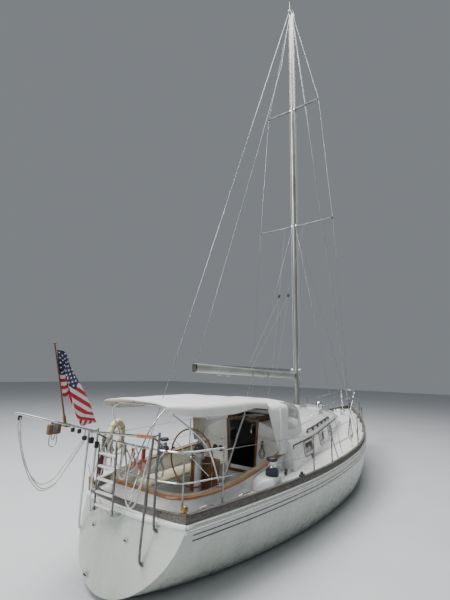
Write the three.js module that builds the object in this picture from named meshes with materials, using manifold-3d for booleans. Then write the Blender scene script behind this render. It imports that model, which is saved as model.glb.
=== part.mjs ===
// A masthead-rigged cruising sloop, 11 m long, as it lies afloat with its sails off.
// Millimetres. +X points to the bow, +Y to port, +Z up.
// The origin is on the waterline, on the centreline, at the middle of the hull's length.

import * as THREE from "three";
import { mergeVertices } from "three/addons/utils/BufferGeometryUtils.js";
import Module from "manifold-3d";

const wasm = await Module();
wasm.setup();

// Driving dimensions

const GAP = 0.4;
const PORT = 1;
const STARBOARD = -1;

const HULL = {
  bowX: 5500,
  sternX: -5500,
  cutX: -5560,
  beamHalf: 1600,
  beamX: -54,
  sternHalf: 870,
  cornerX: -5310,
  stemHalf: 12,
  sheerLowX: -2687,
  sheerLow: 885,
  sheerBow: 1400,
  sheerStern: 860,
  depth: 600,
  deepX: -400,
  tipZ: 80,
  entryX: 4400,
  stemFootX: 4290,
  stemFootZ: -60,
  stemSlope: 1.17,
  skin: 42,
  floorZ: -200,
  cavityAftX: -4960,
  cavityForeX: 4650,
};
const TRANSOM = { topX: -5230, topZ: 832, rake: 0.359, camber: 120, half: 870 };
const DECK = { thick: 30, camber: 0.045 };
const KEEL = { z: -1750, thick: 190 };
const RUDDER = { stockX: -4450, stockR: 26, topZ: -240, footZ: -1330, chord: 560, thick: 80 };
const SHAFT = {
  bow: [-2640, -585],
  prop: [-3420, -700],
  r: 14,
  propR: 210,
  blades: 3,
  logLong: 900,
  logRoot: 44,
  logTip: 26,
};
const COCKPIT = {
  foreX: -2370,
  soleZ: 450,
  seatZ: 860,
  coamingAftZ: 1060,
  coamingForeZ: 1215,
  wall: 100,
  shell: 40,
  wellHalf: 380,
  wellAftX: -4410,
};
const CAP = { thick: 28, over: 12 };
const ENGINE = { aftX: -2150, foreX: -1420, half: 270, topZ: 460 };
const HUB = { aft: 110, fore: 10, r: 34, tipR: 22, bladeX: 45, tailX: 90 };
const BRACKET = {
  sleeveFore: -3210, sleeveAft: -3300, sleeveR: 32, half: 12, play: 5,
  top: { fore: -3190, aft: -3320, z: -300 },
  foot: { fore: -3215, aft: -3295, z: -650 },
};
const PLINTH = {
  footZ: 870, in: 230, batter: 30, under: 2,
  corners: [
    { along: -330, out: -60 },
    { along: -100, out: 130 },
    { along: 130, out: 135 },
    { along: 420, out: -40 },
  ],
};
const BULKHEAD = { aftX: -2364, foreX: -2331, footZ: 470, half: 840 };
const DOORWAY = { topHalf: 345, footHalf: 265, footZ: 810 };
const TRUNK = { wall: 38, lean: 60, shoulder: 45, windowShare: 0.56 };
const HATCH = { half: 385, len: 760, thick: 30, z: 1815, openX: -1690 };
const FORE_HATCH = { aftX: 1640, foreX: 2220, half: 290, z: 1735, thick: 32, frame: 30, lip: 62, low: 1400 };
const RAIL = { high: 100, wide: 36 };
const STRAKE = { low: 64, high: 22, proud: 24, bevel: 12 };
const MAST = { x: 420, along: 190, across: 132, headZ: 14700 };
const BOOM = { pinX: 255, z: 2590, aftX: -3940, aftZ: 2690, high: 150, wide: 96 };
const WHEEL = { x: -3910, z: 1280, r: 430, rim: 14 };
const PEDESTAL = { x: -3720, topZ: 1330 };
const WINCH = { x: -3340, y: 1150, z: 1112, r: 104 };
const HANDRAIL = { aftX: -1300, foreX: 1150, spans: 5, in: 125, high: 62, r: 17, footR: 20 };
const VENT = { x: 1050, y: 330, half: 150, halfWide: 85, sunk: 80, high: 75, neckR: 46, neckTop: 160 };
const COWL = { z: 185, back: 20, front: 80, r: 62, mouthR: 96, bore: 76, deep: 40 };
const WINDLASS = {
  x: 4080,
  half: 130,
  halfWide: 95,
  high: 70,
  drumZ: 110,
  drumR: 62,
  drumHalf: 190,
  housing: 85,
  housingWide: 75,
  top: 190,
};
const ROLLER = { aftX: 5200, cheekX: 5380, foreX: 5640, half: 44, plate: 10, floor: 12, high: 80, r: 30 };
const WINCH_DRUM = [[54, 160], [66, 200], [88, 214], [88, 246], [40, 258], [0, 258]];
const STERN_RAIL = { top: 1650, middle: 1300, r: 13, thin: 10 };
const PULPIT = { high: 700, drop: 40, middle: 340, foreX: 5330, foreY: 260, noseX: 5560, noseY: 130, in: 75 };
const WIRE = 5;
const CROWN_LIGHT = {
  aft: 190, fore: 170, half: 42, high: 55, side: 20, lightX: 40, lightR: 30, lightHigh: 95,
  whip: 560, whipX: -60, whipR: 5, vane: 260, vaneX: 130, spindleR: 6, pointer: [20, 300, 20],
};
const CANVAS = 14;
// Boarding ladder: rails, treads, and the cheeks on the transom that it hinges between.
const LADDER = {
  x: -5350,
  low: 850,
  high: 1640,
  y0: 40,
  y1: 400,
  railR: 12,
  lean: 15,
  treads: 5,
  first: 60,
  pitch: 155,
  treadHalf: 22,
  thick: 26,
  cheekGap: 18,
  cheekThick: 8,
  cheekHalf: 15,
};
// Steps below the companionway. half: half the clear width; taper: how far each tread is drawn back.
const STEPS = {
  aftX: -2300,
  foreX: -2168,
  topX: -2250,
  topZ: 780,
  half: 230,
  plank: 25,
  pitch: 260,
  treads: 3,
  thick: 28,
  taper: 0.12,
};
const STANCHION_HIGH = 660;
const SHROUD = { x: 330, y: 1390 };

// The coachroof's sections. half: half-width at the deck; edge and crown: heights of the roof.
const TRUNK_SECTIONS = [
  { x: -2330, half: 1110, edge: 1400, crown: 1750 },
  { x: -1200, half: 1035, edge: 1405, crown: 1775 },
  { x: 420, half: 815, edge: 1420, crown: 1755 },
  { x: 1500, half: 650, edge: 1430, crown: 1700 },
  { x: 2400, half: 495, edge: 1430, crown: 1620 },
  { x: 2680, half: 440, edge: 1415, crown: 1575 },
  { x: 3020, half: 340, edge: 1300, crown: 1350 },
];
// Windows in each side of the coachroof. x: middle; long: length; high: height.
const WINDOWS = [
  { x: -1440, long: 520, high: 210 },
  { x: -270, long: 480, high: 210 },
  { x: 830, long: 420, high: 190 },
];
// Outline of the cockpit coaming's outer face, half of it. x, half-width.
const COCKPIT_OUTLINE = [
  { x: -4960, half: 520 },
  { x: -4880, half: 690 },
  { x: -4640, half: 850 },
  { x: -4150, half: 965 },
  { x: -3300, half: 955 },
  { x: COCKPIT.foreX, half: 900 },
];
// Stanchions of each side rail. x: place along the deck; in: inset from its edge.
const STANCHIONS = [
  { x: -2260, in: 75 },
  { x: -1470, in: 75 },
  { x: 450, in: 75 },
  { x: 2150, in: 75 },
  { x: 3350, in: 70 },
];
// Sections of the fixed keel and the skeg. z: height; fore, aft: edges; thick: greatest thickness.
const KEEL_SECTIONS = [
  { z: -380, fore: 1850, aft: -1500, thick: 230 },
  { z: -800, fore: 1600, aft: -1330, thick: 215 },
  { z: KEEL.z, fore: 1050, aft: -1000, thick: KEEL.thick },
];
const SKEG_SECTIONS = [
  { z: 0, fore: -3600, aft: -4395, thick: 110 },
  { z: -300, fore: -3740, aft: -4395, thick: 100 },
  { z: -1120, fore: -4160, aft: -4395, thick: 70 },
];
// Arches of the spray hood. x: place; half: half-width; foot, top: heights; foot is where it ends.
const DODGER_ARCHES = [
  { x: -2900, half: 860, foot: 1990, top: 2150 },
  { x: -2640, half: 960, foot: 1260, top: 2150 },
  { x: -1990, half: 950, foot: 1260, top: 2130 },
  { x: -1680, half: 910, foot: 1300, top: 2060 },
  { x: -1420, half: 850, foot: 1400, top: 1780 },
];
// Arches of the bimini. x: place; half: half-width; edge: lower edge; top: crown.
const BIMINI_ARCHES = [
  { x: -5190, half: 620, edge: 2130, top: 2225 },
  { x: -4700, half: 800, edge: 2040, top: 2250 },
  { x: -4000, half: 850, edge: 2030, top: 2250 },
  { x: -3310, half: 850, edge: 2070, top: 2210 },
  { x: -2925, half: 850, edge: 2060, top: 2180 },
];

// Colours and finishes

const LOOKS = {
  gelcoat: { color: 0xe9e9e2, roughness: 0.3, metalness: 0 },
  bottom_paint: { color: 0x2b3a4d, roughness: 0.9, metalness: 0 },
  deck_paint: { color: 0xdfe3e2, roughness: 0.75, metalness: 0 },
  varnished_teak: { color: 0xa8622c, roughness: 0.35, metalness: 0 },
  grey_teak: { color: 0x86847a, roughness: 0.85, metalness: 0 },
  stainless: { color: 0xb9bcbd, roughness: 0.25, metalness: 1 },
  spar: { color: 0xa3a6a5, roughness: 0.5, metalness: 1 },
  canvas: { color: 0xd8d5cc, roughness: 0.95, metalness: 0 },
  glass: { color: 0x3a4246, roughness: 0.1, metalness: 0 },
  cushion: { color: 0xe0d6ae, roughness: 0.9, metalness: 0 },
  navy: { color: 0x1d2433, roughness: 0.6, metalness: 0 },
  bronze: { color: 0x8c6a34, roughness: 0.4, metalness: 1 },
  iron: { color: 0x53604f, roughness: 0.8, metalness: 0.3 },
  flag: { color: 0xb22234, roughness: 0.9, metalness: 0 },
  rope: { color: 0xb9b8ae, roughness: 0.95, metalness: 0 },
};

// Shape helpers

const V = (x, y, z) => new THREE.Vector3(x, y, z);
const V2 = (x, y) => new THREE.Vector2(x, y);
const clamp = THREE.MathUtils.clamp;
const lerp = THREE.MathUtils.lerp;

// A closed three.js geometry as a solid that can be joined and cut.
function solidOf(geometry) {
  const bare = new THREE.BufferGeometry();
  bare.setAttribute("position", geometry.getAttribute("position"));
  if (geometry.index) bare.setIndex(geometry.index);
  const merged = mergeVertices(bare, 1e-3);
  const corners = merged.index.array;
  const kept = [];
  for (let i = 0; i < corners.length; i += 3) {
    const [a, b, c] = [corners[i], corners[i + 1], corners[i + 2]];
    if (a !== b && b !== c && c !== a) kept.push(a, b, c);
  }
  const vertProperties = new Float32Array(merged.attributes.position.array);
  const build = (triVerts) => {
    return new wasm.Manifold(new wasm.Mesh({ numProp: 3, vertProperties, triVerts }));
  };
  const solid = build(new Uint32Array(kept));
  if (solid.volume() >= 0) return solid;
  for (let i = 0; i < kept.length; i += 3) [kept[i], kept[i + 1]] = [kept[i + 1], kept[i]];
  return build(new Uint32Array(kept));
}

function geometryOf(solid) {
  const mesh = solid.getMesh();
  const stride = mesh.numProp;
  const positions = new Float32Array(mesh.numVert * 3);
  for (let i = 0; i < mesh.numVert; i += 1) {
    positions.set(mesh.vertProperties.subarray(i * stride, i * stride + 3), i * 3);
  }
  const geometry = new THREE.BufferGeometry();
  geometry.setAttribute("position", new THREE.BufferAttribute(positions, 3));
  geometry.setIndex(new THREE.BufferAttribute(new Uint32Array(mesh.triVerts), 1));
  geometry.computeVertexNormals();
  return geometry;
}

const join = (...solids) => solids.flat().reduce((a, b) => a.add(b));
const cut = (solid, ...tools) => tools.flat().reduce((a, b) => a.subtract(b), solid);

// Triangles that close a ring, wound as the ring itself is.
function ringCap(ring) {
  const n = ring.length;
  const across = V(0, 0, 0);
  for (let i = 0; i < n; i += 1) across.add(ring[i].clone().cross(ring[(i + 1) % n]));
  const [ax, ay, az] = [Math.abs(across.x), Math.abs(across.y), Math.abs(across.z)];
  const flat = ring.map((p) => {
    if (ax >= ay && ax >= az) return V2(p.y, p.z);
    return ay >= az ? V2(p.x, p.z) : V2(p.x, p.y);
  });
  const faces = THREE.ShapeUtils.triangulateShape(flat, []);
  const runs = (p, q) => (p + 1) % n === q;
  const forward = ([a, b, c]) => runs(a, b) || runs(b, c) || runs(c, a);
  const backward = ([a, b, c]) => runs(b, a) || runs(c, b) || runs(a, c);
  const edge = faces.find((f) => forward(f) !== backward(f));
  return forward(edge) ? faces : faces.map(([a, b, c]) => [a, c, b]);
}

// A solid through a row of rings, each with the same number of points.
function loft(rings, closed = false) {
  const n = rings[0].length;
  const faces = [];
  const last = closed ? rings.length : rings.length - 1;
  for (let i = 0; i < last; i += 1) {
    const a = i * n;
    const b = ((i + 1) % rings.length) * n;
    for (let j = 0; j < n; j += 1) {
      const k = (j + 1) % n;
      faces.push(a + j, a + k, b + k, a + j, b + k, b + j);
    }
  }
  if (!closed) {
    const end = (rings.length - 1) * n;
    for (const [a, b, c] of ringCap(rings[0])) faces.push(a, c, b);
    for (const [a, b, c] of ringCap(rings[rings.length - 1])) faces.push(end + a, end + b, end + c);
  }
  const geometry = new THREE.BufferGeometry();
  const positions = rings.flat().flatMap((p) => [p.x, p.y, p.z]);
  geometry.setAttribute("position", new THREE.Float32BufferAttribute(positions, 3));
  geometry.setIndex(faces);
  return solidOf(geometry);
}

function box(x0, x1, y0, y1, z0, z1) {
  const geometry = new THREE.BoxGeometry(x1 - x0, y1 - y0, z1 - z0);
  geometry.translate((x0 + x1) / 2, (y0 + y1) / 2, (z0 + z1) / 2);
  return solidOf(geometry);
}

// A straight round bar, or a cone, between two points.
function rod(from, to, radius, sides = 8, endRadius = radius) {
  const along = to.clone().sub(from);
  const geometry = new THREE.CylinderGeometry(endRadius, radius, along.length(), sides);
  const turn = new THREE.Quaternion().setFromUnitVectors(V(0, 1, 0), along.clone().normalize());
  geometry.applyQuaternion(turn);
  const middle = from.clone().lerp(to, 0.5);
  geometry.translate(middle.x, middle.y, middle.z);
  return solidOf(geometry);
}

// Straight bars end to end.
function chain(points, radius, sides = 8) {
  const bars = [];
  for (let i = 1; i < points.length; i += 1) {
    const [a, b] = [points[i - 1], points[i]];
    const over = b.clone().sub(a).setLength(radius * 0.4);
    bars.push(rod(a.clone().sub(over), b.clone().add(over), radius, sides));
  }
  return join(bars);
}

// A round bar along a smooth curve through points.
function bent(points, radius, steps, sides = 8) {
  const section = new THREE.Shape(
    Array.from({ length: sides }, (_, i) => {
      const turn = (i / sides) * 2 * Math.PI;
      return V2(radius * Math.cos(turn), radius * Math.sin(turn));
    }),
  );
  const extrudePath = new THREE.CatmullRomCurve3(points, false, "centripetal");
  return solidOf(new THREE.ExtrudeGeometry(section, { steps, extrudePath, bevelEnabled: false }));
}

// An upright prism over an outline in plan.
function prism(outline, z0, z1) {
  const settings = { depth: z1 - z0, bevelEnabled: false };
  const geometry = new THREE.ExtrudeGeometry(new THREE.Shape(outline), settings);
  geometry.translate(0, 0, z0);
  return solidOf(geometry);
}

// A turned shape about an upright axis. Profile points are radius, height.
function turned(profile, x, y, z, sides = 12) {
  const geometry = new THREE.LatheGeometry(profile.map(([r, h]) => V2(r, h)), sides);
  geometry.rotateX(Math.PI / 2);
  geometry.translate(x, y, z);
  return solidOf(geometry);
}

function row(table, x, key) {
  const i = clamp(table.findIndex((r) => r.x >= x), 1, table.length - 1);
  const [a, b] = [table[i - 1], table[i]];
  return lerp(a[key], b[key], clamp((x - a.x) / (b.x - a.x), 0, 1));
}

// Parts list

const yacht = new THREE.Group();

function part(name, solid, look) {
  const mesh = new THREE.Mesh(geometryOf(solid), new THREE.MeshStandardMaterial(LOOKS[look]));
  mesh.name = name;
  yacht.add(mesh);
}

// Hull form

const foreShare = (x) => clamp((x - HULL.beamX) / (HULL.bowX - HULL.beamX), 0, 1);

function halfBreadth(x) {
  if (x >= HULL.beamX) {
    const breadth = HULL.beamHalf * (1 - foreShare(x) ** 1.73) ** 0.943;
    return Math.max(breadth, HULL.stemHalf);
  }
  const aft = (HULL.beamX - x) / (HULL.beamX - HULL.cornerX);
  return HULL.beamHalf - (HULL.beamHalf - HULL.sternHalf) * aft ** 2.2;
}

function sheer(x) {
  const fore = x >= HULL.sheerLowX;
  const end = fore ? HULL.bowX : HULL.sternX;
  const height = fore ? HULL.sheerBow : HULL.sheerStern;
  return HULL.sheerLow + (height - HULL.sheerLow) * ((x - HULL.sheerLowX) / (end - HULL.sheerLowX)) ** 2;
}

function bottom(x) {
  if (x < HULL.deepX) {
    const aft = (HULL.deepX - x) / (HULL.deepX - HULL.sternX);
    return -HULL.depth + (HULL.depth + HULL.tipZ) * aft ** 2;
  }
  const canoe = -HULL.depth + HULL.depth * ((x - HULL.deepX) / (HULL.entryX - HULL.deepX)) ** 2.2;
  const stem = HULL.stemFootZ + (x - HULL.stemFootX) * HULL.stemSlope;
  return Math.min(Math.max(canoe, stem), sheer(x) - 60);
}

// One section of the hull, from the starboard sheer under the keel to the port sheer.
function hullRing(x, inset, steps = 16) {
  const fore = foreShare(x) ** 1.5;
  const aft = clamp((HULL.beamX - x) / (HULL.beamX - HULL.sternX), 0, 1);
  const round = 2.5 - fore - 0.5 * aft;
  const flare = 2 - 0.7 * fore;
  const half = halfBreadth(x) - inset;
  const top = sheer(x);
  const low = bottom(x) + inset;
  return Array.from({ length: steps + 1 }, (_, i) => {
    const turn = (i / steps) * Math.PI;
    const out = Math.cos(turn);
    const down = Math.sin(turn) ** (2 / round);
    const y = i * 2 === steps ? 0 : -Math.sign(out) * half * Math.abs(out) ** (2 / flare);
    return V(x, y, top - down * (top - low));
  });
}

const range = (from, to, count) => {
  return Array.from({ length: count + 1 }, (_, i) => lerp(from, to, i / count));
};
const STATIONS = [
  ...range(HULL.cutX, -3900, 4),
  ...range(-3500, 2900, 9),
  ...range(3350, 4100, 2),
  HULL.stemFootX,
  4550,
  4850,
  5150,
  5350,
  5440,
  5490,
  HULL.bowX,
];

const hullBody = (inset) => loft(STATIONS.map((x) => hullRing(x, inset)));

// Everything aft of the raked, cambered transom.
function aftOfTransom(shift) {
  const curve = range(-1500, 1500, 12).map((y) => {
    return V2(TRANSOM.topX + shift + TRANSOM.camber * (y / TRANSOM.half) ** 2, y);
  });
  const outline = [...curve, V2(-7500, 1500), V2(-7500, -1500)];
  const settings = { depth: 4000, bevelEnabled: false };
  const geometry = new THREE.ExtrudeGeometry(new THREE.Shape(outline), settings);
  geometry.translate(0, 0, -1000);
  const shear = new THREE.Matrix4();
  shear.elements[8] = TRANSOM.rake;
  shear.elements[12] = -TRANSOM.rake * TRANSOM.topZ;
  geometry.applyMatrix4(shear);
  return solidOf(geometry);
}

const transomX = (y, z) => {
  return TRANSOM.topX + TRANSOM.camber * (y / TRANSOM.half) ** 2 + (z - TRANSOM.topZ) * TRANSOM.rake;
};

// Deck surface

const deckRise = (x, y) => {
  const half = halfBreadth(x);
  return DECK.camber * half * (1 - clamp(y / half, -1, 1) ** 2);
};
const deckTop = (x, y) => sheer(x) + GAP + deckRise(x, y) + DECK.thick;

function deckSlab(low, high, inset = 2) {
  const ACROSS = 8;
  const rings = STATIONS.map((x) => {
    const half = halfBreadth(x) - inset;
    const ys = range(-half, half, ACROSS);
    const line = (z) => ys.map((y) => V(x, y, z(y)));
    return [...line((y) => low(x, y)), ...line((y) => high(x, y)).reverse()];
  });
  return loft(rings);
}

// All that lies under the deck's top surface, to trim what stands on it.
const underDeck = deckSlab(() => -400, (x, y) => deckTop(x, y) + 2, -60);

// Coachroof form

function trunkRing(section, inset, foot) {
  const half = section.half - inset;
  const top = section.edge - inset * 0.9;
  const crown = section.crown - inset;
  const lean = half - TRUNK.lean;
  const shoulder = lean - TRUNK.shoulder;
  const roof = (share) => V(section.x, shoulder * share, lerp(crown, top + 26, share ** 2));
  const side = [
    V(section.x, half, foot),
    V(section.x, lean, top - 30),
    roof(1),
    roof(0.66),
    roof(0.33),
    V(section.x, 0, crown),
  ];
  const mirror = side.slice(0, -1).reverse().map((p) => V(p.x, -p.y, p.z));
  return [...side, ...mirror];
}

const trunkBody = (inset, foot, sections) => {
  return loft(sections.map((section) => trunkRing(section, inset, foot)));
};

const trunkAft = TRUNK_SECTIONS[0];
const trunkInner = [
  { ...trunkAft, x: trunkAft.x - 60 },
  ...TRUNK_SECTIONS.slice(0, -2),
  ...TRUNK_SECTIONS.slice(-2).map((section) => ({ ...section, x: section.x - 75 })),
];

const TRUNK_FOOT = 900;
const roofTop = (x, y) => {
  const half = row(TRUNK_SECTIONS, x, "half") - TRUNK.lean - TRUNK.shoulder;
  const share = clamp(Math.abs(y) / half, 0, 1);
  return lerp(row(TRUNK_SECTIONS, x, "crown"), row(TRUNK_SECTIONS, x, "edge") + 26, share ** 2);
};

// A point on the coachroof's side, at a height, some way in from its outer face.
function trunkSide(x, z, inset) {
  const half = row(TRUNK_SECTIONS, x, "half") - inset;
  const top = row(TRUNK_SECTIONS, x, "edge") - inset * 0.9 - 30;
  return half - (TRUNK.lean * (z - TRUNK_FOOT)) / (top - TRUNK_FOOT);
}

const windowZ = (x) => {
  const low = deckTop(x, row(TRUNK_SECTIONS, x, "half"));
  return lerp(low, row(TRUNK_SECTIONS, x, "edge"), TRUNK.windowShare);
};

const trunkOutside = trunkBody(-GAP, TRUNK_FOOT, [
  { ...trunkAft, x: BULKHEAD.aftX - GAP },
  ...TRUNK_SECTIONS,
]);

// Hull, keel, skeg, rudder and propeller

// Plates on the transom, outside the ladder's rails.
function ladderCheeks() {
  const { x, low, y0, y1, cheekGap, cheekThick, cheekHalf } = LADDER;
  return [
    [y0 - cheekGap - cheekThick, y0 - cheekGap],
    [y1 + cheekGap, y1 + cheekGap + cheekThick],
  ].map(([a, b]) => {
    return box(x - cheekHalf, transomX(a, low) + cheekHalf, a, b, low - cheekHalf, low + cheekHalf);
  });
}

// The faired stub around the shaft where it leaves the hull.
function shaftLog() {
  const [bowX] = SHAFT.bow;
  return rod(shaftPoint(bowX + SHAFT.logLong), shaftPoint(bowX), SHAFT.logRoot, 12, SHAFT.logTip);
}

function hull() {
  const body = cut(join(hullBody(0), shaftLog()), aftOfTransom(0));
  const inside = STATIONS.filter((x) => x > HULL.cavityAftX && x < HULL.cavityForeX);
  const cavity = loft([HULL.cavityAftX, ...inside, HULL.cavityForeX].map((x) => hullRing(x, HULL.skin)));
  const above = box(-6000, 6000, -2000, 2000, HULL.floorZ, 2000);
  const lip = loft(
    [HULL.cavityAftX, ...inside, HULL.cavityForeX].map((x) => {
      const half = halfBreadth(x) - HULL.skin;
      const z = sheer(x);
      return [V(x, -half, z - 20), V(x, half, z - 20), V(x, half, z + 200), V(x, -half, z + 200)];
    }),
  );
  const tube = rod(V(RUDDER.stockX, 0, -400), V(RUDDER.stockX, 0, 300), RUDDER.stockR + 6, 16);
  const well = box(COCKPIT.wellAftX - 120, -2300, -430, 430, COCKPIT.soleZ - 60, 1200);
  return join(cut(body, cavity.intersect(above), lip, tube, well), ladderCheeks());
}

// A foil lying in level sections, blunt at its fore edge and sharp at its aft one.
function foil(sections) {
  const shares = [0, 0.06, 0.2, 0.42, 0.7, 1];
  const thick = [0.12, 0.55, 0.92, 1, 0.62, 0.09];
  const rings = sections.map(({ z, fore, aft, thick: most }) => {
    const side = shares.map((s, i) => V(lerp(fore, aft, s), (thick[i] * most) / 2, z));
    return [...side, ...side.slice().reverse().map((p) => V(p.x, -p.y, p.z))];
  });
  return loft(rings);
}

function rudder() {
  const { stockX, topZ, footZ, chord, thick } = RUDDER;
  const blade = foil([
    { z: topZ, fore: stockX + 20, aft: stockX - chord, thick },
    { z: -800, fore: stockX + 20, aft: stockX - chord * 0.95, thick },
    { z: footZ, fore: stockX + 20, aft: stockX - chord * 0.72, thick: thick * 0.8 },
  ]);
  return join(blade, rod(V(stockX, 0, topZ - 200), V(stockX, 0, 330), RUDDER.stockR, 16));
}

const shaftPoint = (x) => {
  const [[x0, z0], [x1, z1]] = [SHAFT.bow, SHAFT.prop];
  return V(x, 0, lerp(z0, z1, (x - x0) / (x1 - x0)));
};

function propeller() {
  const from = shaftPoint(SHAFT.bow[0] - 8);
  const to = shaftPoint(SHAFT.prop[0] - HUB.tailX);
  const along = to.clone().sub(from).normalize();
  const hubFrom = shaftPoint(SHAFT.prop[0] + HUB.fore);
  const hub = rod(hubFrom, shaftPoint(SHAFT.prop[0] - HUB.aft), HUB.r, 12, HUB.tipR);
  const middle = shaftPoint(SHAFT.prop[0] - HUB.bladeX);
  const blades = Array.from({ length: SHAFT.blades }, (_, i) => {
    const turn = (i / SHAFT.blades) * 2 * Math.PI;
    const blade = new THREE.SphereGeometry(1, 10, 6);
    blade.scale(9, SHAFT.propR * 0.3, SHAFT.propR * 0.46);
    blade.rotateZ(0.5);
    blade.translate(0, 0, SHAFT.propR * 0.54);
    blade.rotateX(turn);
    const lie = new THREE.Quaternion().setFromUnitVectors(V(-1, 0, 0), along);
    blade.applyQuaternion(lie);
    blade.translate(middle.x, middle.y, middle.z);
    return solidOf(blade);
  });
  return join(rod(from, to, SHAFT.r, 12), hub, blades);
}

function shaftBracket() {
  const { sleeveFore, sleeveAft, sleeveR, half, play, top, foot } = BRACKET;
  const leg = loft([top, foot].map(({ fore, aft, z }) => {
    return [V(fore, half, z), V(aft, half, z), V(aft, -half, z), V(fore, -half, z)];
  }));
  const sleeve = join(leg, rod(shaftPoint(sleeveFore), shaftPoint(sleeveAft), sleeveR, 12));
  const bore = rod(shaftPoint(top.fore + 190), shaftPoint(top.aft - 180), SHAFT.r + play, 12);
  return cut(sleeve, bore, hullBody(-GAP));
}

part("hull_shell", hull(), "gelcoat");
const outerHull = hullBody(-GAP);
part("keel", cut(foil(KEEL_SECTIONS), outerHull), "bottom_paint");
part("skeg", cut(foil(SKEG_SECTIONS), outerHull), "bottom_paint");
part("rudder_blade", rudder(), "bottom_paint");
part("shaft_bracket", shaftBracket(), "bronze");
part("propeller", propeller(), "bronze");
const { aftX: engineAftX, foreX: engineForeX, half: engineHalf, topZ: engineTopZ } = ENGINE;
const engineBlock = box(
  engineAftX, engineForeX, -engineHalf, engineHalf, HULL.floorZ + 1, engineTopZ,
);
part("engine_block", engineBlock, "iron");

// Deck, coachroof and cockpit

function cockpitOutline(inset, foreX = COCKPIT.foreX) {
  const side = COCKPIT_OUTLINE.map(({ x, half }, i) => {
    const last = i === COCKPIT_OUTLINE.length - 1;
    const at = last ? foreX : x + inset * (i === 0 ? 1 : 0.7 - 0.2 * i);
    return V2(i > 2 && !last ? x : at, half - inset);
  });
  return [...side, ...side.slice().reverse().map((p) => V2(p.x, -p.y))];
}

function deck() {
  const slab = deckSlab((x, y) => sheer(x) + GAP + deckRise(x, y), deckTop);
  const trunkHole = trunkBody(TRUNK.wall + 30, 500, TRUNK_SECTIONS.slice(0, -1));
  const cockpitHole = prism(cockpitOutline(-1, -2250), 300, 2000);
  return cut(slab, aftOfTransom(2), trunkHole, cockpitHole);
}

function windowHoles() {
  return WINDOWS.flatMap(({ x, long, high }) => {
    const z = windowZ(x);
    const shape = new THREE.Shape();
    const [a, b, c] = [long / 2, high / 2, 40];
    shape.moveTo(-a + c, -b);
    shape.lineTo(a - c, -b);
    shape.lineTo(a, -b + c);
    shape.lineTo(a, b - c);
    shape.lineTo(a - c, b);
    shape.lineTo(-a + c, b);
    shape.lineTo(-a, b - c);
    shape.lineTo(-a, -b + c);
    const geometry = new THREE.ExtrudeGeometry(shape, { depth: 4000, bevelEnabled: false });
    geometry.rotateX(Math.PI / 2);
    geometry.translate(x, 2000, z);
    return solidOf(geometry);
  });
}

function foreHatchFrame(inset, z0, z1) {
  const { aftX, foreX, half } = FORE_HATCH;
  return box(aftX + inset, foreX - inset, -half + inset, half - inset, z0, z1);
}

function coachroof() {
  const outer = trunkBody(0, TRUNK_FOOT, TRUNK_SECTIONS);
  const inner = trunkBody(TRUNK.wall, TRUNK_FOOT, trunkInner);
  const { z: hatchZ, frame, lip, low } = FORE_HATCH;
  const hatchFrame = foreHatchFrame(frame, low + 100, hatchZ - GAP);
  const rails = [PORT, STARBOARD].map((side) => {
    const y = [side * (HATCH.half - 44), side * (HATCH.half - 6)].sort((a, b) => a - b);
    return box(trunkAft.x, HATCH.openX + HATCH.len + 60, y[0], y[1], 1690, HATCH.z - 8);
  });
  const shell = cut(join(outer, hatchFrame, rails), inner);
  const openings = [
    box(-2500, HATCH.openX + 20, -HATCH.half + 50, HATCH.half - 50, 1500, 2000),
    foreHatchFrame(lip, low, 2000),
  ];
  return cut(shell, windowHoles(), openings, underDeck);
}

function bulkhead() {
  const { aftX, foreX, footZ, half } = BULKHEAD;
  const upper = loft([aftX, foreX].map((x) => trunkRing({ ...trunkAft, x }, 0, TRUNK_FOOT)));
  const lower = box(aftX, foreX, -half, half, footZ, 1200);
  const doorway = loft(
    [aftX - 50, foreX + 50].map((x) => [
      V(x, DOORWAY.footHalf, DOORWAY.footZ),
      V(x, DOORWAY.topHalf, 1900),
      V(x, -DOORWAY.topHalf, 1900),
      V(x, -DOORWAY.footHalf, DOORWAY.footZ),
    ]),
  );
  return cut(join(cut(upper, underDeck), lower), doorway);
}

const coamingTop = (x) => {
  const share = (x - COCKPIT_OUTLINE[0].x) / (COCKPIT.foreX - COCKPIT_OUTLINE[0].x);
  return lerp(COCKPIT.coamingAftZ, COCKPIT.coamingForeZ, share);
};

// A slab between two heights above the coaming's sloping top.
function overCoaming(outline, low, high) {
  const slope = (COCKPIT.coamingForeZ - COCKPIT.coamingAftZ) / (COCKPIT.foreX - COCKPIT_OUTLINE[0].x);
  const geometry = new THREE.ExtrudeGeometry(new THREE.Shape(outline), {
    depth: high - low,
    bevelEnabled: false,
  });
  geometry.translate(0, 0, low);
  const shear = new THREE.Matrix4();
  shear.elements[2] = slope;
  shear.elements[14] = coamingTop(0);
  geometry.applyMatrix4(shear);
  return solidOf(geometry);
}

// The low moulded pad that carries a winch, outboard of the coaming.
function winchPlinth(side) {
  const { x, y, z } = WINCH;
  const { footZ, in: inward, batter, under, corners } = PLINTH;
  const rings = corners.map(({ along, out }) => [
    V(x + along, side * (y - inward), footZ),
    V(x + along, side * (y + out), footZ),
    V(x + along, side * (y + out - batter), z - under),
    V(x + along, side * (y - inward), z - under),
  ]);
  return cut(loft(rings), underDeck);
}

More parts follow.
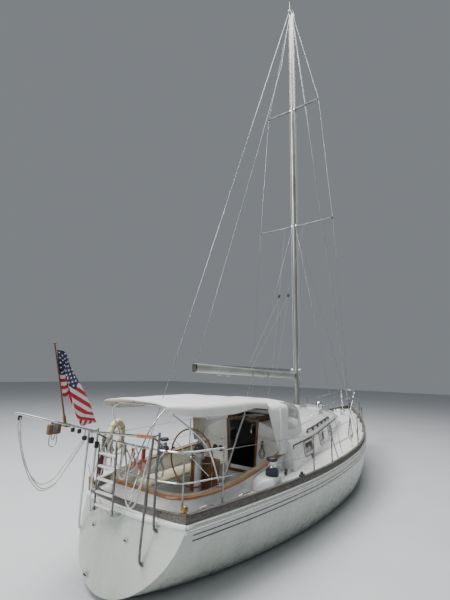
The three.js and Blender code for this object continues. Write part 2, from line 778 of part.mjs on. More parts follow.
function cockpit() {
  const { foreX, soleZ, seatZ, coamingForeZ, wall, shell, wellHalf, wellAftX } = COCKPIT;
  const wide = [V2(-6000, -2000), V2(-1000, -2000), V2(-1000, 2000), V2(-6000, 2000)];
  const ring = cut(prism(cockpitOutline(0), seatZ - shell, coamingForeZ + 50), overCoaming(wide, 0, 800));
  const hollow = prism(cockpitOutline(wall, foreX + 50), seatZ, coamingForeZ + 100);
  const wellOut = box(wellAftX - shell, foreX, -wellHalf - shell, wellHalf + shell, soleZ - shell, seatZ);
  const wellIn = box(wellAftX, foreX + 50, -wellHalf, wellHalf, soleZ, seatZ + 10);
  const body = cut(join(ring, wellOut), hollow, wellIn);
  return join(body, winchPlinth(PORT), winchPlinth(STARBOARD));
}

function coamingCap() {
  const { wall, foreX } = COCKPIT;
  const outer = overCoaming(cockpitOutline(-CAP.over), GAP, CAP.thick);
  return cut(outer, overCoaming(cockpitOutline(wall + CAP.over, foreX + 60), -20, CAP.thick + 20));
}

// The deck's mouldings. fore and aft: ends in x; side: the half that it lies in, or 0 for both.
const DECK_PIECES = [
  { name: "foredeck", aft: 2680, fore: 6000, side: 0 },
  { name: "side_deck_port", aft: -2300, fore: 2680, side: PORT },
  { name: "side_deck_starboard", aft: -2300, fore: 2680, side: STARBOARD },
  { name: "aft_deck", aft: -6000, fore: -2300, side: 0 },
];

const wholeDeck = deck();
for (const { name, aft, fore, side } of DECK_PIECES) {
  const seam = GAP / 2;
  const low = side === PORT ? seam : -2000;
  const high = side === STARBOARD ? -seam : 2000;
  const block = box(aft + seam, fore - seam, low, high, 0, 2000);
  part(name, wholeDeck.intersect(block), "deck_paint");
}
part("coachroof", coachroof(), "gelcoat");
part("cabin_bulkhead", bulkhead(), "gelcoat");
part("cockpit_tub", cockpit(), "gelcoat");
part("coaming_cap", coamingCap(), "varnished_teak");

// Toe rail and rub strake

function edgePoints() {
  const side = STATIONS.filter((x) => x > -5050).map((x) => V2(x, halfBreadth(x)));
  const stern = range(0, 1, 6).map((s) => {
    const y = lerp(-halfBreadth(-5090), halfBreadth(-5090), s);
    return V2(transomX(y, TRANSOM.topZ), y);
  });
  const bow = side[side.length - 1];
  return [...stern, ...side, ...side.slice(0, -1).reverse().map((p) => V2(p.x, -p.y))].filter(
    (p) => p !== bow || p.y >= 0,
  );
}

// Unit vectors pointing out of a closed outline at its points.
function outwards(points) {
  const n = points.length;
  return points.map((_, i) => {
    const [a, b] = [points[(i + n - 1) % n], points[(i + 1) % n]];
    return V2(a.y - b.y, b.x - a.x).normalize();
  });
}

function toeRail() {
  const points = edgePoints();
  const out = outwards(points);
  const middle = V2(0, 0);
  const rings = points.map((p, i) => {
    const to = middle.clone().sub(p);
    const inward = out[i].dot(to) > 0 ? out[i] : out[i].clone().negate();
    const a = p.clone().addScaledVector(inward, 6);
    const b = p.clone().addScaledVector(inward, 6 + RAIL.wide);
    const foot = deckTop(b.x, b.y) + 4;
    const top = sheer(p.x) + DECK.thick + RAIL.high;
    return [V(a.x, a.y, foot), V(b.x, b.y, foot), V(b.x, b.y, top), V(a.x, a.y, top)];
  });
  return loft(rings, true);
}

function rubStrake() {
  const side = STATIONS.filter((x) => x > -5080 && x < 5480).map((x) => V2(x, halfBreadth(x)));
  const port = [V2(-5090, halfBreadth(-5090)), ...side, V2(HULL.bowX, 22), V2(HULL.bowX + 6, 0)];
  const line = [...port, ...port.slice(0, -1).reverse().map((p) => V2(p.x, -p.y))];
  const out = outwards(line);
  out[0] = V2(0, 1);
  out[line.length - 1] = V2(0, -1);
  const middle = V2(0, 0);
  const rings = line.map((p, i) => {
    const away = out[i].dot(p.clone().sub(middle)) > 0 ? out[i] : out[i].clone().negate();
    const a = p.clone().addScaledVector(away, 1);
    const b = p.clone().addScaledVector(away, STRAKE.proud);
    const z = sheer(p.x);
    const [low, high] = [z - STRAKE.low, z - STRAKE.high];
    const [lowOut, highOut] = [low + STRAKE.bevel, high - STRAKE.bevel];
    return [V(a.x, a.y, low), V(b.x, b.y, lowOut), V(b.x, b.y, highOut), V(a.x, a.y, high)];
  });
  return loft(rings);
}

part("toe_rail", toeRail(), "grey_teak");
part("rub_strake", rubStrake(), "gelcoat");

// Cabin glass, companionway and hatches

function windowGlass(side) {
  const xs = [-1760, -1200, -400, 420, 800, 1100];
  const rings = xs.map((x) => {
    const z = windowZ(x);
    const high = row(TRUNK_SECTIONS, x, "edge") - TRUNK.wall * 0.9 - 36;
    const low = z - (high - z);
    const y = (at, inset) => side * trunkSide(x, at, TRUNK.wall + inset);
    return [V(x, y(low, 2), low), V(x, y(low, 10), low), V(x, y(high, 10), high), V(x, y(high, 2), high)];
  });
  return loft(rings);
}

function slidingHatch() {
  const { half, len, thick, z, openX } = HATCH;
  const top = box(openX, openX + len, -half, half, z, z + thick);
  const lip = box(openX, openX + 26, -half + 60, half - 60, z - 26, z + 5);
  return join(top, lip);
}

// The hood that the hatch slides under, grown by a margin.
function hoodBlock(grow) {
  const { half, len, thick, z, openX } = HATCH;
  const side = half + 50 + grow;
  return box(openX + 110 - grow, openX + len + 90 + grow, -side, side, 1600, z + thick + 34 + grow);
}

function seaHood() {
  const { half, len, thick, z, openX } = HATCH;
  const inside = box(openX, openX + len + 62, -half - 14, half + 14, 1500, z + thick + 10);
  return cut(hoodBlock(0), inside, trunkOutside);
}

function steps() {
  const { aftX, foreX, topX, topZ, half, plank, pitch, treads, thick, taper } = STEPS;
  const foot = HULL.floorZ + 6;
  const sides = [PORT, STARBOARD].map((side) => {
    const y = [side * half, side * (half + plank)].sort((a, b) => a - b);
    const outline = [[aftX - 18, topZ], [topX, topZ], [foreX, foot], [aftX, foot]];
    return loft(y.map((at) => outline.map(([x, z]) => V(x, at, z))));
  });
  const boards = Array.from({ length: treads }, (_, i) => {
    const z = i * pitch;
    return box(aftX, foreX + 8 - z * taper, -half - 10, half + 10, z, z + thick);
  });
  return join(...sides, boards);
}

part("window_glass_port", windowGlass(PORT), "glass");
part("window_glass_starboard", windowGlass(STARBOARD), "glass");
part("companionway_steps", steps(), "varnished_teak");
part("sliding_hatch", slidingHatch(), "gelcoat");
part("sea_hood", seaHood(), "gelcoat");
part("fore_hatch", foreHatchFrame(0, FORE_HATCH.z, FORE_HATCH.z + FORE_HATCH.thick), "gelcoat");

// Handrails, vents, windlass and bow roller

function handrail(side) {
  const { aftX, foreX, spans, in: inset, high, r, footR } = HANDRAIL;
  const xs = range(aftX, foreX, spans);
  const at = (x, up) => {
    const y = row(TRUNK_SECTIONS, x, "half") - inset;
    return V(x, side * y, roofTop(x, y) + up);
  };
  const top = xs.slice(1).map((x, i) => rod(at(xs[i] - 14, high), at(x + 14, high), r, 5));
  const feet = xs.map((x) => rod(at(x, -20), at(x, high - 2), footR, 5));
  return cut(join(top, feet), trunkOutside);
}

function doradeVent(side) {
  const { x, half, halfWide, sunk, high, neckR, neckTop } = VENT;
  const y = side * VENT.y;
  const z = roofTop(x, y);
  const base = box(x - half, x + half, y - halfWide, y + halfWide, z - sunk, z + high);
  const neck = rod(V(x, y, z + high - 10), V(x, y, z + neckTop), neckR, 10);
  const axis = z + COWL.z;
  const cowl = rod(V(x - COWL.back, y, axis), V(x + COWL.front, y, axis), COWL.r, 12, COWL.mouthR);
  const mouth = rod(V(x + COWL.deep, y, axis), V(x + COWL.front + 5, y, axis), COWL.bore, 12);
  return cut(join(base, neck, cowl), trunkOutside, mouth);
}

function windlass() {
  const { x, half, halfWide, high, drumZ, drumR, drumHalf, housing, housingWide, top } = WINDLASS;
  const z = deckTop(x, 0);
  const base = cut(box(x - half, x + half, -halfWide, halfWide, z - 60, z + high), underDeck);
  const drum = rod(V(x, -drumHalf, z + drumZ), V(x, drumHalf, z + drumZ), drumR, 14);
  const cover = box(x - housing, x + housing, -housingWide, housingWide, z + high - 20, z + top);
  return join(base, drum, cover);
}

// The stemhead roller stands on the toe rail's meeting point and leads out over the stem.
function bowRoller() {
  const { aftX, cheekX, foreX, half, plate, floor, high, r } = ROLLER;
  const z = sheer(HULL.bowX) + DECK.thick + RAIL.high + 4;
  const cheeks = [PORT, STARBOARD].map((side) => {
    const y = [side * (half - plate), side * half].sort((a, b) => a - b);
    return box(cheekX, foreX, y[0], y[1], z, z + high);
  });
  const bed = box(aftX, foreX - 20, -half + 2, half - 2, z, z + floor);
  const pin = foreX - 40;
  const wheel = rod(V(pin, -half + 4, z + high / 2 + 4), V(pin, half - 4, z + high / 2 + 4), r, 12);
  return join(...cheeks, bed, wheel);
}

part("handrail_port", handrail(PORT), "grey_teak");
part("handrail_starboard", handrail(STARBOARD), "grey_teak");
part("dorade_vent_port", doradeVent(PORT), "gelcoat");
part("dorade_vent_starboard", doradeVent(STARBOARD), "gelcoat");
part("windlass", windlass(), "gelcoat");
part("bow_roller", bowRoller(), "stainless");

// Spars and standing rigging

const mastTop = V(MAST.x, 0, MAST.headZ);
const spreaders = { lower: { z: 6900, half: 1120 }, upper: { z: 10910, half: 840 } };

function mastSection(grow) {
  const count = 14;
  return Array.from({ length: count }, (_, i) => {
    const turn = (i / count) * 2 * Math.PI;
    const [along, across] = [MAST.along / 2 + grow, MAST.across / 2 + grow];
    return V2(MAST.x + along * Math.cos(turn), across * Math.sin(turn));
  });
}

function mast() {
  const foot = roofTop(MAST.x, 0) - 60;
  const tube = prism(mastSection(0), foot, MAST.headZ);
  const collar = prism(mastSection(34), foot, roofTop(MAST.x, 0) + 46);
  const { pinX, z } = BOOM;
  const plates = [z + 66, z - 78].map((at) => box(pinX - 36, MAST.x - 40, -28, 28, at, at + 12));
  const pin = rod(V(pinX, 0, z - 90), V(pinX, 0, z + 90), 9, 10);
  return cut(join(tube, collar, plates, pin), trunkOutside);
}

function spreaderPair({ z, half }) {
  const face = (y, aft, fore, low, high) => [
    V(MAST.x + aft, y, z + low),
    V(MAST.x + fore, y, z + low),
    V(MAST.x + fore, y, z + high),
    V(MAST.x + aft, y, z + high),
  ];
  const arm = (side) => loft([face(side * 70, -60, 60, -14, 14), face(side * half, -42, 22, 6, 26)]);
  const sleeve = prism(mastSection(16), z - 45, z + 45);
  return cut(join(arm(PORT), arm(STARBOARD), sleeve), prism(mastSection(0.5), z - 60, z + 60));
}

function masthead() {
  const { x, z } = mastTop;
  const { aft, fore, half, high, lightX, lightR, lightHigh, whip, whipX, whipR, side } = CROWN_LIGHT;
  const { vane, vaneX, spindleR, pointer: [pointerAft, pointerFore, drop] } = CROWN_LIGHT;
  const foot = z + high - 5;
  const crane = box(x - aft, x + fore, -half, half, z + 1, z + high);
  const light = rod(V(x + lightX, 0, foot), V(x + lightX, 0, z + high + lightHigh), lightR, 8);
  const aerial = rod(V(x + whipX, half - 12, foot), V(x + whipX, half - 12, z + whip), whipR, 6);
  const spindle = rod(V(x + vaneX, -side, foot), V(x + vaneX, -side, z + vane), spindleR, 6);
  const pointer = box(
    x + pointerAft, x + pointerFore, -side - 2, -side + 2, z + vane - drop, z + vane + 2,
  );
  return join(crane, light, aerial, spindle, pointer);
}

const stayHead = (side) => V(MAST.x, side * (MAST.across / 2 + 12), MAST.headZ - 120);

function capShroud(side) {
  const { upper, lower } = spreaders;
  const foot = V(SHROUD.x, side * SHROUD.y, deckTop(SHROUD.x, SHROUD.y) + 6);
  const tip = ({ z, half }) => V(MAST.x - 10, side * (half + 12), z + 16);
  return chain([stayHead(side), tip(upper), tip(lower), foot], WIRE, 6);
}

// Radii along the forestay: bare wire, the furling drum between its two flanges, and the luff foil.
const FORESTAY_PROFILE = [
  { share: 0, r: 6 },
  { share: 0.01, r: 6 },
  { share: 0.01, r: 92 },
  { share: 0.0118, r: 92 },
  { share: 0.0118, r: 48 },
  { share: 0.0165, r: 48 },
  { share: 0.0165, r: 92 },
  { share: 0.0183, r: 92 },
  { share: 0.0183, r: 17 },
  { share: 0.985, r: 17 },
  { share: 0.985, r: 6 },
  { share: 1, r: 6 },
];

function forestay() {
  const head = V(MAST.x + 150, 0, MAST.headZ - 60);
  const foot = V(5330, 0, deckTop(5330, 0) + 140);
  const along = head.clone().sub(foot);
  const turn = new THREE.Quaternion().setFromUnitVectors(V(0, 0, 1), along.clone().normalize());
  const rings = FORESTAY_PROFILE.map(({ share, r }) => {
    return Array.from({ length: 12 }, (_, i) => {
      const angle = (i / 12) * 2 * Math.PI;
      const out = V(r * Math.cos(angle), r * Math.sin(angle), 0).applyQuaternion(turn);
      return foot.clone().addScaledVector(along, share).add(out);
    });
  });
  return loft(rings);
}

const backstayHead = V(MAST.x - 170, 0, MAST.headZ - 10);
const backstayFoot = V(-5130, 0, deckTop(-5130, 0) + 3);

part("mast", mast(), "spar");
part("spreaders_lower", spreaderPair(spreaders.lower), "spar");
part("spreaders_upper", spreaderPair(spreaders.upper), "spar");
part("masthead_gear", masthead(), "stainless");
part("forestay_furler", forestay(), "spar");
part("backstay", rod(backstayHead, backstayFoot, WIRE, 6), "stainless");
part("cap_shroud_port", capShroud(PORT), "stainless");
part("cap_shroud_starboard", capShroud(STARBOARD), "stainless");

function boom() {
  const { pinX, z, aftX, aftZ, high, wide } = BOOM;
  const ring = (x, at, w, h) => {
    return Array.from({ length: 10 }, (_, i) => {
      const turn = (i / 10) * 2 * Math.PI;
      return V(x, (w / 2) * Math.cos(turn), at + (h / 2) * Math.sin(turn));
    });
  };
  const spar = loft([ring(pinX - 70, z, wide, high), ring(aftX, aftZ, wide, high)]);
  const jaw = box(pinX - 90, pinX - 8, -18, 18, z - 50, z + 50);
  const eye = rod(V(pinX, 0, z - 54), V(pinX, 0, z + 54), 26, 12);
  const bore = rod(V(pinX, 0, z - 60), V(pinX, 0, z + 60), 13, 12);
  return join(spar, cut(join(jaw, eye), bore));
}

part("boom", boom(), "spar");

// Steering wheel, pedestal and winches

function steeringWheel() {
  const { x, z, r, rim } = WHEEL;
  const ring = new THREE.TorusGeometry(r, rim, 6, 30);
  ring.rotateY(Math.PI / 2);
  ring.translate(x, 0, z);
  const spokes = Array.from({ length: 6 }, (_, i) => {
    const turn = (i / 6) * 2 * Math.PI;
    return rod(V(x, 0, z), V(x, r * Math.sin(turn), z + r * Math.cos(turn)), 7, 6);
  });
  const hub = rod(V(x - 35, 0, z), V(PEDESTAL.x - 94, 0, z), 40, 10);
  return join(solidOf(ring), spokes, hub);
}

// Profiles as radius and height: the column's foot, the compass, and half of the guard in x, y, z.
const COLUMN_FOOT = [[0, 0], [120, 0], [105, 30], [62, 90]];
const COMPASS = [[0, -20], [92, -20], [92, 70], [70, 120], [0, 138]];
const GUARD = [[150, 170, 451], [150, 170, 1100], [130, 160, 1380], [110, 90, 1500]];
const GUARD_TIE_Z = 1160;

function pedestal() {
  const { x, topZ } = PEDESTAL;
  const floor = COCKPIT.soleZ + 1;
  const high = topZ - floor;
  const head = [[58, high - 130], [88, high - 60], [88, high], [0, high]];
  const column = turned([...COLUMN_FOOT, ...head], x, 0, floor, 14);
  const compass = turned(COMPASS, x, 0, topZ, 14);
  const bow = [...GUARD, ...GUARD.slice().reverse().map(([at, y, z]) => [at, -y, z])];
  const guard = bent(bow.map(([at, y, z]) => V(x + at, y, z)), 13, 20, 6);
  const tie = rod(V(x, -164, GUARD_TIE_Z), V(x, 164, GUARD_TIE_Z), 8, 6);
  const ties = [PORT, STARBOARD].map((side) => {
    return rod(V(x, side * 160, GUARD_TIE_Z), V(x + 146, side * 168, GUARD_TIE_Z), 8, 6);
  });
  return join(column, compass, guard, tie, ties);
}

function winch(side) {
  const { x, y, z, r } = WINCH;
  const base = [[0, 0], [r, 0], [r, 60], [r - 14, 92], [62, 110]];
  return turned([...base, ...WINCH_DRUM], x, side * y, z, 18);
}

part("steering_wheel", steeringWheel(), "varnished_teak");
part("pedestal", pedestal(), "stainless");
part("winch_port", winch(PORT), "navy");
part("winch_starboard", winch(STARBOARD), "navy");

// Rails around the deck

const railFoot = (x, inset, side) => {
  const y = halfBreadth(x) - inset;
  return V(x, side * y, deckTop(x, y) + GAP + 2);
};

function pulpit() {
  const { high, drop, middle, foreX, foreY, noseX, noseY, in: inset } = PULPIT;
  const legs = [3950, 4700].flatMap((x) => [PORT, STARBOARD].map((side) => railFoot(x, inset, side)));
  const up = (p, by) => V(p.x, p.y * 0.97, sheer(p.x) + by);
  const [aftPort, aftStarboard, forePort, foreStarboard] = legs;
  const shoulder = (side) => V(foreX, side * foreY, sheer(foreX) + high);
  const nose = (side) => V(noseX, side * noseY, sheer(5400) + high);
  const port = [up(aftPort, high - drop), up(forePort, high), shoulder(PORT), nose(PORT)];
  const mirror = port.slice().reverse().map((p) => V(p.x, -p.y, p.z));
  const rail = bent([...port, ...mirror], STERN_RAIL.r, 22, 6);
  const posts = legs.map((p) => rod(p, up(p, p.x > 4500 ? high : high - drop), STERN_RAIL.r, 6));
  const fore = [PORT, STARBOARD].map((side) => {
    return rod(railFoot(5020, inset + 50, side).add(V(0, 0, 8)), shoulder(side), STERN_RAIL.r, 6);
  });
  const lower = [
    rod(up(aftPort, middle), up(forePort, middle + 20), STERN_RAIL.thin, 5),
    rod(up(aftStarboard, middle), up(foreStarboard, middle + 20), STERN_RAIL.thin, 5),
  ];
  return join(rail, posts, fore, lower);
}

// Half the pushpit in plan, from its end post to the stern.
const PUSHPIT_LINE = [
  { x: -4470, y: 1010 },
  { x: -5010, y: 800 },
  { x: -5105, y: 600 },
  { x: -5140, y: 330 },
];

function pushpit() {
  const { top, middle, r, thin } = STERN_RAIL;
  const line = [...PUSHPIT_LINE, ...PUSHPIT_LINE.slice().reverse().map(({ x, y }) => ({ x, y: -y }))];
  const rail = (z, radius) => bent(line.map(({ x, y }) => V(x, y, z)), radius, 18, 6);
  const posts = line.filter(({ y }) => Math.abs(y) !== PUSHPIT_LINE[2].y).map(({ x, y }) => {
    return rod(V(x, y, deckTop(x, y) + 5), V(x, y, top), r, 6);
  });
  return join(rail(top, r), rail(middle, thin), posts);
}

function sideRail(side) {
  const feet = STANCHIONS.map(({ x, in: inset }) => railFoot(x, inset, side));
  const heads = feet.map((p) => V(p.x, p.y, p.z + STANCHION_HIGH));
  const middles = feet.map((p) => V(p.x, p.y, p.z + STANCHION_HIGH / 2));
  const posts = feet.map((p, i) => rod(p, heads[i].clone().add(V(0, 0, 12)), 12.5, 6));
  const aft = V(PUSHPIT_LINE[0].x + 40, side * (PUSHPIT_LINE[0].y + 19), 0);
  const fore = railFoot(3905, 78, side);
  const ends = (points, low, high) => [V(aft.x, aft.y, low), ...points, V(fore.x, fore.y, fore.z + high)];
  const upper = chain(ends(heads, STERN_RAIL.top - 20, 600), 4, 5);
  const lower = chain(ends(middles, STERN_RAIL.middle, 300), 4, 5);
  return join(posts, upper, lower);
}

part("bow_pulpit", pulpit(), "stainless");
part("pushpit", pushpit(), "stainless");
part("side_rail_port", sideRail(PORT), "stainless");
part("side_rail_starboard", sideRail(STARBOARD), "stainless");

// Stern gear

const STAFF_R = 12;
const STAFF_FOOT = V(-5715, 700, 1917);
// Legs of the stern frame. footY, footZ: place on the transom; x, y, z: the top.
const FRAME_LEGS = [
  { footY: -500, footZ: 470, x: -5290, y: -530, z: 1850 },
  { footY: -570, footZ: 790, x: -5230, y: -570, z: 1880 },
  { footY: 760, footZ: 500, x: -5290, y: 760, z: 1765 },
  { footY: 640, footZ: 720, x: -5230, y: 640, z: 1800 },
];
const FRAME = {
  r: 15, thin: 12, under: 18, padR: 34, padOut: 14, padIn: 6, armR: 14, armX: -5285, armZ: 1768,
};
const ARMS = { y: [760, 610], endX: -6340, endZ: 2085 };
const SOCKET = { half: 32, low: 47, high: 5, y0: 600, y1: 770 };

function sternFrame() {
  const { r, thin, under, padR, padOut, padIn, armR, armX, armZ } = FRAME;
  const posts = FRAME_LEGS.map(({ footY, footZ, x, y, z }) => {
    return [V(transomX(footY, footZ) - 3, footY, footZ), V(x, y, z)];
  });
  const bars = posts.map(([a, b]) => rod(a, b, r, 6));
  const pads = posts.map(([a]) => rod(V(a.x - padOut, a.y, a.z), V(a.x + padIn, a.y, a.z), padR, 10));
  const heads = posts.map(([, top]) => top.clone().add(V(0, 0, -under)));
  const [aftStarboard, foreStarboard, aftPort, forePort] = heads;
  const across = rod(aftStarboard.clone().add(V(0, -r, 0)), aftPort.clone().add(V(0, r, 0)), r, 6);
  const braces = [rod(foreStarboard, aftStarboard, thin, 6), rod(forePort, aftPort, thin, 6)];
  const arms = ARMS.y.map((y) => rod(V(armX, y, armZ), V(ARMS.endX, y, ARMS.endZ), armR, 6));
  const { half, low, high, y0, y1 } = SOCKET;
  const { x, z } = STAFF_FOOT;
  const socket = box(x - half, x + half, y0, y1, z - low, z - high);
  const block = cut(hullBody(-GAP), aftOfTransom(-2));
  return cut(join(across, bars, pads, braces, arms, socket), block);
}

function ladder() {
  const { x, low, high, y0, y1, railR, treads, pitch, first, treadHalf, thick, lean } = LADDER;
  const rails = [y0, y1].map((y) => rod(V(x, y, low), V(x - lean, y, high), railR, 8));
  const steps = Array.from({ length: treads }, (_, i) => {
    const z = low + first + i * pitch;
    return box(x - treadHalf, x + treadHalf, y0, y1, z, z + thick);
  });
  return join(...rails, steps);
}

part("stern_frame", sternFrame(), "stainless");
part("boarding_ladder", ladder(), "stainless");

const STAFF_HEAD = V(-6000, 700, 2960);
part("flag_staff", rod(STAFF_FOOT, STAFF_HEAD, STAFF_R, 8), "varnished_teak");

// The furled-down hang of the flag: outline in x and z.
const FLAG_OUTLINE = [
  [-5950, 2860],
  [-5610, 2480],
  [-5390, 2170],
  [-5215, 1930],
  [-5290, 1860],
  [-5480, 1890],
  [-5560, 2040],
  [-5660, 2240],
  [-5785, 2250],
];
const FLAG = { y: 725, thick: 50 };

function flagCloth() {
  const shape = new THREE.Shape(FLAG_OUTLINE.map(([x, z]) => V2(x, z)));
  const geometry = new THREE.ExtrudeGeometry(shape, { depth: FLAG.thick, bevelEnabled: false });
  geometry.rotateX(Math.PI / 2);
  geometry.translate(0, FLAG.y, 0);
  return solidOf(geometry);
}

part("flag", cut(flagCloth(), rod(STAFF_FOOT, STAFF_HEAD, STAFF_R + 4, 8)), "flag");

// Ropes that hang loose

const ROPE = { fallR: 6, sternR: 7, sides: 8, turn: 14 };

// One bight of the davit fall, from the arm to the frame: x and z, hanging in a plane of its own y.
const FALL_LINE = [
  [-6268, 2030],
  [-6215, 1720],
  [-6120, 1460],
  [-6010, 1265],
  [-5875, 1145],
  [-5720, 1175],
  [-5600, 1310],
  [-5470, 1480],
  [-5352, 1650],
];
// The bights in order, each beside the last. y: its plane; drop: how much lower it hangs.
const FALL_BIGHTS = [
  { y: 752, drop: 0 },
  { y: 780, drop: 30 },
  { y: 808, drop: -40 },
];

function davitFall() {
  const points = FALL_BIGHTS.flatMap(({ y, drop }, i) => {
    const last = FALL_LINE.length - 1;
    const bight = FALL_LINE.map(([x, z], k) => {
      const share = Math.sin((k / last) * Math.PI);
      return V(x, y, z - drop * share);
    });
    if (i > 0) {
      bight[i % 2 === 0 ? 0 : last].z -= ROPE.turn;
    }
    return i % 2 === 0 ? bight : bight.reverse();
  });
  return bent(points, ROPE.fallR, 78, ROPE.sides);
}

// The slack line from the stern frame's port leg to the pushpit's starboard side.
const STERN_LINE = [
  [-5283, 712, 1330],
  [-5280, 640, 1200],
  [-5278, 510, 1030],
  [-5276, 350, 895],
  [-5276, 160, 800],
  [-5276, 10, 808],
  [-5272, -140, 965],
  [-5245, -260, 1160],
  [-5205, -340, 1330],
  [-5160, -440, 1480],
  [-5118, -560, 1628],
];

const sternLine = () => bent(STERN_LINE.map((p) => V(...p)), ROPE.sternR, 60, ROPE.sides);

// A hung hank of rope: an upright outline with round ends, flat across x.
function hank({ x, y, top, foot, half, thick }) {
  const shape = new THREE.Shape();
  shape.absarc(y, top - half, half, 0, Math.PI, false);
  shape.absarc(y, foot + half, half, Math.PI, 2 * Math.PI, false);
  const geometry = new THREE.ExtrudeGeometry(shape, { depth: thick, bevelEnabled: false, curveSegments: 8 });
  geometry.rotateX(Math.PI / 2);
  geometry.rotateZ(Math.PI / 2);
  geometry.translate(x, 0, 0);
  return solidOf(geometry);
}

// x: the side nearer the bow; half: half its width.
const HANKS = [
  { name: "hank_on_pushpit", x: -5172, y: -20, top: 1634, foot: 1370, half: 62, thick: 62 },
  { name: "hank_on_bulkhead", x: -2430, y: -460, top: 1380, foot: 1060, half: 70, thick: 62 },
];

part("davit_fall", davitFall(), "rope");
part("stern_line", sternLine(), "rope");
for (const piece of HANKS) {
  part(piece.name, hank(piece), "rope");
}

// Canvas: spray hood, bimini and seat cushions

function archPoints(section, drop) {
  const { x, half, top } = section;
  const foot = section.foot ?? section.edge;
  const bend = [0, 0.35, 0.68, 0.9, 1];
  const fall = top - foot > 250 ? 90 : 40;
  const crown = bend.map((s) => V(x, (half - drop) * s, top - drop - fall * s ** 3));
  const side = [...crown, V(x, half - drop, foot)];
  const mirror = side.slice(1).reverse().map((p) => V(p.x, -p.y, p.z));
  return [...mirror, ...side];
}

function canopy(arches, thick) {
  const rings = arches.map((section) => [...archPoints(section, 0), ...archPoints(section, thick).reverse()]);
  return loft(rings);
}

// A hoop of tube from coaming to coaming: foot at footX, top at topX.
function hoop({ footX, footZ, topX, half, topHalf, top }) {
  const side = [V(footX, half, footZ), V(lerp(footX, topX, 0.5), half, lerp(footZ, top, 0.55))];
  const shoulder = [V(topX, topHalf, top - 90), V(topX, topHalf - 120, top - 20)];
  const mirror = [...shoulder, ...[...side].reverse()].map((p) => V(p.x, -p.y, p.z));
  const right = [mirror[1], mirror[0], mirror[2], mirror[3]];
  return bent([...side, ...shoulder, V(topX, 0, top), ...right], 12, 20, 6);
}

// Hoops of the canvas frames. footX, footZ, half: the hinges; topX, topHalf, top: the crown.
const HOOPS = {
  biminiAft: { footX: -4350, footZ: 1150, half: 872, topX: -5040, topHalf: 590, top: 2170 },
  biminiFore: { footX: -4290, footZ: 1150, half: 872, topX: -3560, topHalf: 770, top: 2170 },
  dodger: { footX: -2560, footZ: 1250, half: 880, topX: -2740, topHalf: 820, top: 2085 },
};
const HINGE = { half: 22, low: 20, high: 22, over: 20 };

function biminiFrame() {
  const { biminiAft, biminiFore } = HOOPS;
  const hinges = [PORT, STARBOARD].map((side) => {
    const at = biminiAft.half;
    const y = [side * (at - HINGE.half), side * (at + HINGE.half)].sort((a, b) => a - b);
    const z = biminiAft.footZ;
    const [aft, fore] = [biminiAft.footX - HINGE.over, biminiFore.footX + HINGE.over];
    return box(aft, fore, y[0], y[1], z - HINGE.low, z + HINGE.high);
  });
  return join(hoop(biminiAft), hoop(biminiFore), hinges);
}

const CUSHION = { in: 25, thick: 70, aftX: -4380, foreX: -2440, bends: [-4080, -3300], gap: 8 };

function cushion(side) {
  const { in: inset, thick, aftX, foreX, bends, gap } = CUSHION;
  const half = (x) => row(COCKPIT_OUTLINE, x, "half") - COCKPIT.wall - inset;
  const inner = side * (COCKPIT.wellHalf + gap);
  const xs = [aftX, ...bends, foreX];
  const outline = [...xs.map((x) => V2(x, side * half(x))), V2(foreX, inner), V2(aftX, inner)];
  return prism(outline, COCKPIT.seatZ + 2, COCKPIT.seatZ + thick);
}

const stayHole = rod(backstayHead, backstayFoot, 45, 12);
part("bimini", cut(canopy(BIMINI_ARCHES, CANVAS), stayHole), "canvas");
part("bimini_frame", biminiFrame(), "stainless");
part("dodger", cut(canopy(DODGER_ARCHES, CANVAS), trunkOutside, hoodBlock(2)), "canvas");
part("dodger_frame", hoop(HOOPS.dodger), "stainless");
part("cushion_port", cushion(PORT), "cushion");
part("cushion_starboard", cushion(STARBOARD), "cushion");

export default yacht;
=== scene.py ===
"""Cruising sloop afloat, seen from the starboard quarter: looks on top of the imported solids.

Metres. +X to the bow, +Y to port, +Z up, origin on the waterline at mid-length.
"""
from math import asin, atan2, copysign, cos, exp, pi, radians, sin, sqrt

import bmesh
import bpy
from mathutils import Matrix, Vector


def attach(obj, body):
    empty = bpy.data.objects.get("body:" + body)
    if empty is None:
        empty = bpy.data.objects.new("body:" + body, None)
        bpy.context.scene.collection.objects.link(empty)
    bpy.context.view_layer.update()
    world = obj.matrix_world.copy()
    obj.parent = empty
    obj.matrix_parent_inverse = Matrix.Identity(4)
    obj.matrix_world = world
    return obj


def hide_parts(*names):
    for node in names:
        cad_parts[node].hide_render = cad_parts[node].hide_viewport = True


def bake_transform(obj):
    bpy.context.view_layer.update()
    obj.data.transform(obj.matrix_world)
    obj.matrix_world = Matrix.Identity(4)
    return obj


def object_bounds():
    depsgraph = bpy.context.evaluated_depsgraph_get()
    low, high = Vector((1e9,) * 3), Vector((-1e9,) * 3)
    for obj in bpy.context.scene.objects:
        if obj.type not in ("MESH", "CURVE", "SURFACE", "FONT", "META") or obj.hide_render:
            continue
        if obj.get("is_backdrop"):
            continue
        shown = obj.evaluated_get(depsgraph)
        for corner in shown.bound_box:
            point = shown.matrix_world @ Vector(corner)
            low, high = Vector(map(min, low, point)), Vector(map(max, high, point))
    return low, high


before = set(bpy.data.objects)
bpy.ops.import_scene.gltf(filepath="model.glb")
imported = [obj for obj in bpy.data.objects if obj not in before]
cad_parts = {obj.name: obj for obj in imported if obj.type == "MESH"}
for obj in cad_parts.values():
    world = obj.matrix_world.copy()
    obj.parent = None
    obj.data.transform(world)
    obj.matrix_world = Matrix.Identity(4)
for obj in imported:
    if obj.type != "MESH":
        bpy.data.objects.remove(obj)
CAD_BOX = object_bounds()

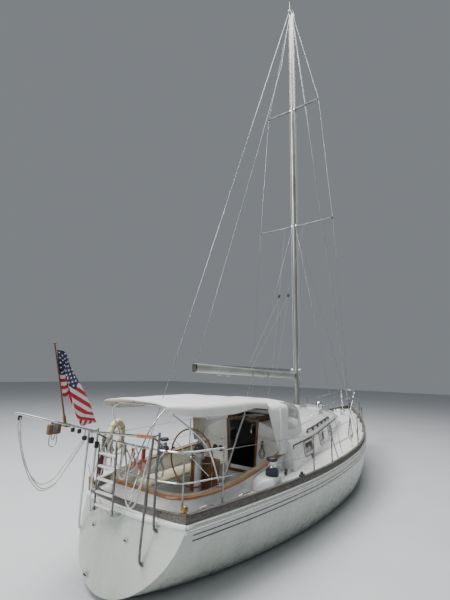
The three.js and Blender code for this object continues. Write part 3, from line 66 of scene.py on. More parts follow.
PORT, STARBOARD = 1, -1
SIDES = (PORT, STARBOARD)
NAMED_SIDES = ((PORT, "port"), (STARBOARD, "starboard"))

# Camera, floor and light

CAMERA_AT = Vector((-8.436, -3.717, 2.630))
YAW, PITCH, ROLL = (radians(a) for a in (34.795, 12.003, 1.627))
LENS, SENSOR, CLIP_END = 20.376, 36, 400
# Name, place, aim, diameter and watts of each lamp.
LIGHTS = (
    ("key", (-10, 5, 16), (-1, 0, 1), 8, 3500),
    ("fill", (-13, 1, 4.5), (-2.5, 0, 1.2), 7, 380),
    ("top", (2, 0, 18), (0, 0, 1), 13, 2900),
)
SKY_COLOR, SKY_STRENGTH = (0.80, 0.86, 0.92, 1), 0.26
FLOOR_HALF = 60


def put(name, data, matrix):
    obj = bpy.data.objects.new(name, data)
    obj.matrix_world = matrix
    bpy.context.collection.objects.link(obj)
    return obj


def camera():
    ahead = Vector((cos(YAW) * cos(PITCH), sin(YAW) * cos(PITCH), sin(PITCH)))
    right = Vector((sin(YAW), -cos(YAW), 0))
    up = right.cross(ahead)
    right2 = right * cos(ROLL) + up * sin(ROLL)
    up2 = up * cos(ROLL) - right * sin(ROLL)
    data = bpy.data.cameras.new("camera")
    data.sensor_width = SENSOR
    data.lens = LENS
    data.clip_end = CLIP_END
    turn = Matrix((right2, up2, -ahead)).transposed().to_4x4()
    bpy.context.scene.camera = put("camera", data, Matrix.Translation(CAMERA_AT) @ turn)


def lights():
    for name, at, towards, size, power in LIGHTS:
        data = bpy.data.lights.new(name, "AREA")
        data.shape = "DISK"
        data.size = size
        data.energy = power
        aim = (Vector(towards) - Vector(at)).to_track_quat("-Z", "Y")
        put(name, data, Matrix.Translation(at) @ aim.to_matrix().to_4x4())
    world = bpy.data.worlds.new("studio")
    bpy.context.scene.world = world
    world.use_nodes = True
    background = world.node_tree.nodes["Background"].inputs
    background["Color"].default_value = SKY_COLOR
    background["Strength"].default_value = SKY_STRENGTH


def stage_floor():
    reach = (-FLOOR_HALF, FLOOR_HALF)
    Kit().grid([[Vector((x, y, 0)) for x in reach] for y in reach]).piece("floor", "floor")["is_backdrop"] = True


# Numbers and curves


def lerp(a, b, t):
    return a + (b - a) * t


def clamp(v, low, high):
    return max(low, min(high, v))


def ease(t):
    t = clamp(t, 0, 1)
    return t * t * (3 - 2 * t)


def vertical(height):
    return Vector((0, 0, height))


def circle(count):
    """Angles at count even steps round a circle."""
    return [2 * pi * k / count for k in range(count)]


def mirrored(points):
    """The same points on the boat's other side, in reverse order."""
    return [Vector((p.x, -p.y, p.z)) for p in points[::-1]]


def nearest(values, wanted):
    return min(range(len(values)), key=lambda i: abs(values[i] - wanted))


def ending(share, both=False):
    """A taper that narrows only a tube's last ring, or its first one too."""
    return lambda t: share if t == 1 or (both and t == 0) else 1


def plump(low, more, edge, power):
    """A taper from low at both ends to low + more in the middle."""
    return lambda t: low + more * sin(pi * clamp(t, edge, 1 - edge)) ** power


def smooth_row(table, x, column):
    """A value between the rows of a table by a cubic curve; column 0 is x."""
    xs = [r[0] for r in table]
    ys = [r[column] for r in table]
    if x <= xs[0]:
        return ys[0]
    if x >= xs[-1]:
        return ys[-1]
    i = next(k for k in range(len(xs) - 1) if xs[k] <= x <= xs[k + 1])
    width = xs[i + 1] - xs[i]
    t = (x - xs[i]) / width

    def slope(k):
        if k in (0, len(xs) - 1):
            a, b = (0, 1) if k == 0 else (k - 1, k)
            return (ys[b] - ys[a]) / (xs[b] - xs[a])
        before = (ys[k] - ys[k - 1]) / (xs[k] - xs[k - 1])
        after = (ys[k + 1] - ys[k]) / (xs[k + 1] - xs[k])
        return 0 if before * after <= 0 else 2 * before * after / (before + after)

    h = t * t * (3 - 2 * t)
    a, b = slope(i), slope(i + 1)
    bow = t * (1 - t) * width
    return lerp(ys[i], ys[i + 1], h) + bow * (a * (1 - t) - b * t)


def smooth_path(points, steps):
    """A centripetal Catmull-Rom curve through points, evenly spaced."""
    pts = [Vector(p) for p in points]
    ends = [pts[0] * 2 - pts[1]] + pts + [pts[-1] * 2 - pts[-2]]
    fine = []
    for i in range(1, len(ends) - 2):
        p0, p1, p2, p3 = ends[i - 1 : i + 3]
        t0 = 0.0
        t1 = t0 + max((p1 - p0).length, 1e-6) ** 0.5
        t2 = t1 + max((p2 - p1).length, 1e-6) ** 0.5
        t3 = t2 + max((p3 - p2).length, 1e-6) ** 0.5
        for k in range(24):
            t = lerp(t1, t2, k / 24)
            a1 = p0 * ((t1 - t) / (t1 - t0)) + p1 * ((t - t0) / (t1 - t0))
            a2 = p1 * ((t2 - t) / (t2 - t1)) + p2 * ((t - t1) / (t2 - t1))
            a3 = p2 * ((t3 - t) / (t3 - t2)) + p3 * ((t - t2) / (t3 - t2))
            b1 = a1 * ((t2 - t) / (t2 - t0)) + a2 * ((t - t0) / (t2 - t0))
            b2 = a2 * ((t3 - t) / (t3 - t1)) + a3 * ((t - t1) / (t3 - t1))
            fine.append(b1 * ((t2 - t) / (t2 - t1)) + b2 * ((t - t1) / (t2 - t1)))
    fine.append(pts[-1])
    return even(fine, steps)


def even(fine, steps):
    """steps + 1 points evenly spaced along a fine line."""
    run = [0.0]
    for a, b in zip(fine, fine[1:]):
        run.append(run[-1] + (b - a).length)
    out = []
    k = 0
    for i in range(steps + 1):
        want = run[-1] * i / steps
        while k < len(run) - 2 and run[k + 1] < want:
            k += 1
        span = max(run[k + 1] - run[k], 1e-9)
        out.append(fine[k].lerp(fine[k + 1], clamp((want - run[k]) / span, 0, 1)))
    return out


def frames_along(points, closed=False):
    """Side and up vectors along a path, with the least twist."""
    n = len(points)
    tangents = []
    for i in range(n):
        a = points[i - 1] if (i or closed) else points[0]
        b = points[(i + 1) % n] if (i < n - 1 or closed) else points[-1]
        tangents.append((b - a).normalized())
    first = tangents[0]
    guide = vertical(1) if abs(first.z) < 0.9 else Vector((1, 0, 0))
    side = first.cross(guide).normalized()
    sides = [side]
    for i in range(1, n):
        turn = tangents[i - 1].rotation_difference(tangents[i])
        side = turn @ sides[-1]
        side = (side - tangents[i] * side.dot(tangents[i])).normalized()
        sides.append(side)
    return [(s, s.cross(t).normalized() * -1, t) for s, t in zip(sides, tangents)]


# Mesh kit


class Kit:
    """Gathers small meshes of one material into one piece."""

    def __init__(self):
        self.v = []
        self.f = []

    def add(self, verts, faces):
        n = len(self.v)
        self.v += [tuple(p) for p in verts]
        self.f += [[n + i for i in f] for f in faces]
        return self

    def grid(self, rows, wrap=False, ends=False, loop=False):
        """Quads between equal rows. wrap closes each row, loop joins the last row to the first."""
        n, m = len(rows), len(rows[0])
        if any(len(r) != m for r in rows):
            raise ValueError("rows of unequal length")
        faces = []
        for i in range(n if loop else n - 1):
            a, b = i * m, ((i + 1) % n) * m
            for j in range(m if wrap else m - 1):
                k = (j + 1) % m
                faces.append([a + j, a + k, b + k, b + j])
        if ends:
            faces.append(list(range(m))[::-1])
            faces.append([(n - 1) * m + j for j in range(m)])
        return self.add([p for r in rows for p in r], faces)

    def tube(self, points, r, sides=10, closed=False, taper=None):
        points = [Vector(p) for p in points]
        rows = []
        for i, (s, u, _) in enumerate(frames_along(points, closed)):
            radius = r if taper is None else taper(i / (len(points) - 1)) * r
            ring = [points[i] + (s * cos(a) + u * sin(a)) * radius for a in circle(sides)]
            rows.append(ring)
        if closed:
            # The last frame is turned to meet the first one.
            s0, u0, _ = frames_along(points, True)[0]
            gap = rows[-1][0] - points[-1]
            shift = round(atan2(gap.dot(u0), gap.dot(s0)) / (2 * pi) * sides)
            for i in range(len(rows)):
                k = round(shift * i / len(rows))
                rows[i] = rows[i][-k:] + rows[i][:-k] if k else rows[i]
        return self.grid(rows, wrap=True, ends=not closed, loop=closed)

    def rod(self, a, b, r, r2=None, sides=12):
        a, b = Vector(a), Vector(b)
        end = r if r2 is None else r2
        return self.tube([a, b], 1, sides, taper=lambda t: r if t == 0 else end)

    def box(self, low, high, bevel=0.0, segments=2, turn=None, pivot=None):
        low, high = Vector(low), Vector(high)
        mesh = bmesh.new()
        bmesh.ops.create_cube(mesh, size=1)
        size, mid = high - low, (low + high) / 2
        for v in mesh.verts:
            v.co = Vector((v.co.x * size.x, v.co.y * size.y, v.co.z * size.z)) + mid
        if bevel:
            bmesh.ops.bevel(
                mesh, geom=list(mesh.edges), offset=bevel, segments=segments, profile=0.5, affect="EDGES",
            )
        if turn is not None:
            centre = mid if pivot is None else Vector(pivot)
            for v in mesh.verts:
                v.co = turn @ (v.co - centre) + centre
        mesh.verts.index_update()
        self.add([v.co.copy() for v in mesh.verts], [[v.index for v in f.verts] for f in mesh.faces])
        mesh.free()
        return self

    def lathe(self, profile, at, axis=(0, 0, 1), sides=24):
        """profile: (radius, height) from one end on the axis to the other."""
        turn = vertical(1).rotation_difference(Vector(axis).normalized())
        at = Vector(at)
        rows = []
        for r, h in profile:
            rows.append([at + turn @ Vector((r * cos(a), r * sin(a), h)) for a in circle(sides)])
        ends = profile[0][0] > 1e-5 and profile[-1][0] > 1e-5
        return self.grid(rows, wrap=True, ends=ends)

    def ball(self, at, r, scale=(1, 1, 1), sides=16, rings=10):
        rows = []
        for i in range(rings + 1):
            lat = pi * i / rings - pi / 2
            row = []
            for a in circle(sides):
                x = scale[0] * r * cos(lat) * cos(a)
                y = scale[1] * r * cos(lat) * sin(a)
                row.append(Vector(at) + Vector((x, y, scale[2] * r * sin(lat))))
            rows.append(row)
        return self.grid(rows, wrap=True)

    def cap(self, ring):
        return self.add(ring, [list(range(len(ring)))])

    def box_on(self, side, low, high, *bevel):
        """A box that is given for the port side, set on either side."""
        y = sorted((side * low[1], side * high[1]))
        return self.box((low[0], y[0], low[2]), (high[0], y[1], high[2]), *bevel)

    def post(self, x, y, half_x, half_y, low, high, *bevel):
        """An upright box around x, y from one height to another."""
        return self.box((x - half_x, y - half_y, low), (x + half_x, y + half_y, high), *bevel)

    def object(self, name, weld=None):
        mesh = bpy.data.meshes.new(name)
        mesh.from_pydata(self.v, [], self.f)
        work = bmesh.new()
        work.from_mesh(mesh)
        if weld:
            bmesh.ops.remove_doubles(work, verts=work.verts, dist=weld)
            bmesh.ops.dissolve_degenerate(work, edges=work.edges, dist=1e-6)
        bmesh.ops.recalc_face_normals(work, faces=work.faces)
        work.to_mesh(mesh)
        work.free()
        mesh.update()
        obj = bpy.data.objects.new(name, mesh)
        bpy.context.collection.objects.link(obj)
        return obj

    def piece(self, name, looks, body="hull", replaces=(), smooth=40, weld=1e-5, slot=None):
        """One finished object. The slot argument is not used."""
        obj = self.object(name, weld)
        looks = [looks] if isinstance(looks, str) else looks
        for look in looks:
            obj.data.materials.append(LOOK[look])
        shade(obj, smooth)
        finish_piece(obj, body, replaces)
        return obj


def shade(obj, angle):
    obj.data.polygons.foreach_set("use_smooth", [True] * len(obj.data.polygons))
    obj.data.set_sharp_from_angle(angle=radians(angle))


def finish_piece(obj, body, replaces):
    """body is None on a piece that runs between two bodies; it is attached to neither."""
    if body:
        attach(obj, body)
    if replaces:
        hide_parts(*replaces)


def apply_modifiers(obj):
    bpy.context.view_layer.update()
    graph = bpy.context.evaluated_depsgraph_get()
    mesh = bpy.data.meshes.new_from_object(obj.evaluated_get(graph))
    obj.modifiers.clear()
    obj.data = mesh


def modifier(obj, kind, **settings):
    mod = obj.modifiers.new(kind.lower(), kind)
    for key, value in settings.items():
        setattr(mod, key, value)
    return mod


def thicken(obj, thickness, angle, offset=-1):
    modifier(obj, "SOLIDIFY", thickness=thickness, offset=offset)
    apply_modifiers(obj)
    shade(obj, angle)


# Materials

GEL_LIGHT, GEL_DARK = (0.82, 0.83, 0.81), (0.72, 0.735, 0.72)


class Paint:
    """A procedural material on one Principled shader."""

    def __init__(self, name, rough=0.5, metal=0.0, **plain):
        self.mat = bpy.data.materials.new(name)
        self.mat.use_nodes = True
        self.tree = self.mat.node_tree
        self.shader = self.tree.nodes["Principled BSDF"]
        self.shader.inputs["Roughness"].default_value = rough
        self.shader.inputs["Metallic"].default_value = metal
        for key, value in plain.items():
            self.shader.inputs[key.replace("_", " ")].default_value = value
        self.bumps = None

    def node(self, kind, **settings):
        made = self.tree.nodes.new(kind)
        for key, value in settings.items():
            setattr(made, key, value)
        return made

    def link(self, out, socket):
        self.tree.links.new(out, socket)

    def place(self, stretch=(1, 1, 1), turn=(0, 0, 0), use="Object"):
        coords = self.node("ShaderNodeTexCoord")
        mapping = self.node("ShaderNodeMapping")
        mapping.inputs["Scale"].default_value = stretch
        mapping.inputs["Rotation"].default_value = turn
        self.link(coords.outputs[use], mapping.inputs["Vector"])
        return mapping.outputs["Vector"]

    def noise(self, scale, stretch=(1, 1, 1), detail=4, rough=0.55, turn=(0, 0, 0)):
        tex = self.node("ShaderNodeTexNoise")
        tex.inputs["Scale"].default_value = scale
        tex.inputs["Detail"].default_value = detail
        tex.inputs["Roughness"].default_value = rough
        self.link(self.place(stretch, turn), tex.inputs["Vector"])
        return tex.outputs["Fac"]

    def cells(self, scale, stretch=(1, 1, 1), kind="F1"):
        tex = self.node("ShaderNodeTexVoronoi", feature=kind)
        tex.inputs["Scale"].default_value = scale
        self.link(self.place(stretch), tex.inputs["Vector"])
        return tex.outputs["Distance"]

    def wave(self, scale, axis="X", distort=0.0, stretch=(1, 1, 1), use="Object", turn=(0, 0, 0)):
        tex = self.node("ShaderNodeTexWave", bands_direction=axis)
        tex.inputs["Scale"].default_value = scale
        tex.inputs["Distortion"].default_value = distort
        tex.inputs["Detail"].default_value = 2
        self.link(self.place(stretch, turn, use), tex.inputs["Vector"])
        return tex.outputs["Fac"]

    def height(self, axis="Z"):
        split = self.node("ShaderNodeSeparateXYZ")
        self.link(self.place(), split.inputs[0])
        return split.outputs[axis]

    def ramp(self, fac, stops, constant=False):
        ramp = self.node("ShaderNodeValToRGB")
        if constant:
            ramp.color_ramp.interpolation = "CONSTANT"
        marks = ramp.color_ramp.elements
        while len(marks) < len(stops):
            marks.new(0.5)
        for mark, (at, value) in zip(marks, stops):
            mark.position = at
            mark.color = (*value, 1) if isinstance(value, tuple) else (value, value, value, 1)
        self.link(fac, ramp.inputs["Fac"])
        return ramp.outputs["Color"]

    def span(self, value, low, high, to_low=0.0, to_high=1.0):
        node = self.node("ShaderNodeMapRange")
        for key, number in zip(("From Min", "From Max", "To Min", "To Max"), (low, high, to_low, to_high)):
            node.inputs[key].default_value = number
        self.link(value, node.inputs["Value"])
        return node.outputs["Result"]

    def feed(self, socket, value):
        """Set a socket from a number or a colour, or link it."""
        if isinstance(value, (int, float)):
            socket.default_value = value
        elif isinstance(value, tuple):
            socket.default_value = (*value, 1)
        else:
            self.link(value, socket)

    def mix(self, fac, a, b, blend="MIX"):
        node = self.node("ShaderNodeMix", data_type="RGBA", blend_type=blend)
        for value, key in ((fac, 0), (a, 6), (b, 7)):
            self.feed(node.inputs[key], value)
        return node.outputs[2]

    def times(self, a, b, kind="MULTIPLY"):
        node = self.node("ShaderNodeMath", operation=kind)
        self.feed(node.inputs[0], a)
        self.feed(node.inputs[1], b)
        return node.outputs[0]

    def upward(self, low, high):
        """0 on faces that lean more than low, 1 on those that look up."""
        where = self.node("ShaderNodeNewGeometry")
        part = self.node("ShaderNodeSeparateXYZ")
        self.link(where.outputs["Normal"], part.inputs[0])
        return self.span(part.outputs["Z"], low, high)

    def color(self, out):
        self.feed(self.shader.inputs["Base Color"], out)
        return self

    def rough(self, out):
        self.link(out, self.shader.inputs["Roughness"])
        return self

    def bump(self, height, distance, strength=1.0):
        node = self.node("ShaderNodeBump")
        node.inputs["Distance"].default_value = distance
        node.inputs["Strength"].default_value = strength
        self.link(height, node.inputs["Height"])
        if self.bumps is not None:
            self.link(self.bumps, node.inputs["Normal"])
        self.bumps = node.outputs["Normal"]
        self.link(self.bumps, self.shader.inputs["Normal"])
        return self


def two_tone(name, light, dark, scale, rough, spread=0.18, metal=0.0, stretch=(1, 1, 1), **plain):
    """Paint that varies softly between two colours."""
    paint = Paint(name, rough, metal, **plain)
    cloud = paint.noise(scale, stretch)
    paint.color(paint.ramp(cloud, [(0.5 - spread, dark), (0.5 + spread, light)]))
    paint.rough(paint.span(paint.noise(scale * 3.1, stretch), 0.3, 0.7, rough * 0.85, rough * 1.2))
    return paint


# After the names: light and dark colour, roughness, coat and, where it differs, the grain.
WOODS = (
    ("varnish", "varnished_teak", (0.36, 0.155, 0.05), (0.13, 0.045, 0.014), 0.3, 0.6),
    (
        "varnish_up", "varnished_teak_upright", (0.25, 0.10, 0.036), (0.09, 0.030, 0.011), 0.32, 0.5,
        (22, 22, 1),
    ),
    ("grey_teak", "weathered_teak", (0.17, 0.16, 0.135), (0.055, 0.052, 0.044), 0.85, 0),
    ("dark_teak", "oiled_teak", (0.20, 0.11, 0.055), (0.06, 0.03, 0.016), 0.6, 0),
    ("black_teak", "black_teak", (0.115, 0.105, 0.095), (0.04, 0.036, 0.032), 0.85, 0),
    ("dark_red_wood", "dark_red_wood", (0.16, 0.035, 0.015), (0.05, 0.012, 0.008), 0.3, 0.5, (22, 22, 1)),
    ("sole_wood", "cabin_sole", (0.20, 0.10, 0.04), (0.08, 0.035, 0.014), 0.4, 0.3),
)
# After the names: light and dark colour, scale of the clouds, roughness.
METALS = (
    # post_steel is darker than the stainless: painted dark reflections on the stanchions and pushpit posts.
    ("post_steel", "steel_painted_dark_reflections", (0.36, 0.355, 0.34), (0.20, 0.195, 0.185), 12, 0.28),
    ("chrome", "chrome", (0.80, 0.80, 0.80), (0.66, 0.67, 0.68), 12, 0.09),
    # dark_steel is darker still: painted shade and dark reflections on the stern frame, ladder rails and boom
    # ends.
    ("dark_steel", "steel_tube_painted_shade", (0.20, 0.20, 0.20), (0.10, 0.10, 0.105), 10, 0.35),
)
# After the two colours: scale of the weave, sheen and dirt, where they differ from the usual.
CLOTHS = (
    ("canvas", "off_white_canvas", (0.78, 0.775, 0.75), (0.63, 0.63, 0.61), 900, 0.25, 0.12),
    ("canvas_trim", "canvas_binding", (0.70, 0.69, 0.66), (0.56, 0.555, 0.53)),
    ("cushion", "cream_cushion", (0.76, 0.70, 0.47), (0.62, 0.56, 0.36), 700, 0.1),
    ("curtain", "curtain", (0.50, 0.42, 0.36), (0.36, 0.30, 0.26)),
    ("tan_canvas", "tan_canvas", (0.52, 0.43, 0.33), (0.36, 0.29, 0.22)),
    ("navy_cloth", "navy_cloth", (0.028, 0.036, 0.065), (0.012, 0.016, 0.03)),
    ("maroon", "maroon_cloth", (0.16, 0.018, 0.022), (0.07, 0.008, 0.012)),
    ("flag_red", "flag_red", (0.56, 0.018, 0.045), (0.36, 0.010, 0.028)),
    ("flag_white", "flag_white", (0.80, 0.78, 0.76), (0.62, 0.60, 0.59)),
    ("flag_blue", "flag_blue", (0.020, 0.030, 0.10), (0.010, 0.014, 0.05)),
)
# Light and dark colour, roughness.
PLASTICS = (
    ("black_plastic", (0.030, 0.030, 0.032), (0.014, 0.014, 0.015), 0.45),
    ("window_rim", (0.17, 0.18, 0.175), (0.10, 0.105, 0.10), 0.5),
    ("white_plastic", (0.74, 0.74, 0.72), (0.62, 0.62, 0.60), 0.35),
    ("grey_plastic", (0.34, 0.35, 0.35), (0.24, 0.25, 0.25), 0.45),
    ("rubber", (0.025, 0.025, 0.025), (0.012, 0.012, 0.012), 0.75),
    ("red_plastic", (0.40, 0.03, 0.02), (0.25, 0.018, 0.014), 0.4),
    ("green_plastic", (0.02, 0.22, 0.07), (0.012, 0.13, 0.04), 0.4),
    # Near-black painted shade for the inside of holes.
    ("dark_void", (0.012, 0.012, 0.012), (0.006, 0.006, 0.006), 0.8),
    ("engine_green", (0.05, 0.10, 0.075), (0.03, 0.06, 0.045), 0.5),
)
ROPES = (
    ("white", (0.62, 0.61, 0.57), (0.34, 0.33, 0.30)),
    ("grey", (0.34, 0.34, 0.31), (0.16, 0.16, 0.15)),
    ("dark", (0.17, 0.15, 0.12), (0.06, 0.053, 0.045)),
    ("red", (0.42, 0.05, 0.035), (0.20, 0.022, 0.018)),
    ("orange", (0.50, 0.16, 0.06), (0.26, 0.07, 0.03)),
    ("blue", (0.10, 0.16, 0.34), (0.40, 0.42, 0.44)),
)
# After the names: roughness, metal, stretch of the clouds and of the bump, dark and light colour.
ALUMINIUM = (
    (
        "spar", "satin_aluminium", 0.42, 0.75, (1.5, 1.5, 0.3), (1, 1, 0.1),
        (0.23, 0.235, 0.22), (0.40, 0.405, 0.385),
    ),
    (
        "boom", "boom_aluminium", 0.5, 0.5, (0.4, 2.5, 2.5), (0.1, 1, 1),
        (0.31, 0.33, 0.29), (0.48, 0.51, 0.46),
    ),
)


def clouded(name, scale, detail, low, high, rough, bump=None, metal=0.0, **plain):
    """Paint whose colour follows one noise between two (place, colour) stops.

    bump: scale, detail, distance and strength of a finer noise.
    """
    paint = Paint(name, rough, metal, **plain)
    paint.color(paint.ramp(paint.noise(scale, detail=detail), [low, high]))
    if bump:
        fine, fine_detail, distance, strength = bump
        paint.bump(paint.noise(fine, detail=fine_detail), distance, strength)
    return paint.mat


def wood(name, light, dark, rough, coat, grain=(1, 22, 22)):
    """Wood with its grain along the axis where grain is small; coat is its varnish."""
    paint = Paint(name, rough, Coat_Weight=coat, Coat_Roughness=0.06)
    lines = paint.noise(2.2, grain, detail=8, rough=0.65)
    between = tuple(lerp(a, b, 0.6) for a, b in zip(dark, light))
    paint.color(paint.ramp(lines, [(0.30, dark), (0.5, between), (0.72, light)]))
    paint.rough(paint.span(lines, 0.3, 0.7, rough * 1.25, rough * 0.8))
    return paint.bump(lines, 0.0015, 0.5).mat


def cloth(name, light, dark, weave=900.0, sheen=0.25, dirt=0.0):
    """Cloth with a fine weave, soft hollows and, where there is dirt, darker spots."""
    paint = Paint(name, 0.85, Sheen_Weight=sheen, Sheen_Roughness=0.5)
    tone = paint.ramp(paint.noise(2.4, detail=6), [(0.3, dark), (0.66, light)])
    if dirt:
        spots = paint.ramp(paint.noise(7, detail=7), [(0.56, 1.0), (0.8, 1 - dirt)])
        tone = paint.mix(1.0, tone, spots, "MULTIPLY")
    threads = paint.times(paint.wave(weave, "X"), paint.wave(weave, "Y"), "ADD")
    tone = paint.mix(0.10, tone, paint.ramp(threads, [(0.3, 0.75), (1.0, 1.0)]), "MULTIPLY")
    paint.color(tone).bump(threads, 0.0004, 0.4)
    return paint.bump(paint.noise(9, detail=3), 0.006, 0.35).mat


def rope(name, light, dark):
    """Laid rope: slanting strands between two colours."""
    paint = Paint(name, 0.85, Sheen_Weight=0.3)
    lay = paint.wave(60, "DIAGONAL", 1.5)
    tone = paint.ramp(lay, [(0.2, dark), (0.7, light)])
    paint.color(paint.mix(0.5, tone, paint.ramp(paint.noise(8), [(0.3, dark), (0.6, light)])))
    return paint.bump(lay, 0.002, 0.7).mat


def hull_gelcoat():
    """Faintly streaked gelcoat, grey-green well below white as painted shade, darker still towards the
    waterline, and a dark bottom under it.
    """
    paint = Paint("gelcoat_hull", 0.2, Coat_Weight=0.5, Coat_Roughness=0.08)
    streak = paint.noise(3.0, (1.2, 1.2, 0.22), detail=5)
    # Both base colours sit well below white gelcoat: painted shade of the hull's side.
    base = paint.ramp(streak, [(0.36, (0.42, 0.455, 0.41)), (0.66, (0.48, 0.515, 0.47))])
    speck = paint.ramp(paint.noise(38, detail=6), [(0.64, 1.0), (0.72, 0.95)])
    base = paint.mix(1.0, base, speck, "MULTIPLY")
    z = paint.height()
    # Darkens towards a grey-green from 0.22 m down to 0.02 m above the waterline.
    waterline_darkening = paint.times(paint.span(z, 0.22, 0.02, 0.0, 0.7), paint.noise(2.2, (1, 1, 2)))
    base = paint.mix(waterline_darkening, base, (0.27, 0.30, 0.22))
    weed = paint.ramp(paint.span(z, -0.05, 0.12), [(0.0, 0.0), (0.52, 1.0)], constant=True)
    base = paint.mix(weed, (0.030, 0.050, 0.075), base)
    paint.color(base).rough(paint.span(paint.noise(9), 0.35, 0.65, 0.24, 0.32))
    return paint.bump(paint.noise(1.3, detail=2), 0.003, 0.10).mat


def deck_gelcoat():
    paint = two_tone("gelcoat_deck", GEL_LIGHT, GEL_DARK, 2.2, 0.27, Coat_Weight=0.3)
    dirt = paint.ramp(paint.noise(14, detail=7), [(0.60, 1.0), (0.78, 0.80)])
    old = paint.ramp(paint.noise(2.2), [(0.32, GEL_DARK), (0.68, GEL_LIGHT)])
    paint.color(paint.mix(1.0, old, dirt, "MULTIPLY"))
    return paint.bump(paint.noise(60, detail=2), 0.0006, 0.3).mat


def non_skid_paint():
    paint = Paint("non_skid", 0.62)
    old = paint.ramp(paint.noise(1.7), [(0.35, (0.73, 0.735, 0.70)), (0.65, (0.82, 0.825, 0.79))])
    dots = paint.cells(150)
    paint.color(paint.mix(0.25, old, paint.ramp(dots, [(0.1, 0.95), (0.6, 0.6)]), "MULTIPLY"))
    return paint.bump(dots, 0.003, 0.8).mat


def cap_wood():
    """Varnish that is worn off on what looks up."""
    paint = Paint("coaming_cap_wood", 0.4, Coat_Weight=0.35, Coat_Roughness=0.1)
    lines = paint.noise(2.2, (1, 22, 22), detail=8, rough=0.65)
    edge = paint.ramp(lines, [(0.30, (0.15, 0.055, 0.018)), (0.72, (0.40, 0.18, 0.06))])
    worn = paint.ramp(lines, [(0.30, (0.20, 0.165, 0.115)), (0.72, (0.38, 0.33, 0.25))])
    paint.color(paint.mix(paint.upward(0.80, 0.97), edge, worn))
    paint.rough(paint.span(lines, 0.3, 0.7, 0.5, 0.3))
    return paint.bump(lines, 0.0015, 0.5).mat


def stainless():
    paint = two_tone("stainless_steel", (0.66, 0.67, 0.68), (0.50, 0.51, 0.52), 9, 0.16, metal=1.0)
    return paint.bump(paint.noise(320, (1, 1, 0.1), detail=2), 0.0002, 0.2).mat


def wire_rope():
    paint = Paint("wire_rope", 0.35, 1.0)
    lay = paint.wave(220, "DIAGONAL")
    paint.color(paint.ramp(lay, [(0.2, (0.16, 0.165, 0.17)), (0.8, (0.50, 0.51, 0.52))]))
    return paint.bump(lay, 0.0006, 0.5).mat


def aluminium(name, rough, metal, run, fine, dark, light):
    """Drawn aluminium: clouds and a finer bump, both stretched along the spar."""
    paint = Paint(name, rough, metal)
    paint.color(paint.ramp(paint.noise(3, run, detail=6), [(0.33, dark), (0.68, light)]))
    return paint.bump(paint.noise(40, fine), 0.0006, 0.3).mat


def plastic(name, light, dark, rough):
    paint = two_tone(name, light, dark, 11, rough)
    return paint.bump(paint.noise(90, detail=3), 0.0005, 0.3).mat


LOOK = {
    "hull": hull_gelcoat(),
    "gelcoat": deck_gelcoat(),
    "non_skid": non_skid_paint(),
    "cap_wood": cap_wood(),
    "steel": stainless(),
    "wire": wire_rope(),
    "bottom": clouded(
        "antifouling", 5, 8, (0.35, (0.018, 0.03, 0.05)), (0.7, (0.05, 0.075, 0.10)), 0.75,
        bump=(45, 6, 0.003, 0.5),
    ),
    "vinyl": clouded(
        "clear_vinyl", 3, 5, (0.35, (0.36, 0.37, 0.36)), (0.7, (0.56, 0.57, 0.55)), 0.12,
        bump=(4, 2, 0.02, 0.4), Alpha=0.42, Coat_Weight=0.3,
    ),
    "glass": clouded(
        "window_glass", 2, 4, (0.4, (0.15, 0.135, 0.125)), (0.6, (0.22, 0.20, 0.185)), 0.06,
        Alpha=0.45, Coat_Weight=0.6,
    ),
    "lens": clouded(
        "smoked_lens", 4, 4, (0.4, (0.03, 0.035, 0.04)), (0.6, (0.06, 0.065, 0.07)), 0.08,
        Coat_Weight=0.8,
    ),
    "bronze": clouded(
        "brass_bronze", 7, 5, (0.35, (0.15, 0.095, 0.04)), (0.68, (0.34, 0.23, 0.095)), 0.32,
        bump=(50, 4, 0.0008, 0.3), metal=1.0,
    ),
    "floor": clouded(
        "studio_floor", 0.6, 4, (0.3, (0.54, 0.55, 0.56)), (0.7, (0.58, 0.59, 0.60)), 0.7,
    ),
}
LOOK.update({look: aluminium(*values) for look, *values in ALUMINIUM})
LOOK.update({look: wood(*values) for look, *values in WOODS})
for look, name, light, dark, scale, rough in METALS:
    LOOK[look] = two_tone(name, light, dark, scale, rough, metal=1.0).mat
LOOK.update({look: cloth(*values) for look, *values in CLOTHS})
LOOK.update({values[0]: plastic(*values) for values in PLASTICS})
for tone, light, dark in ROPES:
    LOOK["rope_" + tone] = rope(tone + "_rope", light, dark)

# Hull form, as the solids have it

BOW_X, STERN_X = 5.5, -5.5
BEAM_HALF, BEAM_X, STERN_HALF, CORNER_X = 1.6, -0.054, 0.87, -5.31
SHEER_LOW_X, SHEER_LOW, SHEER_BOW, SHEER_STERN = -2.687, 0.885, 1.40, 0.860
DEPTH, DEEP_X, TIP_Z = 0.6, -0.4, 0.08
STEM_FOOT = (4.29, -0.06, 1.17)
TRANSOM_X, TRANSOM_Z, TRANSOM_RAKE, TRANSOM_CAMBER = -5.23, 0.832, 0.359, 0.12
DECK_THICK, DECK_CAMBER = 0.03, 0.045
RAIL_HIGH = 0.1
HULL_SHELL, DECK_SHELL = 0.028, 0.026


def fore_share(x):
    return clamp((x - BEAM_X) / (BOW_X - BEAM_X), 0, 1)


def half_breadth(x):
    if x >= BEAM_X:
        return max(BEAM_HALF * (1 - fore_share(x) ** 1.73) ** 0.943, 0.012)
    aft = (BEAM_X - x) / (BEAM_X - CORNER_X)
    return BEAM_HALF - (BEAM_HALF - STERN_HALF) * aft**2.2


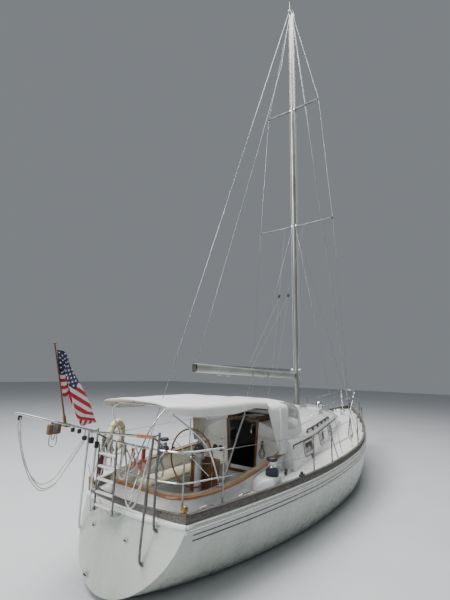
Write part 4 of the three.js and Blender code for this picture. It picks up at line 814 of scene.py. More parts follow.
def sheer(x):
    end, high = (BOW_X, SHEER_BOW) if x >= SHEER_LOW_X else (STERN_X, SHEER_STERN)
    return SHEER_LOW + (high - SHEER_LOW) * ((x - SHEER_LOW_X) / (end - SHEER_LOW_X)) ** 2


def bottom(x):
    if x < DEEP_X:
        return -DEPTH + (DEPTH + TIP_Z) * ((DEEP_X - x) / (DEEP_X - STERN_X)) ** 2
    canoe = -DEPTH + DEPTH * ((x - DEEP_X) / 4.8) ** 2.2
    stem = STEM_FOOT[1] + (x - STEM_FOOT[0]) * STEM_FOOT[2]
    return min(max(canoe, stem), sheer(x) - 0.06)


def hull_at(x, turn, inset=0.0):
    """y and z of the hull at a station; turn runs from the starboard sheer, 0, to the port one, pi."""
    fore = fore_share(x) ** 1.5
    aft = clamp((BEAM_X - x) / (BEAM_X - STERN_X), 0, 1)
    out = cos(turn)
    down = max(sin(turn), 0) ** (2 / (2.5 - fore - 0.5 * aft))
    half = half_breadth(x) - inset
    y = -copysign(half * abs(out) ** (2 / (2 - 0.7 * fore)), out)
    top = sheer(x)
    return y, top - down * (top - bottom(x) - inset)


def transom_x(y, z):
    return TRANSOM_X + TRANSOM_CAMBER * (y / STERN_HALF) ** 2 + (z - TRANSOM_Z) * TRANSOM_RAKE


def deck_top(x, y):
    half = half_breadth(x)
    rise = DECK_CAMBER * half * (1 - clamp(y / half, -1, 1) ** 2)
    return sheer(x) + 0.0004 + rise + DECK_THICK


def hull_piece():
    along, around, across = 110, 72, 16
    turns = [pi * (0.5 - 0.5 * cos(pi * j / around)) for j in range(around + 1)]
    turns = [lerp(t, pi * j / around, 0.5) for j, t in enumerate(turns)]
    starts = []
    for turn in turns:
        x = -5.3
        for _ in range(60):
            y, z = hull_at(x, turn)
            x = lerp(x, transom_x(y, z), 0.7)
        starts.append(x)
    kit = Kit()
    rows = []
    for i in range(along + 1):
        s = i / along
        s = lerp(s, 1 - (1 - s) ** 1.6, 0.55)
        row = []
        for turn, x0 in zip(turns, starts):
            x = lerp(x0, BOW_X, s)
            y, z = hull_at(x, turn)
            if abs(turn - pi / 2) < 1e-9:
                y = 0.0
            row.append(Vector((x, y, z)))
        rows.append(row)
    kit.grid(rows)
    stern = []
    for j in range(around // 2 + 1):
        a, b = rows[0][j], rows[0][around - j]
        line = []
        for k in range(across + 1):
            y = lerp(a.y, b.y, k / across)
            z = lerp(a.z, b.z, k / across)
            line.append(Vector((transom_x(y, z), y, z)))
        line[0], line[-1] = a, b
        stern.append(line)
    kit.grid(stern)
    obj = kit.piece("hull_moulding", "hull", replaces=["hull_shell"], smooth=50)
    thicken(obj, HULL_SHELL, 50)


def underwater():
    """Foils, shaft and propeller keep their solids; each gets its finish."""
    for node in ("keel", "skeg", "rudder_blade"):
        refinish(node, LOOK["bottom"])
    for node in ("shaft_bracket", "propeller"):
        refinish(node, LOOK["bronze"])
    refinish("engine_block", LOOK["engine_green"])


def refinish(node, material):
    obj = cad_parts[node]
    obj.data.materials.clear()
    obj.data.materials.append(material)
    for slot in obj.material_slots:
        slot.material = material


# Outline of the deck's edge


def edge_line():
    """The sheer line in plan: the points across the stern, then the port side from stern to bow."""
    corner, step, stern_steps = -5.09, 0.09, 22
    side = []
    x = corner
    while x < BOW_X - 0.02:
        side.append((x, half_breadth(x)))
        x += step if x < 4.7 else step * 0.45
    stern = []
    wide = half_breadth(corner)
    for k in range(1, stern_steps):
        y = lerp(-wide, wide, k / stern_steps)
        stern.append((transom_x(y, TRANSOM_Z), y))
    return stern, side + [(BOW_X - 0.004, 0.030)]


def edge_ring(profile, x, y, a, b):
    """profile's (outward, up) points on the sheer at x, y, which has a and b as neighbours."""
    out = Vector((b[1] - a[1], a[0] - b[0], 0)).normalized()
    if out.x * x + out.y * y < 0:
        out.negate()
    if abs(y) < 1e-9 and x > 0:
        out = Vector((1, 0, 0))
    return [Vector((x + out.x * o, y + out.y * o, sheer(x) + u)) for o, u in profile]


def edge_rings(profile, skip_stern=False):
    """Rings round the deck's edge, or from one stern corner over the bow to the other."""
    stern, port = edge_line()
    line = port + [(BOW_X, 0.0)] + [(x, -y) for x, y in port[::-1]]
    if not skip_stern:
        line = stern + line
    n = len(line)
    rows = []
    for i, (x, y) in enumerate(line):
        a = line[i - 1] if (i or not skip_stern) else line[0]
        b = line[(i + 1) % n] if (i < n - 1 or not skip_stern) else line[-1]
        rows.append(edge_ring(profile, x, y, a, b))
    return rows


def toe_rail():
    top = DECK_THICK + RAIL_HIGH
    rail = [
        (-0.006, 0.036), (-0.042, 0.036), (-0.044, top - 0.012), (-0.038, top - 0.002), (-0.024, top),
        (-0.010, top - 0.002), (-0.004, top - 0.012),
    ]
    kit = Kit().grid(edge_rings(rail), wrap=True, loop=True)
    kit.piece("toe_rail_teak", "grey_teak", replaces=["toe_rail"], smooth=50)
    cap = [
        (0.000, top), (-0.048, top), (-0.049, top + 0.005), (-0.040, top + 0.009), (-0.008, top + 0.009),
        (0.001, top + 0.005),
    ]
    kit = Kit().grid(edge_rings(cap), wrap=True, loop=True)
    kit.piece("toe_rail_cap", "grey_teak", smooth=50)


def stern_moulding():
    """The rounded edge between the transom and the aft toe rail."""
    stern, port = edge_line()
    line = [(port[0][0], -port[0][1])] + stern + [port[0]]
    profile = [
        (-0.040, -0.030), (-0.040, 0.038), (0.004, 0.038), (0.011, 0.030), (0.013, 0.012), (0.011, -0.008),
        (0.002, -0.016),
    ]
    rows = []
    for i, (x, y) in enumerate(line):
        rows.append(edge_ring(profile, x, y, line[max(i - 1, 0)], line[min(i + 1, len(line) - 1)]))
    Kit().grid(rows, wrap=True, ends=True).piece("stern_moulding", "gelcoat", smooth=50)


def rub_strake():
    low, high = -0.064, -0.022
    bead = [
        (-0.004, low), (0.012, low + 0.004), (0.018, low + 0.012), (0.020, -0.043), (0.018, high - 0.012),
        (0.012, high - 0.003), (-0.004, high),
    ]
    rows = edge_rings(bead, skip_stern=True)
    Kit().grid(rows, ends=True).piece(
        "rub_strake_bead", "gelcoat", replaces=["rub_strake"], smooth=50, slot="strake_white",
    )
    strip = [(0.016, -0.049), (0.020, -0.047), (0.022, -0.043), (0.020, -0.039), (0.016, -0.037)]
    rows = edge_rings(strip, skip_stern=True)
    Kit().grid(rows, ends=True).piece("rub_strake_strip", "chrome", smooth=50)
    kit = Kit()
    for drop, wide in ((0.088, 0.013), (0.146, 0.016)):
        for side in SIDES:
            rows = []
            for i in range(121):
                x = lerp(-4.98, 5.36, i / 120)
                pts = []
                for z in (sheer(x) - drop, sheer(x) - drop - wide):
                    pts.append(hull_side(x, z, side, 0.0012))
                for z in (sheer(x) - drop - wide, sheer(x) - drop):
                    pts.append(hull_side(x, z, side, -0.002))
                rows.append(pts)
            kit.grid(rows, wrap=True, ends=True)
    kit.piece("cove_lines", "black_plastic", smooth=30, slot="strake_white")


def hull_side(x, z, side, out=0.0):
    """The point of the hull's side at a station and height, found by halving."""
    low, high = 0.0, pi / 2
    for _ in range(26):
        mid = (low + high) / 2
        if hull_at(x, mid)[1] > z:
            low = mid
        else:
            high = mid
    y, zz = hull_at(x, low)
    return Vector((x, side * (abs(y) + out), zz))


# Deck

COCKPIT_AFT, TRUNK_AFT, TRUNK_FORE = -4.96, -2.35, 3.0
# x and half-width.
COCKPIT_OUTLINE = (
    (COCKPIT_AFT, 0.52),
    (-4.88, 0.69),
    (-4.64, 0.85),
    (-4.15, 0.965),
    (-3.30, 0.955),
    (-2.37, 0.90),
)
# The coachroof: x, half-width at its foot, height of its side's top edge and of its crown.
TRUNK = (
    (-2.33, 1.110, 1.400, 1.750),
    (-1.20, 1.035, 1.405, 1.775),
    (0.42, 0.815, 1.420, 1.755),
    (1.50, 0.650, 1.430, 1.700),
    (2.40, 0.495, 1.430, 1.620),
    (2.68, 0.440, 1.415, 1.575),
    (3.02, 0.340, 1.300, 1.350),
)
TRUNK_LEAN, TRUNK_SHOULDER, TRUNK_WALL, TRUNK_FOOT = 0.06, 0.045, 0.038, 0.9
# How far the deck runs on under the coaming and under the coachroof's side.
UNDER_EDGE = 0.03


def cockpit_half(x):
    return smooth_row(COCKPIT_OUTLINE, x, 1)


def trunk_half(x):
    return smooth_row(TRUNK, x, 1)


def deck_inner(x):
    if COCKPIT_AFT <= x < TRUNK_AFT:
        return cockpit_half(x) - UNDER_EDGE
    if TRUNK_AFT <= x <= TRUNK_FORE:
        return trunk_half(x) - UNDER_EDGE
    return 0.0


def deck_strip(kit, xs, inner, outer, lift=0.0, across=14, sides=SIDES):
    """A strip of deck surface. inner and outer give half-widths at x."""
    for side in sides:
        rows = []
        for x in xs:
            row = []
            for k in range(across + 1):
                y = side * lerp(inner(x), outer(x), k / across)
                row.append(on_deck(x, y, lift))
            rows.append(row)
        kit.grid(rows)


def spaced(a, b, step):
    n = max(1, round(abs(b - a) / step))
    return [lerp(a, b, i / n) for i in range(n + 1)]


def on_deck(x, y, lift=0.0):
    return Vector((x, y, deck_top(x, y) + lift))


DECK_NODES = ("foredeck", "side_deck_port", "side_deck_starboard", "aft_deck")


def deck_piece():
    kit = Kit()
    rim = lambda x: half_breadth(x) - 0.002
    deck_strip(kit, spaced(COCKPIT_AFT, -2.352, 0.1), lambda x: cockpit_half(x) - UNDER_EDGE, rim)
    deck_strip(kit, spaced(-2.352, TRUNK_FORE, 0.1), lambda x: trunk_half(x) - UNDER_EDGE, rim)
    bow = spaced(TRUNK_FORE, 4.8, 0.1) + spaced(4.86, 5.49, 0.05)
    deck_strip(kit, bow, lambda x: 0.0, rim, across=20)
    for side in SIDES:
        rows = []
        for k in range(25):
            y = side * rim(COCKPIT_AFT) * k / 24
            aft = transom_x(y, TRANSOM_Z) + 0.004
            rows.append([on_deck(lerp(aft, COCKPIT_AFT, i / 4), y) for i in range(5)])
        kit.grid(rows)
    obj = kit.piece("deck_moulding", "gelcoat", replaces=list(DECK_NODES), slot="deck_paint")
    thicken(obj, DECK_SHELL, 40)


PANEL_ROUND, PANEL_LIFT, PANEL_THICK = 0.05, 0.0028, 0.004
# Where each panel starts and ends along the deck.
SIDE_PANELS = ((-4.72, -3.62), (-1.95, -0.75), (-0.68, 0.72), (0.79, 2.10), (2.17, 3.02))
BOW_PANELS = ((3.10, 3.86), (4.32, 4.78))
# How far the panels stay off what is inside them, off the deck's edge, and both on the foredeck.
PANEL_IN, PANEL_OUT, BOW_PANEL_IN, BOW_PANEL_OUT = 0.105, 0.115, 0.03, 0.13


def corner_cut(x, x0, x1):
    """How far a panel's edge draws in near its ends, for rounded corners."""
    r = PANEL_ROUND
    d = min(x - x0, x1 - x)
    return 0.0 if d >= r else r - sqrt(max(r * r - (r - d) ** 2, 0))


def panel_stations(x0, x1):
    r = PANEL_ROUND
    near = [r * (1 - cos(pi / 2 * k / 5)) for k in range(6)]
    return [x0 + d for d in near] + spaced(x0 + r, x1 - r, 0.12)[1:-1] + [x1 - d for d in near[::-1]]


def non_skid():
    kit = Kit()
    for x0, x1 in SIDE_PANELS:
        inner = lambda x: deck_inner(x) + PANEL_IN + corner_cut(x, x0, x1)
        outer = lambda x: half_breadth(x) - PANEL_OUT - corner_cut(x, x0, x1)
        deck_strip(kit, panel_stations(x0, x1), inner, outer, PANEL_LIFT, 10)
    for x0, x1 in BOW_PANELS:
        outer = lambda x: half_breadth(x) - BOW_PANEL_OUT - corner_cut(x, x0, x1)
        deck_strip(kit, panel_stations(x0, x1), lambda x: BOW_PANEL_IN, outer, PANEL_LIFT, 12)
    obj = kit.piece("non_skid_panels", "non_skid")
    thicken(obj, PANEL_THICK, 40)


# Coachroof


def trunk_row(x):
    return [smooth_row(TRUNK, x, k) for k in (1, 2, 3)]


def trunk_section(x, foot=TRUNK_FOOT):
    """Half a section from the foot of the side over the shoulder to the crown: (y, z)."""
    half, edge, crown = trunk_row(x)
    low = (half - TRUNK_LEAN, edge - 0.03)
    high = (half - TRUNK_LEAN - TRUNK_SHOULDER, edge + 0.026)
    side = [(lerp(half, low[0], t), lerp(foot, low[1], t)) for t in (0, 0.25, 0.5, 0.75, 0.9)]
    bend = []
    # A quadratic curve over the shoulder, inside the solid's two corners.
    corner = (low[0] - 0.004, edge + 0.016)
    start = (lerp(half, low[0], 0.955), lerp(foot, low[1], 0.955))
    stop_share = 0.93
    stop = (high[0] * stop_share, lerp(crown, high[1], stop_share**2))
    for k in range(9):
        t = k / 8
        y = (1 - t) ** 2 * start[0] + 2 * t * (1 - t) * corner[0] + t * t * stop[0]
        z = (1 - t) ** 2 * start[1] + 2 * t * (1 - t) * corner[1] + t * t * stop[1]
        bend.append((y, z))
    roof = []
    for k in range(1, 11):
        share = stop_share * (1 - k / 10)
        roof.append((high[0] * share, lerp(crown, high[1], share**2)))
    return side + bend + roof


def roof_z(x, y):
    half, edge, crown = trunk_row(x)
    wide = half - TRUNK_LEAN - TRUNK_SHOULDER
    return lerp(crown, edge + 0.026, clamp(abs(y) / wide, 0, 1) ** 2)


def trunk_side_y(x, z, inset=0.0):
    half, edge, _ = trunk_row(x)
    half -= inset
    top = edge - inset * 0.9 - 0.03
    return half - TRUNK_LEAN * (z - TRUNK_FOOT) / (top - TRUNK_FOOT)


# x of the middle, width and height.
WINDOWS = (
    (-1.44, 0.52, 0.21),
    (-0.27, 0.48, 0.21),
    (0.83, 0.42, 0.19),
)
WINDOW_ROUND = 0.045
# (inward, outward) section of a window's frame, and how far behind the pane its curtain hangs.
WINDOW_FRAME = (
    (-0.010, 0), (-0.008, 0.006), (0.016, 0.007), (0.022, 0.002), (0.022, -0.03), (-0.010, -0.002),
)
CURTAIN_BACK = 0.075


def window_z(x):
    low = deck_top(x, trunk_half(x))
    return lerp(low, trunk_row(x)[1], 0.56)


def rounded_rect(wide, high, r, steps=6):
    pts = []
    for cx, cz, a0 in (
        (wide / 2 - r, high / 2 - r, 0), (-wide / 2 + r, high / 2 - r, 90),
        (-wide / 2 + r, -high / 2 + r, 180), (wide / 2 - r, -high / 2 + r, 270),
    ):
        for k in range(steps + 1):
            a = radians(a0 + 90 * k / steps)
            pts.append((cx + r * cos(a), cz + r * sin(a)))
    return pts


def cut_with(obj, kit):
    tool = kit.object("cutter")
    modifier(obj, "BOOLEAN", operation="DIFFERENCE", object=tool, solver="EXACT")
    apply_modifiers(obj)
    bpy.data.objects.remove(tool)


def coachroof():
    xs = spaced(-2.33, 2.4, 0.11) + spaced(2.4, 3.02, 0.05)[1:]
    rows = []
    for x in xs:
        half = [Vector((x, y, z)) for y, z in trunk_section(x)]
        rows.append(half + mirrored(half)[1:])
    kit = Kit().grid(rows)
    kit.cap(rows[-1])
    obj = kit.piece("coachroof_moulding", "gelcoat", replaces=["coachroof"], smooth=35)
    modifier(obj, "SOLIDIFY", thickness=TRUNK_WALL - 0.004, offset=-1)
    apply_modifiers(obj)
    holes = Kit()
    for side in SIDES:
        for x, wide, high in WINDOWS:
            outline = rounded_rect(wide, high, WINDOW_ROUND)
            z0 = window_z(x)
            y = side * trunk_side_y(x, z0)
            ring = [[Vector((x + a, y + d, z0 + b)) for a, b in outline] for d in (-0.2, 0.2)]
            holes.grid(ring, wrap=True, ends=True)
    holes.box((-2.6, -0.335, 1.5), (-1.67, 0.335, 2.1))
    holes.box((1.702, -0.228, 1.4), (2.158, 0.228, 2.1))
    cut_with(obj, holes)
    shade(obj, 35)


def roof_panels():
    """Non-skid areas of the coachroof on both sides of the hatches."""
    kit = Kit()
    for x0, x1, a in ((-1.25, 0.18, 0.50), (0.70, 1.58, 0.10), (2.28, 2.62, 0.06)):
        for side in SIDES:
            rows = []
            for x in panel_stations(x0, x1):
                inset = corner_cut(x, x0, x1)
                wide = trunk_half(x) - 0.30
                row = []
                for k in range(9):
                    y = side * lerp(a + inset, wide - inset, k / 8)
                    row.append(Vector((x, y, roof_z(x, y) + PANEL_LIFT)))
                rows.append(row)
            kit.grid(rows)
    obj = kit.piece("coachroof_non_skid", "non_skid")
    modifier(obj, "SOLIDIFY", thickness=PANEL_THICK, offset=-1)
    apply_modifiers(obj)


def side_strip(side, x, z, out):
    """A point on the coachroof's side, out from its face."""
    return Vector((x, side * (trunk_side_y(x, z) + out), z))


def windows():
    frames, panes, curtains, seals = Kit(), {PORT: Kit(), STARBOARD: Kit()}, Kit(), Kit()
    for side in SIDES:
        for x, wide, high in WINDOWS:
            z0 = window_z(x)
            rim = rounded_rect(wide + 0.030, high + 0.030, WINDOW_ROUND + 0.015, 7)
            plate = rounded_rect(wide + 0.105, high + 0.095, WINDOW_ROUND + 0.045, 7)
            path = [side_strip(side, x + a, z0 + b, 0.004) for a, b in rim]
            n = len(path)
            rows = []
            for i, p in enumerate(path):
                along = (path[(i + 1) % n] - path[i - 1]).normalized()
                out = Vector((0, side, 0))
                inward = out.cross(along).normalized()
                if inward.dot(Vector((x, p.y, z0)) - p) < 0:
                    inward.negate()
                rows.append([p + inward * a + out * b for a, b in WINDOW_FRAME])
            frames.grid(rows, wrap=True, loop=True)
            ring = []
            for (a, b), (c, d) in zip(plate, rim):
                outer = side_strip(side, x + a, z0 + b, 0.0)
                inner = side_strip(side, x + lerp(a, c, 0.92), z0 + lerp(b, d, 0.92), 0.0)
                face = outer + Vector((0, side * 0.004, 0))
                ring.append([outer, face, inner + Vector((0, side * 0.005, 0)), inner])
            seals.grid(ring, wrap=True, loop=True)
            pane = rounded_rect(wide - 0.012, high - 0.012, WINDOW_ROUND - 0.006)
            ring = [[side_strip(side, x + a, z0 + b, d) for a, b in pane] for d in (-0.022, -0.016)]
            panes[side].grid(ring, wrap=True, ends=True)
            rows = []
            for k in range(49):
                t = k / 48
                cx = x + (t - 0.5) * (wide + 0.02)
                fold = 0.008 * sin(t * 30) + 0.004 * sin(t * 71 + x)
                rows.append(
                    [side_strip(side, cx, z0 + b, fold - CURTAIN_BACK) for b in (-high * 0.6, high * 0.5)]
                )
            curtains.grid(rows)
    frames.piece("window_frames", "white_plastic", slot="stainless")
    seals.piece("window_surrounds", "window_rim")
    for side, name in NAMED_SIDES:
        panes[side].piece("window_panes_" + name, "glass", replaces=["window_glass_" + name])
    obj = curtains.piece("window_curtains", "curtain", smooth=60, slot="canvas")
    thicken(obj, 0.002, 60)


def eyebrows():
    """The dark trim along the top of each side of the coachroof, turned down at its aft end."""
    kit = Kit()
    for side in SIDES:
        line = [(-2.300, -0.088), (-2.297, -0.050), (-2.285, -0.040), (-2.26, -0.037)]
        line += [(x, -0.036) for x in spaced(-2.20, 1.95, 0.1)]
        path = []
        for x, drop in line:
            z = trunk_row(x)[1] + drop
            path.append(Vector((x, side * (trunk_side_y(x, z) + 0.004), z)))
        kit.tube(path, 0.0125, 8)
    kit.piece("coachroof_eyebrows", "black_teak", smooth=50)


RAIL_ENDS, RAIL_FEET, RAIL_WIDE = (-1.31, 1.15), 6, 0.017


def handrails():
    length = RAIL_ENDS[1] - RAIL_ENDS[0]
    for side, name in NAMED_SIDES:
        rows = []
        for i in range(197):
            t = i / 196
            x = lerp(*RAIL_ENDS, t)
            y = side * (trunk_half(x) - 0.125)
            z = roof_z(x, y)
            phase = (t * (RAIL_FEET - 1)) % 1
            near = min(phase, 1 - phase) * length / (RAIL_FEET - 1)
            arch = 0.046 * sin(clamp((near - 0.035) / 0.06, 0, 1) * pi / 2)
            low = -0.006 if near < 0.035 else arch
            end = min(t, 1 - t) * length
            top = 0.078 * ease(min(1, 0.35 + end / 0.12))
            low = min(low, top - 0.014)
            ring = (
                (-1, low + 0.002), (1, low + 0.002), (1, top - 0.008), (0.5, top), (-0.5, top),
                (-1, top - 0.008),
            )
            rows.append([Vector((x, y + RAIL_WIDE * share, z + up)) for share, up in ring])
        kit = Kit().grid(rows, wrap=True, ends=True)
        kit.piece("teak_handrail_" + name, "black_teak", replaces=["handrail_" + name], smooth=50)


# Cockpit

SEAT_Z, SOLE_Z, WELL_HALF, WELL_AFT, COCKPIT_FORE = 0.86, 0.45, 0.392, -4.41, -2.37
COAMING_WALL, COAMING_LOW, COAMING_HIGH = 0.10, 1.06, 1.215


def coaming_z(x):
    return lerp(COAMING_LOW, COAMING_HIGH, (x - COCKPIT_AFT) / (COCKPIT_FORE - COCKPIT_AFT))


def cockpit_line(inset, fore=COCKPIT_FORE):
    """The cockpit's outline from the starboard fore corner round the stern to the port one."""
    pts = []
    for x, half in reversed(COCKPIT_OUTLINE):
        at = fore if x == COCKPIT_OUTLINE[-1][0] else x
        pts.append(Vector((at, -(half - inset), 0)))
    aft_x = COCKPIT_OUTLINE[0][0] + inset
    pts[-1] = Vector((aft_x, pts[-1].y + inset * 0.4, 0))
    pts[-2] = Vector((pts[-2].x + inset * 0.75, pts[-2].y, 0))
    pts[-3] = Vector((pts[-3].x + inset * 0.35, pts[-3].y, 0))
    mid = [Vector((aft_x, y, 0)) for y in (-0.25, 0, 0.25)]
    return smooth_path(pts + mid + mirrored(pts), 120)


def between_lines(outer, inner, share):
    return [a.lerp(b, share) for a, b in zip(outer, inner)]


def coaming():
    """The moulded wall round the cockpit, from the side deck over its top and down to the seats."""
    outer = cockpit_line(0.004)
    inner = cockpit_line(COAMING_WALL - 0.004)
    shape = (
        (0.00, "deck", 0.0), (0.00, "top", -0.030), (0.06, "top", -0.010), (0.20, "top", -0.001),
        (0.80, "top", -0.001), (0.94, "top", -0.010), (1.00, "top", -0.030), (1.00, "seat", 0.02),
        (1.06, "seat", 0.004), (1.20, "seat", 0.0),
    )
    rows = []
    for a, b in zip(outer, inner):
        row = []
        for share, level, up in shape:
            p = a.lerp(b, share)
            z = {"deck": 0.87, "top": coaming_z(p.x), "seat": SEAT_Z}[level] + up
            row.append(Vector((p.x, p.y, z)))
        rows.append(row)
    kit = Kit().grid(rows)
    # Seats and aft deck between the coaming and the footwell.
    inner2 = between_lines(outer, inner, 1.18)
    well = []
    for p in inner2:
        x = clamp(p.x, WELL_AFT, COCKPIT_FORE)
        y = clamp(p.y, -WELL_HALF, WELL_HALF)
        well.append(Vector((x, y, 0)))
    rows = []
    for a, b in zip(inner2, well):
        rows.append([Vector((*a.lerp(b, k / 6).to_2d(), SEAT_Z)) for k in range(7)])
    kit.grid(rows)
    obj = kit.piece("cockpit_moulding", "gelcoat", replaces=["cockpit_tub"], smooth=35)
    thicken(obj, 0.008, 35)
    footwell()
    winch_pads()


def footwell():
    kit = Kit()
    aft, fore = WELL_AFT, COCKPIT_FORE + 0.03
    rows = []
    for inset, z in (
        (-0.004, SEAT_Z + 0.001), (0.004, SEAT_Z - 0.006), (0.004, SOLE_Z + 0.035), (0.014, SOLE_Z + 0.010),
        (0.034, SOLE_Z + 0.001),
    ):
        outline = rounded_rect(fore - aft - 2 * inset, 2 * (WELL_HALF - inset), 0.05 - inset)
        rows.append([Vector(((aft + fore) / 2 + a, b, z)) for a, b in outline])
    kit.grid(rows, wrap=True)
    kit.cap(rows[-1])
    obj = kit.piece("footwell_moulding", "gelcoat")
    thicken(obj, 0.006, 40, offset=1)
    cockpit_grating()
    locker_lids()


def cockpit_grating():
    """Nine slats on three bearers, on the footwell's sole."""
    grate = Kit()
    for k in range(9):
        y = lerp(-0.30, 0.30, k / 8)
        grate.box((-3.46, y - 0.026, SOLE_Z + 0.010), (-2.44, y + 0.026, SOLE_Z + 0.026), 0.003, 1)
    for x in (-3.38, -2.95, -2.52):
        grate.box((x - 0.02, -0.33, SOLE_Z + 0.002), (x + 0.02, 0.33, SOLE_Z + 0.012))
    grate.piece("cockpit_grating", "dark_teak")


def locker_lids():
    lids = Kit()
    for side in SIDES:
        for x0, x1 in ((-4.25, -3.45), (-3.38, -2.55)):
            low, high = (x0, WELL_HALF + 0.02, SEAT_Z - 0.002), (x1, WELL_HALF + 0.20, SEAT_Z + 0.0015)
            lids.box_on(side, low, high, 0.001, 1)
    lids.piece("locker_lids", "gelcoat")


WINCH_AT = (-3.34, 1.15, 1.112)


def winch_pads():
    kit = Kit()
    for side in SIDES:
        x, y, z = WINCH_AT
        rows = []
        for at, a, b, drop in (
            (x - 0.325, -0.215, -0.075, 0.10), (x - 0.26, -0.225, 0.02, 0.045),
            (x - 0.16, -0.225, 0.095, 0.012), (x - 0.06, -0.225, 0.118, 0.003),
            (x + 0.06, -0.225, 0.120, 0.003), (x + 0.16, -0.225, 0.108, 0.008),
            (x + 0.28, -0.225, 0.045, 0.035), (x + 0.41, -0.220, -0.060, 0.09),
        ):
            top = z - 0.002 - drop
            foot = lambda yy, xx=at: deck_top(xx, yy) - 0.01
            ys = [y + a, y + a, y + lerp(a, b, 0.12), y + lerp(a, b, 0.8), y + lerp(a, b, 0.93), y + b]
            zs = [foot(ys[0]), top, top, top, top - 0.012, foot(ys[5])]
            zs = [max(v, foot(yy)) for v, yy in zip(zs, ys)]
            rows.append([Vector((at, side * yy, v)) for yy, v in zip(ys, zs)])
        kit.grid(rows, ends=False)
        for row in (rows[0], rows[-1]):
            kit.cap(row)
    kit.piece("winch_pads", "gelcoat", smooth=55)


# (share of the way over the coaming, height) of the wooden cap and of its varnished edge.
CAP = (
    (0.0, 0.004), (0.0, 0.017), (0.03, 0.024), (0.10, 0.0275), (0.5, 0.028), (0.90, 0.0275),
    (0.97, 0.024), (1.0, 0.017), (1.0, 0.004), (0.5, 0.001),
)
CAP_EDGE = (
    (-0.012, 0.000), (-0.012, 0.0175), (0.024, 0.0255), (0.10, 0.0287), (0.34, 0.0290),
    (0.34, 0.0270), (0.03, 0.018),
)


def coaming_cap():
    outer = cockpit_line(-0.011)
    inner = cockpit_line(COAMING_WALL + 0.011)
    for name, look, replaces, shape in (
        ("coaming_cap_teak", "cap_wood", ["coaming_cap"], CAP),
        ("coaming_cap_edge", "varnish", (), CAP_EDGE),
    ):
        rows = []
        for a, b in zip(outer, inner):
            points = [(a.lerp(b, share), up) for share, up in shape]
            rows.append([Vector((p.x, p.y, coaming_z(p.x) + up)) for p, up in points])
        Kit().grid(rows, wrap=True, ends=True).piece(name, look, replaces=replaces, smooth=50)


# Cabin bulkhead, companionway and hatches

BULK_AFT = -2.364
DOOR_TOP, DOOR_FOOT, DOOR_Z = 0.345, 0.265, 0.810


def bulkhead():
    refinish("cabin_bulkhead", LOOK["gelcoat"])
    refinish("companionway_steps", LOOK["varnish_up"])
    trim = Kit()
    x0, x1 = BULK_AFT - 0.026, BULK_AFT - 0.0006
    for side in SIDES:
        rows = []
        for z in (0.752, 0.9, 1.2, 1.5, 1.72):
            t = (z - DOOR_Z) / (1.9 - DOOR_Z)
            y = lerp(DOOR_FOOT, DOOR_TOP, t) if z > 0.76 else DOOR_FOOT
            y0, y1 = y + 0.003, y + 0.040
            ring = [
                (x1, y0), (x0 + 0.006, y0), (x0, y0 + 0.006), (x0, y1 - 0.008), (x0 + 0.008, y1), (x1, y1),
            ]
            rows.append([Vector((x, side * yy, z)) for x, yy in ring])
        trim.grid(rows, wrap=True, ends=True)
    trim.box((x0, -0.30, 0.751), (x1, 0.30, DOOR_Z - 0.005), 0.004)
    trim.piece("companionway_frame", "varnish_up")
    cabin()


def cabin():
    """What shows through the companionway: sole, lockers, the fore bulkhead and berth pads."""
    sole = Kit().box((-2.20, -0.90, -0.199), (3.0, 0.90, -0.185), 0.004)
    sole.piece("cabin_sole", "sole_wood")
    inside = Kit()
    for side in SIDES:
        inside.box_on(side, (-1.30, 0.62, -0.18), (1.6, 0.90, 0.16), 0.02)
    for side in SIDES:
        for a, b, top in ((0.22, 0.45, 1.33), (0.451, 0.90, 0.88)):
            inside.box_on(side, (2.0, a, -0.18), (2.02, b, top), 0.004)
    inside.piece("cabin_furniture", "dark_teak")
    pads = Kit()
    for side in SIDES:
        pads.box_on(side, (-1.28, 0.64, 0.163), (1.58, 0.89, 0.26), 0.03, 3)
    obj = pads.piece("berth_pads", "curtain", slot="cushion")


def bulkhead_fittings():
    wood = Kit()
    # The dark slats over the companionway, under the hatch's aft edge.
    for k in range(3):
        z = 1.712 + k * 0.024
        wood.box((BULK_AFT - 0.014, -0.345, z), (BULK_AFT + 0.010, 0.345, z + 0.015), 0.003, 1)
    wood.piece("companionway_head", "dark_teak")
    grab = Kit()
    for ends in (((0.46, 1.30), (0.78, 1.34)), ((-0.41, 1.44), (-0.74, 1.41))):
        (y0, z0), (y1, z1) = ends
        foot = BULK_AFT - 0.002
        pts = [
            (foot, y0, z0), (foot - 0.043, lerp(y0, y1, 0.02), z0),
            (foot - 0.048, lerp(y0, y1, 0.12), lerp(z0, z1, 0.12)),
            (foot - 0.048, lerp(y0, y1, 0.88), lerp(z0, z1, 0.88)), (foot - 0.043, lerp(y0, y1, 0.98), z1),
            (foot, y1, z1),
        ]
        grab.tube(smooth_path(pts, 24), 0.011)
        for p in (pts[0], pts[-1]):
            grab.lathe([(0, 0), (0.022, 0), (0.022, 0.004), (0, 0.006)], p, (-1, 0, 0), 16)
    grab.piece("bulkhead_grab_bars", "white_plastic", slot="stainless")
    dials = Kit()
    rims = Kit()
    dial = [(0, 0), (0.045, 0), (0.045, 0.012), (0, 0.012)]
    rim = [(0.045, 0), (0.058, 0), (0.058, 0.014), (0.045, 0.018), (0.0449, 0.0)]
    for y in (0.50, 0.64):
        at = (BULK_AFT - 0.0005, y, 1.12)
        dials.lathe(dial, at, (-1, 0, 0), 28)
        rims.lathe(rim, at, (-1, 0, 0), 28)
    dials.piece("instrument_glasses", "lens")
    rims.piece("instrument_rims", "black_plastic")


HATCH_X, HATCH_Z, HATCH_SIDE = 1.93, 1.735, 0.578


